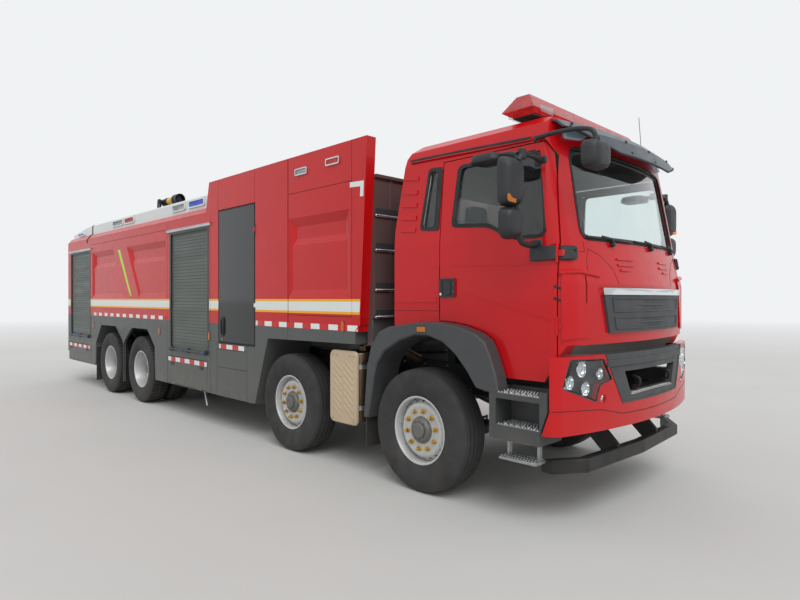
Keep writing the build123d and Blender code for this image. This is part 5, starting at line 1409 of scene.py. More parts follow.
def plate(skin: Skin, outline: Array, height: float, edge: float = 0.003, radius: float = 0.0,
          dome: float = 0.0) -> Shape:
    """Raised plate on a skin.

    Args:
        skin: surface it lies on.
        outline: its corners, as flat places.
        height: how far it stands proud.
        edge: width of the chamfer round its top.
        radius: how far its corners are rounded.
        dome: extra height in its middle.
    Returns:
        Rings from the outline to the middle, each a share of the outline's reach from there; the
        dome adds 1 - share squared of its height.
    """
    if radius:
        outline = rounded(outline, radius)
    outline = dense(outline, 0.06, True)
    middle = outline.mean(axis=0)
    reach = np.linalg.norm(outline - middle, axis=1).mean()
    top = max(1 - edge / reach, 0.5)
    rows = [skin.place(outline, -0.003), skin.place(outline, height - min(edge, height))]
    for share in (top, top * 0.8, top * 0.5, top * 0.2, 0.0):
        rows.append(skin.place(middle + (outline - middle) * share, height + dome * (1 - (share / top) ** 2)))
    return grid(np.stack(rows), ring=True)


def frame_plate(skin: Skin, outer: Array, inner: Array, height: float, radius: float = 0.0) -> Shape:
    """Flat frame between two outlines with as many corners each, proud of a skin by a height."""
    if radius:
        outer, inner = rounded(outer, radius), rounded(inner, radius * 0.8)
    outer, inner = np.asarray(outer, float), np.asarray(inner, float)
    rows = [skin.place(outer, -SUNK), skin.place(outer, height)]
    rows += [skin.place(inner, height), skin.place(inner, -SUNK)]
    return grid(np.stack(rows), ring=True)


def slab(skin: Skin, low: Pair, high: Pair, height: float, edge: float = 0.003,
         radius: float = 0.0) -> Shape:
    """Plate with four square corners between two opposite ones."""
    return plate(skin, rectangle(low, high), height, edge, radius)


SIDE, CAB_SIDE, CAB_FRONT, BUMPER_FRONT = BodySide(), CabSide(), CabFront(), BumperFront()


# Cab

@dataclass
class CabSkin:
    """What lies on the cab's two sides: window seals, handles, hinge covers, seams and strips."""

    window: tuple = ((-1.190, 2.158), (-1.118, 2.802), (-0.322, 2.802), (-0.275, 2.278), (-0.655, 2.250),
                     (-0.889, 2.132), (-1.150, 2.127))
    window_glass: tuple = ((-1.170, 2.180), (-1.102, 2.772), (-0.358, 2.772), (-0.318, 2.302),
                           (-0.662, 2.276), (-0.896, 2.158), (-1.140, 2.153))
    sill: tuple = ((-0.31, 2.300), (-0.66, 2.274), (-0.892, 2.156), (-1.145, 2.150))
    quarter: tuple = ((0.014, 2.828), (-0.150, 2.820), (-0.140, 2.262), (0.088, 2.282))
    quarter_glass: tuple = ((-0.012, 2.796), (-0.092, 2.792), (-0.082, 2.300), (0.056, 2.306))
    handle: tuple = (-0.335, -0.165, 1.690, 1.850)  # y, y, z, z
    bezel: float = 0.012  # the handle's bezel lies outside the cab's skin by this
    lock: tuple = ((0.0, 0.012), (0.006, 0.012), (0.007, 0.010), (0.007, 0.0))
    hinge: Triple = (-1.350, -1.272, -1.061)  # y of its end, the split and its other end
    hinge_z: Pair = (1.957, 2.063)
    drip: tuple = ((0.246, 2.926), (-0.4, 2.912), (-1.028, 2.891))
    shoulder: tuple = ((-0.12, 1.668), (0.385, 1.664))
    seams: tuple = (((-1.059, 2.72), (-1.059, 2.99), (-1.055, 3.06), (-1.05, 3.098)),
                    ((-0.140, 1.573), (0.392, 1.570)), ((-0.150, 1.960), (-0.150, 1.50)))

    def build(self) -> None:
        """Makes the pieces of both sides."""
        self.add_door()
        self.add_side()

    def add_door(self) -> None:
        """Pieces that swing with the door."""
        y0, y1, z0, z1 = self.handle
        low, high = (y0, z0), (y1, z1)
        skin = CAB_SIDE.base(np.array((low, high))).mean(axis=0)[0]
        x = skin + self.bezel
        seal = frame_plate(CAB_SIDE, self.window, self.window_glass, 0.006, 0.06)
        sill = band(CAB_SIDE, self.sill, 0.012, 0.010)
        opening = rectangle((y0 + 0.014, z0 + 0.014), (y1 - 0.03, z1 - 0.014))
        bezel = frame_plate(BodySide(x), rectangle(low, high), opening, 0.006, 0.02)
        backing = slab(BodySide(x + 0.0001), low, high, 0.0012, 0.001, 0.02)
        grip = box(x - 0.002, x + 0.010, y0 + 0.045, y0 + 0.085, z0 + 0.02, z1 - 0.02, 0.005)
        lock = lathe(self.lock, (x, y1 - 0.015, z0 + 0.026), X, 24)
        screws = bolt(0.007, 0.004, 12).moved(x, y0 + 0.012).along(Z, (z0 + 0.05, z1 - 0.05))
        _, split, rear = self.hinge
        cover = slab(CAB_SIDE, (split + 0.006, self.hinge_z[0]), (rear, self.hinge_z[1]), 0.024, 0.008, 0.02)
        make_pair("window_seal", joined(seal, sill), Coats.seal, "door")
        make_pair("door_handle", joined(backing, bezel, grip), Coats.black, "door", bevel=0.0015)
        make_pair("door_lock", joined(lock, screws), Coats.chrome, "door")
        make_pair("hinge_cover_door", cover, Coats.black, "door")

    def add_side(self) -> None:
        """Pieces that stay on the cab."""
        front, split, _ = self.hinge
        cover = slab(CAB_SIDE, (front, self.hinge_z[0]), (split - 0.004, self.hinge_z[1]), 0.022, 0.008, 0.02)
        quarter = frame_plate(CAB_SIDE, self.quarter, self.quarter_glass, 0.006, 0.04)
        make_pair("quarter_frame", quarter, Coats.seal)
        make_pair("cab_seams", bands(CAB_SIDE, self.seams, 0.004, 0.0012), Coats.seam)
        make_pair("drip_strip", band(CAB_SIDE, self.drip, 0.030, 0.021), Coats.seal)
        make_pair("shoulder", band(CAB_SIDE, self.shoulder, 0.05, 0.004), Coats.cab_red)
        make_pair("hinge_cover_pillar", cover, Coats.black)


@dataclass
class CabNose:
    """What lies on the cab's front: screen border, wipers, grille, lid seams, deflector hoods, visor."""

    screen: tuple = ((-0.880, 2.125), (0.880, 2.125), (0.850, 2.835), (-0.850, 2.835))
    screen_half: Pair = (0.865, 0.355)  # half width and half height
    border: float = 0.034
    behind: float = -0.016  # the printed border lies this far under the skin
    pivots: tuple = (-0.531, 0.110, 0.690)  # x of the wipers
    pivot_z: float = 2.098
    pivot_cap: tuple = ((0.0, 0.022), (-0.026, 0.020), (-0.034, 0.012), (-0.034, 0.0))
    blade: float = 0.30  # half length
    chrome: tuple = ((-0.735, 1.708), (0.735, 1.708), (0.748, 1.760), (-0.748, 1.760))
    lip: tuple = ((-0.60, 1.700), (0.60, 1.700), (0.60, 1.688), (-0.60, 1.688))
    proud: float = 0.022  # the grille stands out by this
    slots: tuple = ((0.61, 1.58, 1.68), (0.585, 1.45, 1.535))  # half width, low and high z
    wire: float = 0.0028  # radius of the mesh
    mesh: Pair = (0.022, 0.020)  # its pitch across and upwards
    lid: tuple = (
        ((0.870, 1.600), (0.864, 1.952), (0.823, 2.051), (0.698, 2.004), (0.560, 1.900), (0.520, 1.790)),
        ((1.06, 2.010), (0.864, 2.030)), ((0.864, 2.030), (0.862, 2.10)),
    )
    hood: tuple = ((1.100, 1.868), (0.960, 1.874), (0.770, 1.846))
    gills: tuple = (((0.920, 1.845), (0.922, 1.649)), ((1.075, 1.735), (1.115, 1.772)),
                    ((1.075, 1.650), (1.115, 1.685)))
    visor_z: Triple = (2.80, 2.93, 3.02)
    visor_y: Pair = (-1.440, -1.330)  # of its face in the truck's middle, past its foot
    visor_arc: Pair = (2.5, 4.0)  # y of its plan's centre, and the plan's half width there
    bolts: tuple = ((-0.890, 2.989), (-0.313, 2.928), (-0.281, 2.837), (0.094, 2.916), (0.146, 2.829),
                    (0.60, 2.928), (0.89, 2.985))
    brim: tuple = ((0.0, 2.808), (0.480, 2.808), (0.784, 2.881), (0.985, 2.943))  # x and z of the lower edge
    pane: tuple = ((-0.885, 2.895), (-0.690, 2.905), (-0.600, 2.965), (-0.885, 2.968))  # beside the visor

    def build(self) -> None:
        """Makes the pieces of the front."""
        self.add_screen()
        self.add_wipers()
        self.add_grille()
        self.add_panels()
        self.add_visor()

    def add_screen(self) -> None:
        """Rubber round the windscreen, and the black print inside it."""
        outer = rounded(self.screen, 0.10, 9)
        middle = outer.mean(axis=0)
        steps = dense(outer, 0.06, True)
        inner = middle + (steps - middle) * (1 - self.border / np.array(self.screen_half))
        rows = [CAB_FRONT.place(edge, self.behind) for edge in (steps, inner)]
        make("screen_seal", band(CAB_FRONT, outer, 0.020, 0.006, True), Coats.seal)
        make("screen_print", grid(np.stack(rows), ring=True), Coats.black, wall=0.001)

    def add_wipers(self) -> None:
        """Three wipers: a pivot cap, a short arm and a blade each."""
        wipers = []
        z = self.pivot_z
        for x in self.pivots:
            foot = np.array((x, z))
            cap = CAB_FRONT.place(foot[None], 0.0)[0]
            arm = dense((foot, (x - 0.02, z + 0.036), (x - 0.14, z + 0.048)), 0.03)
            blade = ((x - self.blade, z + 0.040), (x, z + 0.034), (x + self.blade * 0.9, z + 0.026))
            wipers += [
                lathe(self.pivot_cap, cap, Y, 20),
                laid(CAB_FRONT, arm, strip(0.016, 0.010, 0.0), 0.024),
                laid(CAB_FRONT, dense(blade, 0.04), strip(0.012, 0.020, 0.0), 0.004),
            ]
        make("wipers", joined(*wipers), Coats.black)

    def add_grille(self) -> None:
        """Chrome strip, vanes and the mesh behind them."""
        p = self.proud
        vanes, wires = [], []
        for half, low, high in self.slots:
            middle = (low + high) / 2
            edge = dense(((-half, low), (half, low), (half + 0.02, high), (-half - 0.02, high)), 0.06, True)
            bar = dense(((-half, middle), (half, middle)))
            vanes.append(laid(CAB_FRONT, edge, strip(0.014, 0.008), p - 0.001, True))
            vanes.append(laid(CAB_FRONT, bar, strip(0.020, 0.014), p - 0.014))
            lines = [dense(((-half, z), (half, z)), 0.1) for z in np.arange(low + 0.012, high, self.mesh[1])]
            lines += [np.array(((x, low), (x, high))) for x in np.arange(-half + 0.02, half, self.mesh[0])]
            wires += [laid(CAB_FRONT, line, circle(self.wire, 6), p - 0.016) for line in lines]
        make("grille_strip", plate(CAB_FRONT, self.chrome, p + 0.008, 0.005), Coats.chrome)
        make("grille_vanes", joined(*vanes), Coats.charcoal, bevel=0.001)
        make("grille_mesh", joined(*wires), Coats.black)
        make("grille_lip", plate(CAB_FRONT, self.lip, p + 0.002, 0.002), Coats.charcoal)

    def add_panels(self) -> None:
        """Front lid seams, and the hoods and slots of the corner deflectors."""
        make("lid_seams", bands(CAB_FRONT, self.lid, 0.004, 0.0012).both(), Coats.seam)
        make("deflector_hood", band(CAB_FRONT, self.hood, 0.030, 0.030).both(), Coats.cab_red)
        make("deflector_slots", bands(CAB_FRONT, self.gills, 0.016, 0.010).both(), Coats.seal)

    def visor_face(self, x: Array, z: Array, foot: float) -> Array:
        """Depth of the visor's face.

        Args:
            x: places across the truck.
            z: their heights.
            foot: depth of its lower edge in the truck's middle.
        Returns:
            The middle's depth, straight between three heights, carried across on an ellipse.
        """
        reach = np.interp(z, self.visor_z, (foot, *self.visor_y))
        centre, half = self.visor_arc
        return centre - (centre - reach) * np.sqrt(1 - (x / half) ** 2)

    def add_visor(self) -> None:
        """Bolts of the sun visor, its corner panes in pale sky blue, a painted reflection of the sky, and its
        lower lip.
        """
        head = lathe(((0.0, 0.016), (-0.008, 0.014), (-0.010, 0.006), (-0.010, 0.0)), ORIGIN, Y, 16)
        heads = [head.moved(x, float(self.visor_face(x, z, -1.490)) + 0.004, z) for x, z in self.bolts]
        across = np.linspace(-0.985, 0.985, 56)
        height = np.interp(np.abs(across), *zip(*self.brim))
        edge = np.stack((across, self.visor_face(across, height, -1.486), height), axis=1)
        make("visor_bolts", joined(*heads), Coats.seal)
        make("visor_lip", sweep(edge, circle(0.009, 8), UP), Coats.seal)
        # the panes' pale blue is a painted reflection of the sky
        make("visor_pane_painted_sky", plate(CAB_FRONT, self.pane, 0.030, 0.004, 0.02).both(), Coats.pane)


@dataclass
class Mirrors:
    """Side mirrors on each door, and the front mirror over the screen's corner."""

    main: tuple = ((1.312, 2.330), (1.548, 2.680), 0.0)  # low and high x and z, and its taper
    wide: tuple = ((1.324, 2.100), (1.538, 2.325), 0.020)
    y: Pair = (-1.158, -1.062)
    kerb: tuple = ((1.18, -0.93), (1.40, -0.68))  # low and high x and y
    kerb_z: Pair = (2.700, 2.770)
    kerb_rings: tuple = ((0.0, 0.10), (0.88, 0.10), (0.94, 0.0), (1.0, 0.15), (0.98, 0.55), (0.86, 0.86),
                         (0.6, 0.98), (0.0, 1.0))  # share of the outline and of the height
    upper_arm: tuple = ((1.066, -1.115, 2.705), (1.16, -1.12, 2.722), (1.30, -1.115, 2.718),
                        (1.368, -1.112, 2.66))
    lower_arm: tuple = ((1.116, -1.115, 2.082), (1.20, -1.112, 2.070), (1.31, -1.11, 2.085),
                        (1.367, -1.11, 2.16))
    post: tuple = ((1.367, -1.10, 2.10), (1.367, -1.10, 2.70))
    kerb_arm: tuple = ((1.34, -1.09, 2.712), (1.32, -1.0, 2.738), (1.30, -0.90, 2.742))
    feet: tuple = ((1.056, 1.078, -1.165, -1.060, 2.672, 2.742), (1.119, 1.134, -1.165, -1.060, 2.052, 2.112))
    joint: Triple = (1.31, -1.11, 2.718)
    lamp: tuple = ((1.433, 2.346), (1.536, 2.352), (1.540, 2.405), (1.443, 2.408))
    front: tuple = ((-1.178, 2.588), (-0.927, 2.777))  # low and high x and z
    front_rings: tuple = ((0.0, -1.500), (0.90, -1.500), (0.95, -1.492), (1.0, -1.500), (1.0, -1.540),
                          (0.94, -1.580), (0.78, -1.604), (0.5, -1.613), (0.0, -1.614))  # share and y
    front_arm: tuple = ((-1.077, -1.085, 2.885), (-1.078, -1.25, 2.892), (-1.076, -1.42, 2.885),
                        (-1.072, -1.53, 2.850), (-1.062, -1.552, 2.765))
    ball: tuple = ((-0.03, 0.0), (-0.024, 0.022), (0.0, 0.028), (0.024, 0.022), (0.03, 0.0))
    ball_at: Triple = (-1.064, -1.553, 2.782)

    def outline(self, low: tuple, high: tuple, taper: float) -> Array:
        """Rounded outline of a side mirror, narrower at its foot by the taper."""
        (x0, z0), (x1, z1) = low, high
        return rounded(((x0 + taper, z0), (x1 - taper * 0.4, z0), (x1, z1), (x0, z1)), 0.075, 8)

    def shell(self, low: tuple, high: tuple, taper: float) -> Shape:
        """Housing of one side mirror.

        Args:
            low: least x and z.
            high: greatest x and z.
            taper: how much narrower the lower edge is.
        Returns:
            Rings from the glass's frame to the domed back: each is the outline, drawn in as it goes
            forwards by the root of 1 - share squared, the outline of an ellipse.
        """
        y0, y1 = self.y
        rings = [(0.93, y1)]
        for share in np.sin(np.linspace(0.0, math.pi / 2, 9)):
            depth = y1 + 0.004 + (y0 - y1 - 0.004) * share * 0.98 - 0.006 * (share == 0)
            rings.append((0.60 + 0.40 * math.sqrt(max(1 - share**2, 0.0)), depth))
        return ringed(self.outline(low, high, taper), Y, (*rings, (0.30, y0), (0.0, y0)))

    def glass(self, low: tuple, high: tuple, taper: float) -> Shape:
        """Reflecting glass, a little sunk in its frame."""
        depth = self.y[1] - 0.003
        return ringed(self.outline(low, high, taper), Y, [(share, depth) for share in (0.935, 0.5, 0.0)])

    def build(self) -> None:
        """Makes the mirrors of both doors and the front one."""
        self.add_pair()
        self.add_front()

    def add_pair(self) -> None:
        """Main, wide-angle and kerb mirrors with their arms, on both doors."""
        pair = (self.main, self.wide)
        low, high = self.kerb_z
        rings = [(share, low + (high - low) * height) for share, height in self.kerb_rings]
        kerb = ringed(rounded(rectangle(*self.kerb), 0.07, 7), Z, rings)
        arm = joined(pipe(self.upper_arm, 0.021), pipe(self.lower_arm, 0.023),
                     tube(self.post, 0.016, LEFTWARDS), pipe(self.kerb_arm, 0.020, 5))
        feet = boxes(self.feet, 0.008)
        joint = lathe(((-0.035, 0.0), (-0.035, 0.030), (0.035, 0.030), (0.035, 0.0)), self.joint, Z, 24)
        lamp = plate(Facing(self.y[0] + 0.012), self.lamp, 0.004, 0.003, 0.02)
        (x0, _), (x1, _), _ = self.main
        front = self.y[0]
        seam = box(x0 + 0.012, x1 - 0.012, front + 0.0305, front + 0.0345, 2.42, 2.428, 0.001)
        shells = joined(*(self.shell(*one) for one in pair))
        shell = joined(shells, kerb, arm, feet, joint, seam)
        for side in Side:
            make(f"mirror_shell.{side.letter}", shell.on(side), Coats.black, f"door_{side.letter}",
                 replaces=(f"mirror_{side.letter}",))
        make_pair("mirror_glass", joined(*(self.glass(*one) for one in pair)), Coats.chrome, "door")
        make_pair("mirror_lamp", lamp, Coats.amber_lens, "door")

    def add_front(self) -> None:
        """Front mirror: a domed housing on a bent arm from the right pillar."""
        outline = rounded(rectangle(*self.front), 0.06, 8)
        head = ringed(outline, Y, self.front_rings)
        arm = pipe(self.front_arm, 0.017, 8)
        foot = slab(CAB_SIDE, (-1.125, 2.862), (-1.045, 2.908), 0.018, 0.006, 0.012).mirrored()
        ball = lathe(self.ball, self.ball_at, Z, 24)
        make("front_mirror_shell", joined(head, arm, foot, ball), Coats.black, replaces=("front_mirror",))
        glass = ringed(outline, Y, [(share, -1.4995) for share in (0.88, 0.4, 0.0)])
        make("front_mirror_glass", glass, Coats.chrome)


@dataclass
class RoofBar:
    """Light bar with its lamps inside, and the aerial."""

    y: Pair = (-1.0, -0.7)
    top: float = 3.300
    tray: Pair = (3.128, 3.142)  # z
    tray_half: float = 0.905
    lamp_z: float = 3.205
    lamps: int = 9
    lamp_half: float = 0.80  # x of the outermost ones
    cup: tuple = ((0.0, 0.016), (0.03, 0.040), (0.062, 0.044), (0.062, 0.041), (0.03, 0.036), (0.004, 0.0))
    clear: tuple = (0.700, 0.885, 3.150, 3.205)  # x, x, z, z of the clear ends
    foot: Triple = (0.55, -0.85, 0.06)  # x, y and half size
    seams: Places = (-0.62, -0.21, 0.21, 0.62)
    aerial: tuple = ((0.62, -1.16, 3.04), (0.70, -1.10, 3.42))
    aerial_foot: tuple = ((0.0, 0.022), (0.012, 0.018), (0.03, 0.008), (0.05, 0.0))

    def build(self) -> None:
        """Makes the tray, the inner lamps, the clear ends and the aerial."""
        y0, y1 = self.y
        low, high = self.tray
        tray = box(-self.tray_half, self.tray_half, y0 + 0.055, y1 - 0.055, low, high, 0.004)
        cup = lathe(self.cup, ORIGIN, Y, 20)
        lamps = []
        for x in np.linspace(-self.lamp_half, self.lamp_half, self.lamps):
            lamps.append(cup.moved(x, y0 + 0.085, self.lamp_z))
            lamps.append(cup.spun(Z, 180.0).moved(x, y1 - 0.085, self.lamp_z))
        x, y, half = self.foot
        feet = boxes([(s * x - half, s * x + half, y - half, y + half, 3.096, 3.138) for s in (-1, 1)], 0.006)
        lines = boxes([(-0.90, 0.90, *ends, high, high + 0.010)
                       for ends in ((y0 + 0.048, y0 + 0.058), (y1 - 0.058, y1 - 0.048))], 0.002)
        seams = boxes([(x - 0.0025, x + 0.0025, y0 + 0.09, y1 - 0.09, self.top - 0.0025, self.top + 0.0005)
                       for x in self.seams], 0.001)
        x0, x1, z0, z1 = self.clear
        ends = boxes([(s * x1, s * x0, y - 0.001, y + 0.001, z0, z1)
                      for s in (-1, 1) for y in (y0 - 0.0006, y1 + 0.0006)], 0.001)
        aerial = joined(tube(self.aerial, 0.0028, REARWARDS, 8),
                        lathe(self.aerial_foot, (*self.aerial[0][:2], 3.035), Z, 20))
        make("bar_clear_ends", ends, Coats.clear_lens)
        make("bar_tray", joined(tray, feet, lines), Coats.black)
        make("bar_lamps", joined(*lamps), Coats.chrome)
        make("bar_seams", seams, Coats.seam)
        make("aerial", aerial, Coats.seal)


@dataclass
class BumperGear:
    """Lamp clusters, fog lamps, seams and the step in the bumper, and the rear corners' lamps."""

    cluster: tuple = ((1.105, 1.240), (1.178, 1.040), (0.840, 0.915), (0.797, 1.040), (0.655, 1.070),
                      (0.757, 1.232))
    bowls: tuple = ((1.105, 1.205, 0.024), (0.980, 1.166, 0.058), (0.789, 1.122, 0.040),
                    (1.096, 1.075, 0.048), (0.942, 1.022, 0.051))  # x, z, radius; the first is amber
    fog: Triple = (0.764, 0.933, 0.032)
    seam: tuple = ((1.235, 0.880), (1.12, 0.876), (0.80, 0.858), (0.528, 0.800), (0.0, 0.790))
    trim: tuple = ((0.738, 1.262), (0.630, 1.062), (0.528, 0.884), (0.0, 0.884))
    rail: tuple = ((-0.72, 1.19), (0.72, 1.19))
    tread_half: float = 0.400
    tread_z: Pair = (0.930, 0.942)
    tooth_z: Pair = (0.941, 0.950)
    hooks: Pair = (-0.30, 0.30)  # x
    hook: tuple = ((0.05, 1.07), (-0.004, 1.05), (-0.004, 1.00), (0.05, 0.985))  # behind the skin, z
    rear: tuple = (1.085, 1.205, 10.034, 10.064, 0.650, 0.950)  # the rear lamps' tray
    rear_rows: tuple = ((0.870, 0.945), (0.800, 0.866), (0.730, 0.796), (0.655, 0.726))  # z, z

    def bowl(self, x: float, z: float, radius: float) -> Shape:
        """Reflector bowl, its eye and its edge, looking forwards from the bumper's skin."""
        centre = (x, float(BUMPER.y_at(np.array(x))) + 0.016, z)
        dish = ((0.0, 1.0), (0.010, 0.98), (0.022, 0.8), (0.030, 0.5), (0.034, 0.0))
        eye = ((0.010, 0.40), (0.004, 0.40), (-0.001, 0.22), (-0.002, 0.0))
        edge = ((0.002, 1.0), (-0.004, 1.02), (-0.004, 1.08), (0.004, 1.10))
        return joined(*(lathe(np.array(part) * (1.0, radius), centre, Y, steps)
                        for part, steps in ((dish, 28), (eye, 20), (edge, 28))))

    def build(self) -> None:
        """Makes the lamps and the bumper's trim."""
        self.add_cluster()
        self.add_step()
        self.add_rear_lamps()

    def add_cluster(self) -> None:
        """Glass, tray and bowls of the lamp clusters, and the bumper's seams."""
        outline = dense(rounded(self.cluster, 0.02), 0.05, True)
        middle = outline.mean(axis=0)
        front, back = BumperFront(0.004), BumperFront(0.052)
        shrunk = {share: middle + (outline - middle) * share for share in (1.0, 0.85, 0.6, 0.3, 0.0)}
        cover = grid(np.stack([front.place(ring) for ring in shrunk.values()]), ring=True)
        rows = [front.place(outline, -0.002), back.place(outline)]
        rows += [back.place(shrunk[share]) for share in (0.6, 0.3, 0.0)]
        tray = joined(grid(np.stack(rows), ring=True), laid(front, outline, strip(0.010, 0.004), 0.0, True))
        fog = self.bowl(*self.fog).moved(y=-0.006)
        make("lamp_cover", cover.both(), Coats.cover, wall=0.0025, replaces=("lamps",))
        make("lamp_tray", tray.both(), Coats.bezel)
        make("lamp_bowls", joined(*(self.bowl(*one) for one in self.bowls[1:]), fog).both(), Coats.chrome)
        make("lamp_amber", self.bowl(*self.bowls[0]).both(), Coats.amber_lens)
        make("bumper_seams", band(BUMPER_FRONT, self.seam, 0.005, 0.0012).both(), Coats.seam)

    def add_step(self) -> None:
        """Dark trim round the centre panel, the toothed tread in it, and two pull hooks."""
        rim = band(BUMPER_FRONT, self.trim, 0.012, 0.006).both()
        upper = band(BumperFront(0.003), self.rail, 0.05, 0.010)
        y = float(BUMPER.y_at(np.array(0.3)))
        tread = box(-self.tread_half, self.tread_half, y + 0.004, y + 0.075, *self.tread_z, 0.003)
        teeth = boxes([(x, x + 0.014, y + 0.006, y + 0.072, *self.tooth_z)
                       for x in np.arange(-0.38, 0.37, 0.032)], 0.003)
        hook = pipe([(0.0, y + out, z) for out, z in self.hook], 0.011, 6, LEFTWARDS)
        make("centre_trim", joined(rim, upper), Coats.charcoal)
        make("front_tread", joined(tread, teeth), Coats.zinc)
        make("pull_hooks", hook.along(X, self.hooks), Coats.frame)

    def add_rear_lamps(self) -> None:
        """Stacked lamps over the solid blocks of the rear corners."""
        x0, x1, y0, y1, _, _ = self.rear
        finishes = (Coats.red_lens, Coats.amber_lens, Coats.clear_lens, Coats.red_lens)
        for place, (rows, finish) in enumerate(zip(self.rear_rows, finishes)):
            lens = box(x0 + 0.007, x1 - 0.007, y0 + 0.026, y1 + 0.014, *rows, 0.006)
            make(f"rear_lamp.{place}", lens.both(), finish)
        make("rear_lamp_tray", box(*self.rear, 0.004).both(), Coats.black)


# Body

GROOVE = BodySide(1.2456)  # just above the bottom of the panel grooves
DECK_TOP, MODULE_DECK_TOP = 2.908, 2.870


@dataclass
class BodySkin:
    """What lies on the two sides of the module and the long body: seams, tapes, lamps and marks."""

    red_upright: tuple = ((0.861, 1.501, 3.213), (2.643, 2.819, 3.213), (3.538, 1.362, 3.213),
                          (3.755, 1.362, 2.818), (5.110, 1.362, 2.818), (8.520, 1.362, 2.818),
                          (9.950, 1.362, 2.818))  # y, low and high z
    red_level: tuple = ((2.820, 0.861, 1.941), (1.501, 0.861, 1.941), (2.700, 5.110, 8.520))  # z, y, y
    grey_upright: tuple = ((1.955, 1.190, 1.358), (2.820, 0.431, 1.102), (3.579, 0.431, 1.102),
                           (3.755, 0.431, 1.358), (5.110, 0.431, 1.358), (8.560, 0.431, 1.358))
    grey_level: tuple = ((1.104, 2.642, 3.578), (1.030, 2.822, 3.578), (0.800, 2.822, 3.578))
    joint: tuple = (1.2362, 1.2440, 1.9415, 1.9545, 1.362, 3.212)  # between the module's two sections
    tapes: tuple = ((0.775, 2.620, 1.363, 1.419), (5.130, 8.500, 1.363, 1.419),
                    (2.890, 3.519, 1.039, 1.095))  # y, y, z, z
    flap_tapes: tuple = (("mid", 3.864, 5.080, 0.768, 0.828), ("rear", 8.665, 9.960, 0.715, 0.775))
    tape_h: float = 0.0010
    lamps: tuple = ((1.690, 3.035), (1.150, 3.055))  # y, z of the white and the red lamp
    lamp_half: Pair = (0.110, 0.0375)
    cell: tuple = ((0.003, 0.004), (0.006, 0.012), (0.008, 0.012), (0.005, 0.004))
    amber: tuple = ((0.993, 1.405), (3.782, 1.180), (5.390, 1.182), (8.427, 1.172))  # y, z
    marker_base: tuple = (1.249, 1.254, -0.020, 0.020, -0.056, 0.056)
    marker_lens: tuple = (1.253, 1.262, -0.016, 0.016, -0.050, 0.050)
    corner_mark: tuple = ((0.888, 2.805), (0.684, 2.796), (0.690, 2.649), (0.737, 2.651), (0.733, 2.748),
                          (0.888, 2.756))
    slash: tuple = ((7.157, 2.521), (7.047, 2.515), (6.521, 1.723), (6.592, 1.723))
    column: tuple = ((1.249, 0.642, 3.206), (1.249, 0.744, 1.430), (1.249, 0.806, 1.364))
    cant: tuple = ((1.249, 3.892, 2.822), (1.249, 9.970, 2.822))
    cap: tuple = (1.133, 1.2508, 0.640, 3.699, 3.212, 3.2149)
    cap_seam: tuple = (1.190, 1.1925, 0.66, 3.69, 3.2140, 3.2150)

    def build(self) -> None:
        """Makes the pieces of both sides."""
        self.add_seams()
        self.add_tapes()
        self.add_lamps()
        self.add_flanges()

    def lines(self, upright: tuple, level: tuple) -> Shape:
        """Strips that lie in upright and level grooves."""
        paths = [((y, low), (y, high)) for y, low, high in upright]
        paths += [((front, z), (rear, z)) for z, front, rear in level]
        profile = strip(0.0056, 0.0006, 0.0002)
        return joined(*(sweep(GROOVE.base(np.array(path)), profile, LEFTWARDS) for path in paths))

    def add_seams(self) -> None:
        """Dark sealant in the grooves, and the wide joint between the module's two sections."""
        make("red_seams", self.lines(self.red_upright, self.red_level).both(), Coats.seam)
        grey = joined(self.lines(self.grey_upright, self.grey_level), box(*self.joint, 0.001))
        make("grey_seams", grey.both(), Coats.seal)

    def add_tapes(self) -> None:
        """Reflecting tapes, the white corner mark and the lime slash."""
        edge = self.tape_h / 2
        tapes = [slab(SIDE, (y0, z0), (y1, z1), self.tape_h, edge) for y0, y1, z0, z1 in self.tapes]
        make("side_tapes", joined(*tapes).both(), Coats.tape)
        for name, y0, y1, z0, z1 in self.flap_tapes:
            tape = slab(SIDE, (y0, z0), (y1, z1), self.tape_h, edge)
            make_pair(f"flap_tape_{name}", tape, Coats.tape, f"flap_{name}")
        make("corner_mark", frame_mark(self.corner_mark).both(), Coats.tape_white)
        make("lime_slash", plate(SIDE, self.slash, 0.0012, 0.0006).both(), Coats.lime)

    def add_lamps(self) -> None:
        """The white and the red lamp of the parapet in bright frames, and the amber markers."""
        frames, backs = [], []
        half = np.array(self.lamp_half)
        for middle, finish in zip(self.lamps, (Coats.clear_lens, Coats.red_lens)):
            y, z = middle
            outer = rectangle(middle - half, middle + half)
            inner = (outer - middle) * (1 - 0.013 / half) + middle
            frames.append(frame_plate(SIDE, outer, inner, 0.016, 0.018))
            make(f"parapet_lens.{finish.name}", plate(SIDE, inner, 0.014, 0.005, 0.012, 0.002).both(), finish)
            cell = lathe(self.cell, (SIDE.half, 0, z), X, 12, True)
            cells = cell.along(Y, np.arange(y - half[0] + 0.03, y + half[0] - 0.02, 0.028))
            backs += [slab(SIDE, inner[0] - 0.002, inner[2] + 0.002, 0.003, 0.001), cells]
        make("parapet_lamp_frames", joined(*frames).both(), Coats.aluminium)
        make("parapet_lamp_backs", joined(*backs).both(), Coats.chrome)
        places = [(0.0, *place) for place in self.amber]
        for part, size, chamfer, finish in (("bases", self.marker_base, 0.0015, Coats.black),
                                            ("lenses", self.marker_lens, 0.005, Coats.amber_lens)):
            make(f"marker_{part}", box(*size, chamfer).copies(np.array(places)).both(), finish)

    def add_flanges(self) -> None:
        """Folded edges: the column's front, the cant line above the long panels and the parapet caps."""
        column = sweep(self.column, strip(0.012, 0.003, 0.003), LEFTWARDS)
        cant = tube(self.cant, 0.005, UP, 8)
        make("body_flanges", joined(column, cant, box(*self.cap, 0.001)).both(), Coats.plain_red)
        make("cap_seams", box(*self.cap_seam, 0.0004).both(), Coats.seam)


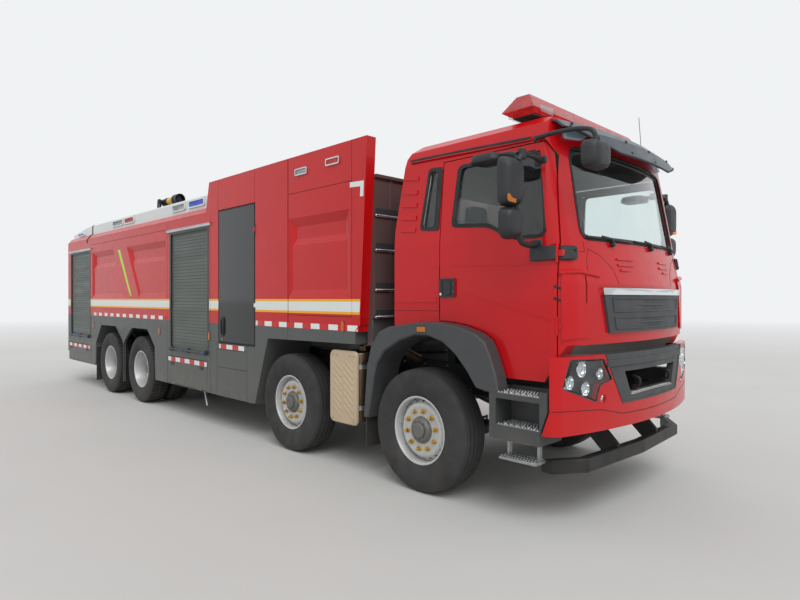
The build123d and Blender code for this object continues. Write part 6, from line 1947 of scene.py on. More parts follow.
def frame_mark(outline: tuple) -> Shape:
    """Flat mark of any outline on the left side, closed by one face that follows the plane."""
    corner = SIDE.base(np.asarray(outline, float))
    rows = np.stack((corner - (0.001, 0.0, 0.0), corner + (0.001, 0.0, 0.0)))
    return grid(rows, ring=True, capped=True)


@dataclass
class Lockers:
    """Shutter guides, drip strips and latch bars of the side lockers and of the rear bay."""

    sides: tuple = ((3.806, 5.017, 0.920, 2.640), (8.619, 9.849, 0.920, 2.600))  # y, y, z, z
    rear: tuple = (-0.700, 0.700, 1.400, 2.600)  # x, x, z, z
    rear_y: float = 10.035
    guide: float = 0.034
    drips: tuple = ((0.022, 0.036, 0.022), (0.038, 0.008, 0.030))  # above the shutter, width, height
    past: float = 0.075  # a drip strip reaches past the shutter by this

    def guides(self, skin: Skin, low: tuple, high: tuple) -> Shape:
        """Rails on both edges of a shutter and its head, as a frame with an open foot."""
        (u0, v0), (u1, v1) = low, high
        g = self.guide
        outer = rectangle((u0 - 0.012, v0), (u1 + 0.012, v1 + 0.014))
        return frame_plate(skin, outer, rectangle((u0 + g, v0 + 0.030), (u1 - g, v1 - 0.028)), 0.003)

    def latches(self, skin: Skin, u0: float, u1: float, v: float) -> tuple[Shape, Shape]:
        """Round lift bar along a shutter's foot with three latches, and the latches' blue knobs."""
        blocks, knobs = [laid(skin, np.array(((u0, v), (u1, v))), circle(0.012, 12), 0.034)], []
        for u in (u0 + 0.05, (u0 + u1) / 2, u1 - 0.05):
            blocks.append(slab(skin, (u - 0.040, v - 0.032), (u + 0.040, v + 0.032), 0.030, 0.008, 0.015))
            knobs.append(slab(skin, (u - 0.022, v - 0.020), (u + 0.022, v + 0.020), 0.048, 0.009, 0.014))
        return joined(*blocks), joined(*knobs)

    def build(self) -> None:
        """Makes the trim of every shutter."""
        x0, x1, z0, z1 = self.rear
        skin = Facing(self.rear_y)
        back = (self.guides(skin, (x0, z0), (x1, z1)), *self.latches(skin, x0 + 0.04, x1 - 0.04, z0 + 0.05))
        rear = [shape.spun(Z, 180.0, (0.0, self.rear_y, 0.0)) for shape in back]
        sides, strips = [], []
        for y0, y1, z0, z1 in self.sides:
            sides.append((self.guides(SIDE, (y0, z0), (y1, z1)),
                          *self.latches(SIDE, y0 + 0.03, y1 - 0.03, z0 + 0.034)))
            for above, width, height in self.drips:
                line = ((y0 - self.past, z1 + above), (y1 + self.past, z1 + above))
                strips.append(band(SIDE, line, width, height))
        names = (("shutter_guides", Coats.shutter_frame), ("latch_bars", Coats.shutter_frame),
                 ("latch_knobs", Coats.latch))
        for (name, finish), shapes, turned in zip(names, zip(*sides), rear):
            make(name, joined(joined(*shapes).both(), turned), finish)
        make("drip_strips", joined(*strips).both(), Coats.aluminium)


@dataclass
class BayDoors:
    """Pull handle, lock and rubber edge of the two tinted doors."""

    low: Pair = (2.643, 1.120)  # y, z
    high: Pair = (3.533, 2.810)
    handle: tuple = (3.392, 3.446, 1.205, 1.445)  # y, y, z, z
    lock: tuple = ((0.004, 0.011), (0.010, 0.011), (0.011, 0.009), (0.011, 0.0))

    def build(self) -> None:
        """Makes the fittings of both doors."""
        low, high = np.array(self.low), np.array(self.high)
        inner = rectangle(low + 0.014, high - 0.014)
        edge = frame_plate(SIDE, rectangle(low + 0.002, high - 0.002), inner, 0.0015)
        y0, y1, z0, z1 = self.handle
        y = (y0 + y1) / 2
        base = slab(SIDE, (y0 - 0.012, z0 - 0.014), (y1 + 0.004, z1 + 0.014), 0.006, 0.004, 0.020)
        grip = pipe(((1.256, y, z0 + 0.012), (1.276, y, z0 + 0.034), (1.279, y, (z0 + z1) / 2),
                     (1.276, y, z1 - 0.034), (1.256, y, z1 - 0.012)), 0.0095, 7, REARWARDS)
        cover = box(1.2495, 1.2715, y0 - 0.001, y0 + 0.051, z0 + 0.004, z1 - 0.004, 0.008)
        lock = lathe(self.lock, (SIDE.half, y, z0 - 0.045), X, 20)
        make_pair("bay_edge", edge, Coats.seal, "bay")
        make_pair("bay_handle", joined(base, grip, cover), Coats.black, "bay")
        make_pair("bay_lock", lock, Coats.aluminium, "bay")


@dataclass
class FrontWall:
    """Dark wall at the body's front: the shade in its steps painted as dark strips, bright trims and the cap.
    """

    face: float = 0.655
    half: float = 1.132
    trims: Places = (2.475, 2.142, 1.759, 1.500)
    cap: Pair = (2.842, 2.8695)
    foot: Pair = (1.232, 1.478)
    rails: Places = (-0.92, 0.0, 0.92)
    rail_z: Pair = (1.51, 2.84)

    def across(self, out: float, back: float, low: float, high: float) -> tuple:
        """Box across the wall, from in front of its face to behind it."""
        return -self.half, self.half, self.face - out, self.face + back, low, high

    def build(self) -> None:
        """Makes the strips across the wall; the dark ones are painted shade in the steps."""
        # painted shade: a thin dark strip above each trim stands for the shadow in the step
        step_shade = boxes([self.across(0.004, 0.004, z + 0.014, z + 0.075) for z in self.trims], 0.002)
        bright = boxes([self.across(0.014, 0.004, z - 0.010, z + 0.012) for z in self.trims], 0.004)
        cap = box(*self.across(0.0195, 0.10, *self.cap), 0.004)
        foot = box(*self.across(-0.034, 0.042, *self.foot), 0.002)
        rails = boxes([(x - 0.018, x + 0.018, self.face - 0.002, self.face + 0.004, *self.rail_z)
                       for x in self.rails], 0.001)
        make("wall_step_shade", step_shade, Coats.shutter_frame)
        make("wall_trims", bright, Coats.aluminium)
        make("wall_cap", joined(cap, foot), Coats.skirt)
        make("wall_rails", rails, Coats.wall)


@dataclass
class Silencer:
    """Silencer can, its pipe and its ribbed beige shield, on the right."""

    y: Pair = (0.818, 1.241)
    z: Pair = (0.440, 1.165)
    x: Pair = (0.722, 1.178)  # of the can
    shield: Pair = (1.200, 1.222)
    ribs: int = 9
    pitch: float = 0.066
    reach: Pair = (0.150, 0.115)  # a rib's length along y and its rise
    can: tuple = ((0.0, 0.016), (0.88, 0.016), (0.97, 0.024), (1.0, 0.045))  # share of the plan, inset of z
    strap: float = 0.160  # from the can's end
    boss: tuple = ((0.0, 0.060), (0.045, 0.060), (0.052, 0.052))
    clamp: tuple = ((-0.010, 0.047), (-0.010, 0.052), (0.010, 0.052), (0.010, 0.047))
    elbow: tuple = ((0.93, 1.03, 1.130), (0.93, 1.00, 1.195), (0.90, 0.90, 1.215), (0.82, 0.78, 1.200),
                    (0.70, 0.70, 1.150), (0.52, 0.66, 1.060))
    bracket: tuple = (0.4255, 0.7250, 0.902, 1.148, 0.802, 0.998)

    def shape(self) -> tuple[Shape, Shape]:
        """The shield with its ribs, and its bolts, drawn on the left.

        Returns:
            Each rib is a rounded bar that rises rearwards at a constant slope; every second one is
            cut short, as the two columns of the pressing overlap.
        """
        (y0, y1), (z0, z1) = self.y, self.z
        skin = BodySide(self.shield[1] - 0.004)
        face = plate(BodySide(self.shield[0]), rectangle((y0, z0), (y1, z1)), 0.0195, 0.010, 0.06)
        along, rise = self.reach
        ribs = []
        for z in z0 + 0.070 + np.arange(self.ribs) * self.pitch:
            for start, share in ((y0 + 0.055, 1.0), (y0 + 0.235, 0.86)):
                high = min(z + rise * share, z1 - 0.10)
                end = start + along * share * (high - z) / (rise * share)
                if high - z > 0.03:
                    line = skin.base(np.array(((start, z), (end, high))))
                    ribs.append(sweep(line, strip(0.016, 0.0075, 0.0, 0.004), LEFTWARDS))
        spots = [(0, y, z1 - 0.045) for y in (y0 + 0.05, y0 + 0.11, y1 - 0.11, y1 - 0.05)]
        spots += [(0, y, z0 + 0.04) for y in (y0 + 0.05, y1 - 0.05)]
        heads = bolt(0.011, 0.006).moved(self.shield[1] - 0.003).copies(np.array(spots))
        return joined(face, *ribs), heads

    def build(self) -> None:
        """Makes the silencer."""
        (y0, y1), (z0, z1) = self.y, self.z
        face, heads = self.shape()
        plan = rounded(rectangle((self.x[0], y0 + 0.022), (self.x[1], y1 - 0.022)), 0.15, 9)
        middle = plan.mean(axis=0)
        rings = [(share, z0 + inset) for share, inset in self.can]
        rings += [(share, z1 - inset) for share, inset in self.can[::-1]]
        out = np.insert(plan - middle, 2, 0.0, axis=1)
        belt = np.insert(middle + (plan - middle) * 1.008, 2, 0.0, axis=1)
        strap = sweep(belt, strip(0.045, 0.004), out, True).along(Z, (z0 + self.strap, z1 - self.strap))
        boss = lathe(self.boss, (0.93, 1.03, z1 - 0.018), Z, 32)
        elbow = pipe(self.elbow, 0.044, 8, (0.3, 0.0, 1.0), 20)
        clamp = lathe(self.clamp, (0.93, 1.022, 1.158), Z, 28)
        pads = boxes(((1.176, 1.202, y0 + 0.06, y1 - 0.06, z0 + 0.08, z1 - 0.08), self.bracket), 0.006)
        make("silencer_can", joined(ringed(plan, Z, rings), boss, elbow).mirrored(), Coats.hot_metal,
             replaces=("exhaust_box",))
        make("silencer_straps", joined(strap, clamp).mirrored(), Coats.aluminium)
        make("silencer_bracket", pads.mirrored(), Coats.frame)
        make("shield", face.mirrored(), Coats.shield)
        make("shield_bolts", heads.mirrored(), Coats.zinc)


@dataclass
class SteelTank:
    """Straps, filler cap and weld lines of the fuel tank on the left."""

    y: Pair = (0.818, 1.241)
    z: Pair = (0.470, 1.150)
    x: Pair = (0.640, 1.215)
    straps: Pair = (0.76, 1.09)  # x
    cap: tuple = ((0.030, 0.047), (0.036, 0.050), (0.056, 0.050), (0.060, 0.044), (0.060, 0.0))
    cap_at: Pair = (1.120, 1.030)

    def hoops(self, places: Pair, share: float, profile: Array) -> Shape:
        """Bands round the tank.

        Args:
            places: x of each.
            share: their reach from the tank's middle, as a share of its outline's.
            profile: their section.
        Returns:
            The section carried round the tank's rounded outline at every place.
        """
        ring = rounded(rectangle((self.y[0], self.z[0]), (self.y[1], self.z[1])), 0.09, 9)
        out = ring - ring.mean(axis=0)
        path = np.insert(ring.mean(axis=0) + out * share, 0, 0.0, axis=1)
        return sweep(path, profile, np.insert(out, 0, 0.0, axis=1), True).along(X, places)

    def build(self) -> None:
        """Makes the tank's fittings."""
        x, y = self.cap_at
        top = self.z[1]
        grip = box(x - 0.032, x + 0.032, y - 0.006, y + 0.006, top + 0.058, top + 0.070)
        welds = (self.x[0] + 0.003, self.x[1] - 0.001)
        make("tank_straps", self.hoops(self.straps, 1.0, strip(0.050, 0.005)), Coats.aluminium)
        make("tank_rubber", self.hoops(self.straps, 1.0, strip(0.062, 0.002)), Coats.seal)
        make("tank_seams", self.hoops(welds, 0.985, circle(0.004, 8)), Coats.tank)
        make("tank_cap", joined(lathe(self.cap, (x, y, top), Z, 36), grip), Coats.black)


@dataclass
class Steps:
    """Treads, hanging step, flare lamps and edges of the cab's two entrances."""

    entry: Pair = (-1.276, -0.775)  # y
    well: float = 1.040
    treads: Pair = (0.966, 0.725)
    tread_rows: Places = (1.055, 1.105, 1.155, 1.226)  # x of the teeth
    drain: tuple = ((0.003, 0.016), (0.008, 0.014), (0.008, 0.011), (0.003, 0.010))
    hanger: Pair = (1.130, 1.165)
    low: float = 0.470
    low_rows: Places = (1.125, 1.175, 1.225)
    lamp: tuple = (1.2495, 1.2560, -0.111, -0.009, 1.395, 1.439)
    lamp_base: tuple = (1.2490, 1.2515, -0.117, -0.003, 1.389, 1.445)
    mudflap: tuple = (0.945, 1.236, 0.6605, 0.6735, 0.281, 0.598)
    grip: tuple = ((1.19, -0.772, 1.02), (1.215, -0.765, 1.05), (1.215, -0.765, 1.17), (1.19, -0.772, 1.20))

    def tread(self, z: float) -> Shape:
        """Serrated plate: a thin sheet with rows of upright teeth and the rims of round drain holes."""
        y0, y1 = self.entry[0] + 0.064, self.entry[1] - 0.064
        across = np.arange(y0 + 0.012, y1 - 0.012, 0.026)
        teeth = [(x, x + 0.016, y, y + 0.013, z + 0.003, z + 0.013) for x in self.tread_rows for y in across]
        holes = lathe(self.drain, (1.195, 0.0, z), Z, 14, True).along(Y, across[::2])
        return joined(box(self.well + 0.002, 1.246, y0, y1, z, z + 0.004, 0.001), boxes(teeth, 0.003), holes)

    def build(self) -> None:
        """Makes the steps of both sides."""
        y0, y1 = self.entry
        x0, x1 = self.hanger
        low = self.low
        legs = boxes([(x0 - 0.0012, x1 + 0.0012, y - 0.0112, y + 0.0112, low + 0.004, 0.614)
                      for y in (y0 + 0.120, y1 - 0.120)], 0.003)
        sheet = box(x0 - 0.0192, 1.2512, y0 + 0.0888, y1 - 0.0888, low - 0.0012, low + 0.0232, 0.004)
        teeth = boxes([(x, x + 0.018, y, y + 0.012, low + 0.022, low + 0.032)
                       for x in self.low_rows for y in np.arange(y0 + 0.10, y1 - 0.11, 0.024)], 0.003)
        make("step_treads", joined(*(self.tread(z) for z in self.treads)).both(), Coats.aluminium)
        make("hanging_step", joined(legs, sheet, teeth).both(), Coats.zinc)
        make("flare_lamp", box(*self.lamp).both(), Coats.amber_lens)
        make("flare_lamp_base", box(*self.lamp_base, 0.001).both(), Coats.black)
        make("front_mudflap", box(*self.mudflap).both(), Coats.flap)
        make("step_grip", pipe(self.grip, 0.010, 6, REARWARDS).both(), Coats.black)


@dataclass
class SkirtGear:
    """Rear mudflaps, divider edges, flap pulls and the drain pipe under the body."""

    flap_x: Pair = (0.700, 1.235)
    flap_y: Pair = (8.305, 8.315)
    flap_z: Pair = (0.150, 0.900)
    rail: tuple = (8.298, 8.305, 0.842, 0.868)  # y, y, z, z
    screws: Places = (0.76, 0.90, 1.04, 1.18)  # x
    middle: float = 6.900  # y between axles 3 and 4
    divider: tuple = ((0.375, 1.190), (0.055, 0.962), (0.018, 0.905), (0.018, 0.274))  # from its middle, z
    drain_line: tuple = ((1.15, 4.118, 0.470), (1.15, 4.112, 0.420), (1.155, 4.075, 0.330),
                         (1.16, 4.023, 0.222))
    flaps: tuple = (("mid", 3.855, 5.088, 0.735), ("rear", 8.655, 9.970, 0.690))  # y, y and z of the pulls

    def pull(self, y: float, z: float) -> Shape:
        """Dished plate of one pull with its bar."""
        cup = slab(SIDE, (y - 0.055, z - 0.022), (y + 0.055, z + 0.022), 0.004, 0.002, 0.012)
        return joined(cup, box(1.2535, 1.2595, y - 0.030, y + 0.030, z - 0.007, z + 0.007))

    def build(self) -> None:
        """Makes the pieces of both sides."""
        x0, x1 = self.flap_x
        flap = box(x0 - 0.001, x1 + 0.001, self.flap_y[0] - 0.0012, self.flap_y[1] + 0.0012, *self.flap_z)
        heads = bolt(0.009, 0.006).spun(Z, -90.0).moved(y=8.299, z=0.855).along(X, self.screws)
        y = self.middle
        edges = [[(y + sign * off, z) for off, z in self.divider] for sign in (-1, 1)]
        mesh = [((y - half, z), (y + half, z))
                for z, half in zip(np.arange(1.00, 1.18, 0.03), np.linspace(0.08, 0.32, 6))]
        make("rear_mudflaps", flap.both(), Coats.flap)
        wires = bands(BodySide(1.2462), mesh, 0.006, 0.002)
        lips = joined(bands(BodySide(1.246), edges, 0.010, 0.005), wires)
        make("mudflap_rails", joined(box(x0, x1, *self.rail, 0.002), heads).both(), Coats.zinc)
        make("divider_lips", lips.both(), Coats.frame)
        make("drain_pipe", pipe(self.drain_line, 0.013, 6, LEFTWARDS).both(), Coats.zinc)
        for name, y0, y1, z in self.flaps:
            pulls = joined(*(self.pull(y, z) for y in (y0 + 0.16, y1 - 0.16)))
            make_pair(f"flap_pulls_{name}", pulls, Coats.black, f"flap_{name}")


@dataclass
class RoofGear:
    """Warning lamps of the coaming, its strap, the decks' tread sheets, hatch fittings and lashing eyes."""

    lamps: tuple = ((4.100, 4.600, "blue"), (4.700, 5.150, "clear"), (6.650, 7.100, "red"),
                    (7.150, 7.680, "clear"), (9.250, 9.640, "blue"))  # y, y, colour
    low: Pair = (2.960, 3.080)
    rear_low: Pair = (2.930, 3.005)
    rear_from: float = 9.0
    outer: float = 1.150
    well: float = 0.0118  # depth of the recess that the front lamps lie in
    rise: float = 0.030  # height of a lamp's frame
    cup: tuple = ((0.004, 0.008), (0.014, 0.026), (0.016, 0.026), (0.006, 0.006))
    strap_y: float = 8.800
    strap: tuple = ((0.945, 3.112), (1.120, 3.112), (1.1515, 3.085), (1.1515, 2.932), (1.184, 2.913),
                    (1.2515, 2.823), (1.2515, 2.750))  # x, z
    sheet: float = 0.003
    module_deck: tuple = (-1.128, 1.128, 0.790, 3.690)  # x, x, y, y
    deck_half: float = 0.935
    decks: tuple = ((3.92, 4.335), (4.465, 6.135), (6.265, 7.135), (7.265, 9.235), (9.365, 9.965))  # y, y
    lid: tuple = (-0.318, 0.318, 4.932, 5.668)  # x, x, y, y
    lid_up: float = 0.0903  # top of the hatch above the deck
    grip: tuple = ((-0.09, 0.0), (-0.085, 0.03), (0.085, 0.03), (0.09, 0.0))  # x and height
    hinge: tuple = ((-0.05, 0.0), (-0.05, 0.012), (0.05, 0.012), (0.05, 0.0))
    lashing: Places = (1.1, 1.9, 2.7, 3.4)  # y of the eyes on the parapet
    eye: tuple = ((1.118, -0.035, 2.874), (1.113, -0.032, 2.905), (1.113, 0.032, 2.905),
                  (1.118, 0.035, 2.874))

    def build(self) -> None:
        """Makes the pieces of the roof."""
        self.add_lamps()
        self.add_strap()
        self.add_decks()

    def add_lamps(self) -> None:
        """Lamps in frames along the coaming, those of the rear on its face and the others recessed."""
        finishes = {"blue": Coats.blue_lens, "clear": Coats.clear_lens, "red": Coats.red_lens}
        frames, backs = [], []
        for place, (y0, y1, colour) in enumerate(self.lamps):
            recessed = y0 < self.rear_from
            low, high = self.low if recessed else self.rear_low
            skin = BodySide(self.outer - (self.well if recessed else -0.0005))
            outer = rectangle((y0 + 0.003, low + 0.003), (y1 - 0.003, high - 0.003))
            centre = outer.mean(axis=0)
            inner = centre + (outer - centre) * (1 - 0.022 / np.array(((y1 - y0) / 2, (high - low) / 2)))
            frames.append(frame_plate(skin, outer, inner, self.rise, 0.035))
            cup = lathe(self.cup, (skin.half, 0, centre[1]), X, 16, True)
            cups = cup.along(Y, np.linspace(inner[0, 0] + 0.04, inner[1, 0] - 0.04, 5))
            backs += [slab(skin, inner[0], inner[2], 0.002, 0.001), cups]
            lens = plate(skin, inner, self.rise - 0.006, 0.008, 0.025, 0.003)
            make(f"coaming_lens.{place}", lens.both(), finishes[colour])
        make("coaming_pods", joined(*frames).both(), Coats.white)
        make("coaming_reflectors", joined(*backs).both(), Coats.chrome)

    def add_strap(self) -> None:
        """Black strap that comes over the coaming and down the cant on each side."""
        path = dense(self.strap, 0.04)
        ahead = np.gradient(path, axis=0)
        ahead /= np.linalg.norm(ahead, axis=1, keepdims=True)
        line = np.insert(path, 1, self.strap_y, axis=1)
        out = np.stack((-ahead[:, 1], 0 * ahead[:, 0], ahead[:, 0]), axis=1)
        make("coaming_strap", sweep(line, strip(0.045, 0.004), out).both(), Coats.seal)

    def add_decks(self) -> None:
        """Tread sheets on both decks, the hatch's handle and hinges, lashing eyes and rivets."""
        top, hatch = MODULE_DECK_TOP + self.sheet, DECK_TOP + self.lid_up
        rows = [(-self.deck_half, self.deck_half, *ends, DECK_TOP, DECK_TOP + self.sheet)
                for ends in self.decks]
        sheets = boxes([(*self.module_deck, MODULE_DECK_TOP, top), *rows], 0.001)
        lid = box(*self.lid, hatch, hatch + self.sheet, 0.001)
        grip = pipe([(x, 5.60, hatch + up) for x, up in self.grip], 0.007, 6, REARWARDS)
        hinges = lathe(self.hinge, (0, 4.905, hatch - 0.012), X, 16).along(X, (-0.2, 0.2))
        eye = pipe(self.eye, 0.006, 5, LEFTWARDS).along(Y, self.lashing)
        rivets = bolt(0.006, 0.003, 10).spun(Y, -90.0).moved(z=top).copies(
            np.array([(x, y, 0) for x in (-1.10, 0.0, 1.10) for y in np.arange(0.85, 3.65, 0.2)]))
        make("deck_sheets", joined(sheets, lid), Coats.chequer)
        make("hatch_fittings", joined(grip, hinges, rivets), Coats.zinc)
        make("lashing_eyes", eye.both(), Coats.zinc)


@dataclass
class Monitor:
    """Foam monitor: riser, elbow and yoke that turn, and the barrel that tilts."""

    y: float = 8.150
    z: float = 3.600
    base: float = 2.9486
    foot: tuple = ((0.0, 0.0), (0.0, 0.155), (0.026, 0.155), (0.030, 0.150), (0.032, 0.100),
                   (0.06, 0.095))  # above the base, radius
    riser: tuple = ((3.10, 0.094), (3.105, 0.104), (3.14, 0.104), (3.145, 0.094), (3.28, 0.094),
                    (3.285, 0.108), (3.325, 0.108), (3.33, 0.094), (3.440, 0.094), (3.450, 0.0))  # z, radius
    gears: tuple = ((-0.16, -0.095, -0.065, 0.065, 3.13, 3.27), (0.095, 0.15, -0.05, 0.05, 3.15, 3.25))
    yoke: tuple = (-0.139, 0.139, -0.089, 0.089, 3.441, 3.489)
    cheek: tuple = ((-0.079, 3.480), (0.079, 3.480), (0.055, 3.659), (-0.055, 3.659))
    cheek_x: Pair = (0.111, 0.139)
    boss: tuple = ((0.137, 0.034), (0.146, 0.034), (0.150, 0.028), (0.150, 0.0))
    pivot: tuple = ((-0.1095, 0.0), (-0.1095, 0.049), (0.1095, 0.049), (0.1095, 0.0))
    barrel: tuple = ((-0.635, 0.0), (-0.635, 0.046), (-0.500, 0.074), (0.040, 0.074), (0.055, 0.060),
                     (0.055, 0.0))
    sleeve: tuple = ((-0.470, 0.0752), (-0.468, 0.078), (-0.230, 0.078), (-0.228, 0.0752))
    rib: tuple = ((0.0, 0.0745), (0.003, 0.082), (0.013, 0.082), (0.016, 0.0745))
    ribs: Places = (-0.205, -0.165, -0.125)
    nozzle: tuple = ((-0.470, 0.075), (-0.476, 0.094), (-0.500, 0.0995), (-0.560, 0.0995), (-0.566, 0.095),
                     (-0.580, 0.095), (-0.586, 0.0995), (-0.680, 0.0995), (-0.690, 0.097), (-0.690, 0.087),
                     (-0.600, 0.080), (-0.580, 0.0))
    teeth: int = 24

    def build(self) -> None:
        """Makes the turret and the barrel in place of their plain solids."""
        middle, pivot = (0.0, self.y, 0.0), (0.0, self.y, self.z)
        foot = [(self.base + up, radius) for up, radius in self.foot]
        riser = lathe([*foot, *self.riser], middle, Z, 56)
        heads = bolt(0.010, 0.008).spun(Y, -90.0).moved(0.128, self.y, self.base + 0.026)
        heads = heads.spun(Z, np.arange(8) * 45.0, middle)
        gears, yoke = boxes(self.gears, 0.012).moved(y=self.y), box(*self.yoke, 0.010).moved(y=self.y)
        cheek = prism(rounded(self.cheek, 0.045, 7), X, *self.cheek_x).moved(y=self.y)
        ribs = lathe(self.rib, pivot, Y, 48).along(Y, self.ribs)
        tooth = box(-0.004, 0.004, self.y - 0.689, self.y - 0.660, self.z + 0.080, self.z + 0.0985, 0.001)
        teeth = tooth.spun(Y, np.arange(self.teeth) * 360.0 / self.teeth, pivot)
        barrel = joined(lathe(self.barrel, pivot, Y, 48), ribs, lathe(self.pivot, pivot, X, 36),
                        lathe(self.nozzle, pivot, Y, 64), teeth)
        make("monitor_base", joined(riser, heads, gears, yoke), Coats.monitor, "turret",
             replaces=("monitor_turret",))
        make("monitor_cheeks", joined(cheek, lathe(self.boss, pivot, X, 28)).both(), Coats.monitor, "turret")
        make("monitor_tube", barrel, Coats.monitor, "barrel", replaces=("monitor_barrel",))
        make("monitor_sleeve", lathe(self.sleeve, pivot, Y, 48), Coats.yellow, "barrel")


@dataclass
class CabRoom:
    """What shows through the glass: seats with belts, dashboard fittings and steering wheel."""

    seats: Pair = (-0.600, 0.600)
    seat_y: float = -0.420
    pads: tuple = (
        ("cushion", (-0.240, -0.256, 1.598), (0.240, 0.190, 1.712), 0.38, 0.0, 0.85),
        ("back", (-0.232, 0.125, 1.716), (0.232, 0.235, 2.350), 0.40, 0.088, 0.85),
        ("head", (-0.128, 0.225, 2.362), (0.128, 0.315, 2.518), 0.44, 0.0, 0.9),
    )  # low and high corner from the seat, the power of its curve, lean and fill
    welt_at: Pair = (-0.033, 1.668)
    welt_half: Pair = (0.236, 0.214)
    posts: tuple = ((-0.168, 0.168, -0.178, 0.198, 1.42, 1.60), (-0.020, -0.008, 0.27, 0.28, 2.33, 2.38),
                    (0.008, 0.020, 0.27, 0.28, 2.33, 2.38))
    belt: tuple = ((0.215, 0.225, 2.20), (0.10, 0.150, 2.10), (-0.12, 0.105, 1.86), (-0.235, 0.10, 1.72))
    dash: tuple = ((-1.340, 1.722), (-1.132, 1.645), (-1.094, 1.975), (-1.180, 2.062),
                   (-1.325, 2.035))  # y, z
    dash_half: float = 0.985
    leg: tuple = (-0.058, 0.058, -1.295, -1.185, 1.32, 1.70)
    cowl: tuple = ((0.42, -1.150, 1.90), (0.78, -1.010, 2.045))
    vents: Places = (-0.75, -0.15, 0.15)  # x
    screens: tuple = ((0.10, 0.34, -1.112, -1.096, 1.79, 1.82), (-0.22, 0.02, -1.104, -1.094, 1.72, 1.80))
    wheel_at: Triple = (0.600, -0.900, 2.050)
    wheel_tilt: float = -28.0
    wheel_rim: Pair = (0.215, 0.016)  # radius of the ring and of its section
    spokes: tuple = ((-0.205, 0.205, -0.020, 0.020, -0.010, 0.006),
                     (-0.018, 0.018, -0.205, 0.0, -0.010, 0.006))
    boss: tuple = ((-0.018, 0.0), (-0.018, 0.060), (0.010, 0.072), (0.020, 0.060), (0.026, 0.0))
    column: tuple = ((-0.250, 0.0), (-0.250, 0.030), (-0.015, 0.030), (-0.015, 0.0))

    def pad(self, low: tuple, high: tuple, dome: float, lean: float = 0.0) -> Shape:
        """Padded block: a box with pillowed sides.

        Args:
            low: least x, y and z.
            high: greatest x, y and z.
            dome: how far its edges draw in.
            lean: how far its top stands rearwards of its foot.
        Returns:
            A ball's points pushed out to the box by a power curve, so that edges stay soft.
        """
        low, high = np.array(low), np.array(high)
        u, v = np.linspace(-math.pi / 2, math.pi / 2, 15), np.linspace(0, 2 * math.pi, 28, endpoint=False)
        ball = np.stack((np.cos(u)[:, None] * np.cos(v), np.cos(u)[:, None] * np.sin(v),
                         np.broadcast_to(np.sin(u)[:, None], (15, 28))), axis=-1)
        soft = np.sign(ball) * np.abs(ball) ** dome
        points = (low + high) / 2 + soft * (high - low) / 2
        points[..., 1] += (points[..., 2] - low[2]) / (high[2] - low[2]) * lean
        return grid(points, ring=True)

    def welt(self, dome: float) -> Array:
        """Level line round a seat's cushion at a height, by the same power curve as the cushion."""
        ball = circle(1.0, 48)
        flat = np.sign(ball) * np.abs(ball) ** dome * self.welt_half
        return np.insert(flat, 2, 0.0, axis=1) + (0.0, *self.welt_at)

    def build(self) -> None:
        """Makes the cab's inside in place of its plain solids."""
        for place, x in enumerate(self.seats):
            at = (x, self.seat_y, 0.0)
            for part, low, high, dome, lean, fill in self.pads:
                pad = self.pad(low, high, dome, lean).moved(*at)
                make(f"seat_{part}.{place}", pad, Coats.cloth)
            welt = sweep(self.welt(self.pads[0][3]), circle(0.004, 8), UP, True)
            belt = sweep(smooth_path(self.belt, 6), strip(0.046, 0.0015, 0.0005), (0.0, -1.0, 0.2))
            make(f"seat_welts.{place}", welt.moved(*at), Coats.seal)
            make(f"seat_base.{place}", boxes(self.posts, 0.008).moved(*at), Coats.inside)
            make(f"seat_belt.{place}", belt.moved(*at), Coats.seal)
        self.add_dash()
        self.add_wheel()

    def add_dash(self) -> None:
        """Dashboard with its cowl, vents and screens."""
        dash = prism(rounded(self.dash, 0.06, 6), X, -self.dash_half, self.dash_half)
        vents = boxes([(x - 0.07, x + 0.07, -1.108, -1.100, z, z + 0.006) for x in self.vents
                       for z in np.arange(1.84, 1.92, 0.014)], 0.001)
        make("dashboard", joined(dash, box(*self.leg, 0.01), self.pad(*self.cowl, 0.45)), Coats.inside,
             replaces=("cab_interior",))
        make("dash_vents", joined(vents, boxes(self.screens, 0.004)), Coats.black)

    def add_wheel(self) -> None:
        """Steering wheel on its column, drawn level and then tilted."""
        radius, section = self.wheel_rim
        rim = lathe(circle(section, 12)[:, ::-1] + (0.0, radius), ORIGIN, Z, 64, True)
        wheel = joined(rim, boxes(self.spokes, 0.005), lathe(self.boss, ORIGIN, Z, 36),
                       lathe(self.column, ORIGIN, Z, 24))
        make("steering_wheel", wheel.spun(X, self.wheel_tilt).moved(*self.wheel_at), Coats.black)


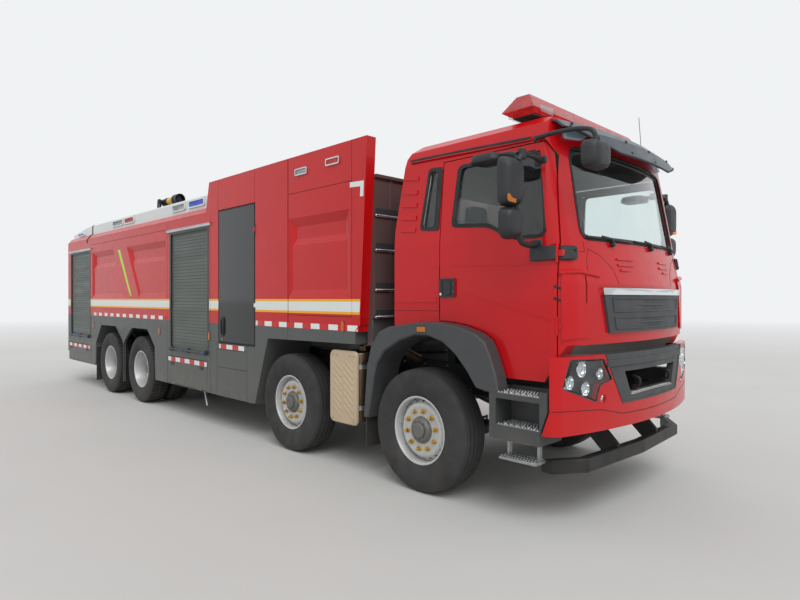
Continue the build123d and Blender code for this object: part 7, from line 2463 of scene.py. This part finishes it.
@dataclass
class Underside:
    """Frame bolts, spring leaves, brake chambers, air tanks, hoses and the looms along the frame."""

    rail: float = 0.425  # outer face of a frame rail
    axles: tuple = ((0.0, True), (1.950, True), (6.200, False), (7.600, False))
    crosses: Places = (-1.100, 1.420, 3.350, 4.700, 6.900, 8.500, 9.850)
    spring: Triple = (0.400, 0.046, 0.700)  # x, half width and half length
    camber: Triple = (0.470, 0.180, 0.76)  # height in its middle, its rise, and how far out that is
    leaves: Places = (0.010, 0.022, 0.034)
    clamps: Pair = (-0.075, 0.075)  # y from the axle
    rod: Pair = (0.40, 0.56)  # z
    pad: Pair = (0.536, 0.556)  # z
    can: tuple = ((-0.075, 0.0), (-0.075, 0.045), (-0.050, 0.072), (-0.012, 0.076), (-0.008, 0.084),
                  (0.008, 0.084), (0.012, 0.076), (0.045, 0.070), (0.070, 0.040), (0.070, 0.0))
    tank: tuple = ((-0.30, 0.0), (-0.30, 0.04), (-0.285, 0.085), (-0.255, 0.112), (0.255, 0.112),
                   (0.285, 0.085), (0.30, 0.04), (0.30, 0.0))
    tanks: tuple = ((0.250, 2.55, 0.640), (-0.250, 2.55, 0.640), (0.250, 5.20, 0.640))
    strap: tuple = ((-0.015, 0.1125), (-0.015, 0.1160), (0.015, 0.1160), (0.015, 0.1125))
    straps: Pair = (-0.17, 0.17)  # y from a tank's middle
    looms: tuple = ((0.325, 0.90, 0.014), (0.330, 0.935, 0.009), (-0.325, 0.90, 0.012))  # x, z, radius

    def build(self) -> None:
        """Makes the pieces below the floor."""
        self.add_bolts()
        self.add_springs()
        self.add_brakes()
        self.add_air()
        self.add_looms()

    def add_bolts(self) -> None:
        """Bolts of the cross members, and a row along both rails."""
        spots = [(0.0, y + off, z) for y in self.crosses for off in (-0.05, 0.05) for z in (0.93, 0.995)]
        spots += [(0.0, y, z) for y in np.arange(-0.85, 9.7, 0.30) for z in (0.80, 1.005)]
        make("frame_bolts", bolt(0.010, 0.009).moved(self.rail).copies(np.array(spots)).both(), Coats.zinc)

    def add_springs(self) -> None:
        """Lines between the leaves, clamps and their bolts, over the front axles' plain leaf packs."""
        leaves, clamps = [], []
        x, half, reach = self.spring
        middle, rise, end = self.camber
        for y, _ in self.axles[:2]:
            along = np.linspace(-reach, reach, 25)
            for lift in self.leaves:
                height = middle + rise * (along / end) ** 2 + lift
                path = np.stack((np.full(25, x + half), y + along, height), axis=1)
                leaves.append(sweep(path, strip(0.003, 0.0015), LEFTWARDS))
            out = half + 0.012
            rod = tube(((x, y, self.rod[0]), (x, y, self.rod[1])), 0.009, LEFTWARDS).along(X, (out, -out))
            pad = box(x - out - 0.010, x + out + 0.010, y - 0.010, y + 0.010, *self.pad, 0.004)
            clamps.append(joined(rod, pad).along(Y, self.clamps))
        make("leaf_lines", joined(*leaves).both(), Coats.seal)
        make("spring_clamps", joined(*clamps).both(), Coats.iron)

    def add_brakes(self) -> None:
        """A brake chamber beside each wheel, with its bracket and its hose up to the frame."""
        cans, hoses = [], []
        can = lathe(self.can, ORIGIN, Y, 32)
        for axle, steered in self.axles:
            x, back, z = (0.58, 0.16, 0.545) if steered else (0.50, 0.20, 0.70)
            y = axle + back
            cans.append(can.moved(x, y, z))
            if steered:
                cans.append(box(x - 0.02, x + 0.02, axle + 0.03, y - 0.06, z - 0.07, z - 0.03, 0.005))
            hoses.append(pipe(((x, y + 0.068, z), (x - 0.02, y + 0.14, z + 0.02), (0.47, y + 0.20, z + 0.16),
                               (0.432, y + 0.16, 0.86)), 0.008, 8, LEFTWARDS, 10))
        make("brake_chambers", joined(*cans).both(), Coats.iron)
        make("brake_hoses", joined(*hoses).both(), Coats.seal)

    def add_air(self) -> None:
        """Air tanks inside the frame, with their straps and hangers."""
        tank, strap = lathe(self.tank, ORIGIN, Y, 40), lathe(self.strap, ORIGIN, Y, 40).along(Y, self.straps)
        hangers = boxes([(x - 0.02, x + 0.02, y + off - 0.015, y + off + 0.015, z + 0.110, 0.930)
                         for x, y, z in self.tanks for off in self.straps], 0.003)
        places = np.array(self.tanks)
        make("air_tanks", tank.copies(places), Coats.frame)
        make("air_tank_straps", joined(strap.copies(places), hangers), Coats.zinc)

    def add_looms(self) -> None:
        """Looms that sag a little between their ties along both rails."""
        along = np.arange(-0.9, 9.6, 0.35)
        looms = [pipe([(x, y, z + 0.012 * math.sin(y * 4.1)) for y in along], radius, 3, LEFTWARDS, 10)
                 for x, z, radius in self.looms]
        ties = boxes([(s * 0.338 - 0.022, s * 0.338 + 0.003, y - 0.012, y + 0.012, 0.878, 0.955)
                      for s in (-1, 1) for y in np.arange(-0.7, 9.5, 0.7)], 0.003)
        make("looms", joined(*looms), Coats.seal)
        make("loom_ties", ties, Coats.black)


# Studio

@dataclass
class Studio:
    """Floor, daylight and the camera at the photograph's place."""

    lens: float = 26.215
    sensor: float = 36.0
    eye: Triple = (-4.880, -3.471, 1.679)
    yaw: float = 44.70  # from straight back towards the truck's left
    pitch: float = -0.14
    floor: Colour = paint_colour(206, 205, 202)
    sky: Colour = paint_colour(240, 242, 244)
    fade: Pair = (14.0, 45.0)  # distances over which the floor turns into sky
    sky_light: float = 0.78
    sun_power: float = 1.35
    sun_spread: float = 38.0
    sun_turn: Triple = (32.0, -26.0, 0.0)
    disc: float = 300.0  # radius of the floor

    def build(self) -> None:
        """Sets the stage."""
        self.add_camera()
        self.add_floor()
        self.add_light()
        bpy.context.scene.view_settings.view_transform = "Standard"

    def add_camera(self) -> None:
        """Camera at the eye, level but for the small pitch."""
        camera = bpy.data.cameras.new("camera")
        camera.lens, camera.sensor_width, camera.sensor_fit = self.lens, self.sensor, "HORIZONTAL"
        camera.clip_end = 500.0
        holder = bpy.data.objects.new("camera", camera)
        x, y, z = self.eye
        holder.location = (x, y + AXLE_1_Y, z)
        holder.rotation_euler = (math.radians(90.0 + self.pitch), 0.0, math.radians(-self.yaw))
        bpy.context.scene.collection.objects.link(holder)
        bpy.context.scene.camera = holder

    def add_floor(self) -> None:
        """A wide disc whose paint fades into the sky's colour far from the truck."""
        rim = np.insert(circle(self.disc, 96), 2, 0.0, axis=1)
        mesh = bpy.data.meshes.new("floor")
        mesh.from_pydata(rim.tolist(), [], [list(range(96))])
        graph = Graph("studio_floor")
        clouds = graph.span(graph.noise(0.6, 6.0), 0.3, 0.7)
        graph.surface({
            "Base Color": graph.mix(clouds, tuple(0.96 * part for part in self.floor), self.floor),
            "Roughness": 0.85,
            "Normal": graph.bump(graph.noise(120.0, 4.0), 0.0008),
        })
        far = graph.add("ShaderNodeVectorMath", operation="LENGTH")
        graph.put(far.inputs[0], graph.place)
        share = graph.span(far.outputs["Value"], *self.fade)
        seen = graph.add("ShaderNodeLightPath").outputs["Is Camera Ray"]
        glow = graph.add("ShaderNodeEmission")
        glow.inputs["Color"].default_value = (*self.sky, 1.0)
        blend = graph.add("ShaderNodeMixShader")
        graph.put(blend.inputs[0], graph.math("MULTIPLY", share, seen))
        graph.tree.links.new(graph.shader.outputs["BSDF"], blend.inputs[1])
        graph.tree.links.new(glow.outputs[0], blend.inputs[2])
        output = next(node for node in graph.tree.nodes if node.type == "OUTPUT_MATERIAL")
        graph.tree.links.new(blend.outputs[0], output.inputs["Surface"])
        mesh.materials.append(graph.material)
        floor = bpy.data.objects.new("floor", mesh)
        bpy.context.scene.collection.objects.link(floor)

    def add_light(self) -> None:
        """Even sky light, and one broad soft sun from high behind the camera."""
        world = bpy.data.worlds.new("sky")
        bpy.context.scene.world = world
        world.use_nodes = True
        tree = world.node_tree
        background = next(node for node in tree.nodes if node.type == "BACKGROUND")
        background.inputs["Color"].default_value = (*self.sky, 1.0)
        path = tree.nodes.new("ShaderNodeLightPath")
        seen = path.outputs["Is Camera Ray"]
        for ray in ("Is Glossy Ray", "Is Transmission Ray"):
            either = tree.nodes.new("ShaderNodeMath")
            either.operation = "MAXIMUM"
            tree.links.new(seen, either.inputs[0])
            tree.links.new(path.outputs[ray], either.inputs[1])
            seen = either.outputs[0]
        level = tree.nodes.new("ShaderNodeMapRange")
        tree.links.new(seen, level.inputs["Value"])
        level.inputs["To Min"].default_value = self.sky_light
        level.inputs["To Max"].default_value = 1.0
        tree.links.new(level.outputs[0], background.inputs["Strength"])
        lamp = bpy.data.lights.new("sun", "SUN")
        lamp.energy = self.sun_power
        lamp.angle = math.radians(self.sun_spread)
        sun = bpy.data.objects.new("sun", lamp)
        sun.rotation_euler = tuple(math.radians(turn) for turn in self.sun_turn)
        bpy.context.scene.collection.objects.link(sun)


def dress_solids() -> None:
    """Gives every solid that stays its finish."""
    dress(Coats.cab_lined, "cab_shell", "cab_door_r", "cab_door_l")
    dress(Coats.cab_red, "bumper")
    dress(Coats.body_red, "front_module", "main_body")
    dress(Coats.skirt, "skirts", "step_flap_mid_r", "step_flap_mid_l", "step_flap_rear_r", "step_flap_rear_l")
    dress(Coats.wall, "body_front_wall")
    dress(Coats.white, "roof_coaming")
    dress(Coats.shutter, "roll_shutters")
    dress(Coats.charcoal, "flares_and_steps", "front_grille")
    dress(Coats.visor, "sun_visor")
    dress(Coats.black, "mirror_r", "mirror_l", "front_mirror")
    dress(Coats.red_lens, "light_bar")
    dress(Coats.clear_lens, "lamps")
    dress(Coats.glass, "cab_glass", "cab_door_glass_r", "cab_door_glass_l")
    dress(Coats.tint, "bay_door_r", "bay_door_l")
    dress(Coats.frame, "chassis_frame")
    dress(Coats.iron, "axles")
    dress(Coats.engine, "driveline")
    dress(Coats.tank, "fuel_tank")
    dress(Coats.shield, "exhaust_box")
    dress(Coats.inside, "cab_interior")
    dress(Coats.aluminium, "rear_ladder")
    dress(Coats.monitor, "monitor_turret", "monitor_barrel")


def corners(bounds: tuple) -> list[list[float]]:
    """The two corners of a box as plain lists."""
    return [list(map(float, corner)) for corner in bounds]


def main() -> None:
    """Builds the truck's finishes and pieces, sub-assembly by sub-assembly."""
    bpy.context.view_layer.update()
    Studio().build()
    dress_solids()
    assemblies = (RunningGear(), CabSkin(), CabNose(), Mirrors(), RoofBar(), BumperGear(), BodySkin(),
                  Lockers(), BayDoors(), FrontWall(), Silencer(), SteelTank(), Steps(), SkirtGear(),
                  RoofGear(), Monitor(), CabRoom(), Underside())
    for assembly in assemblies:
        LOG.info("building %s", type(assembly).__name__)
        assembly.build()
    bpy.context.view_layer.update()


if __name__ == "__main__":
    logging.basicConfig(level=logging.INFO)
    main()
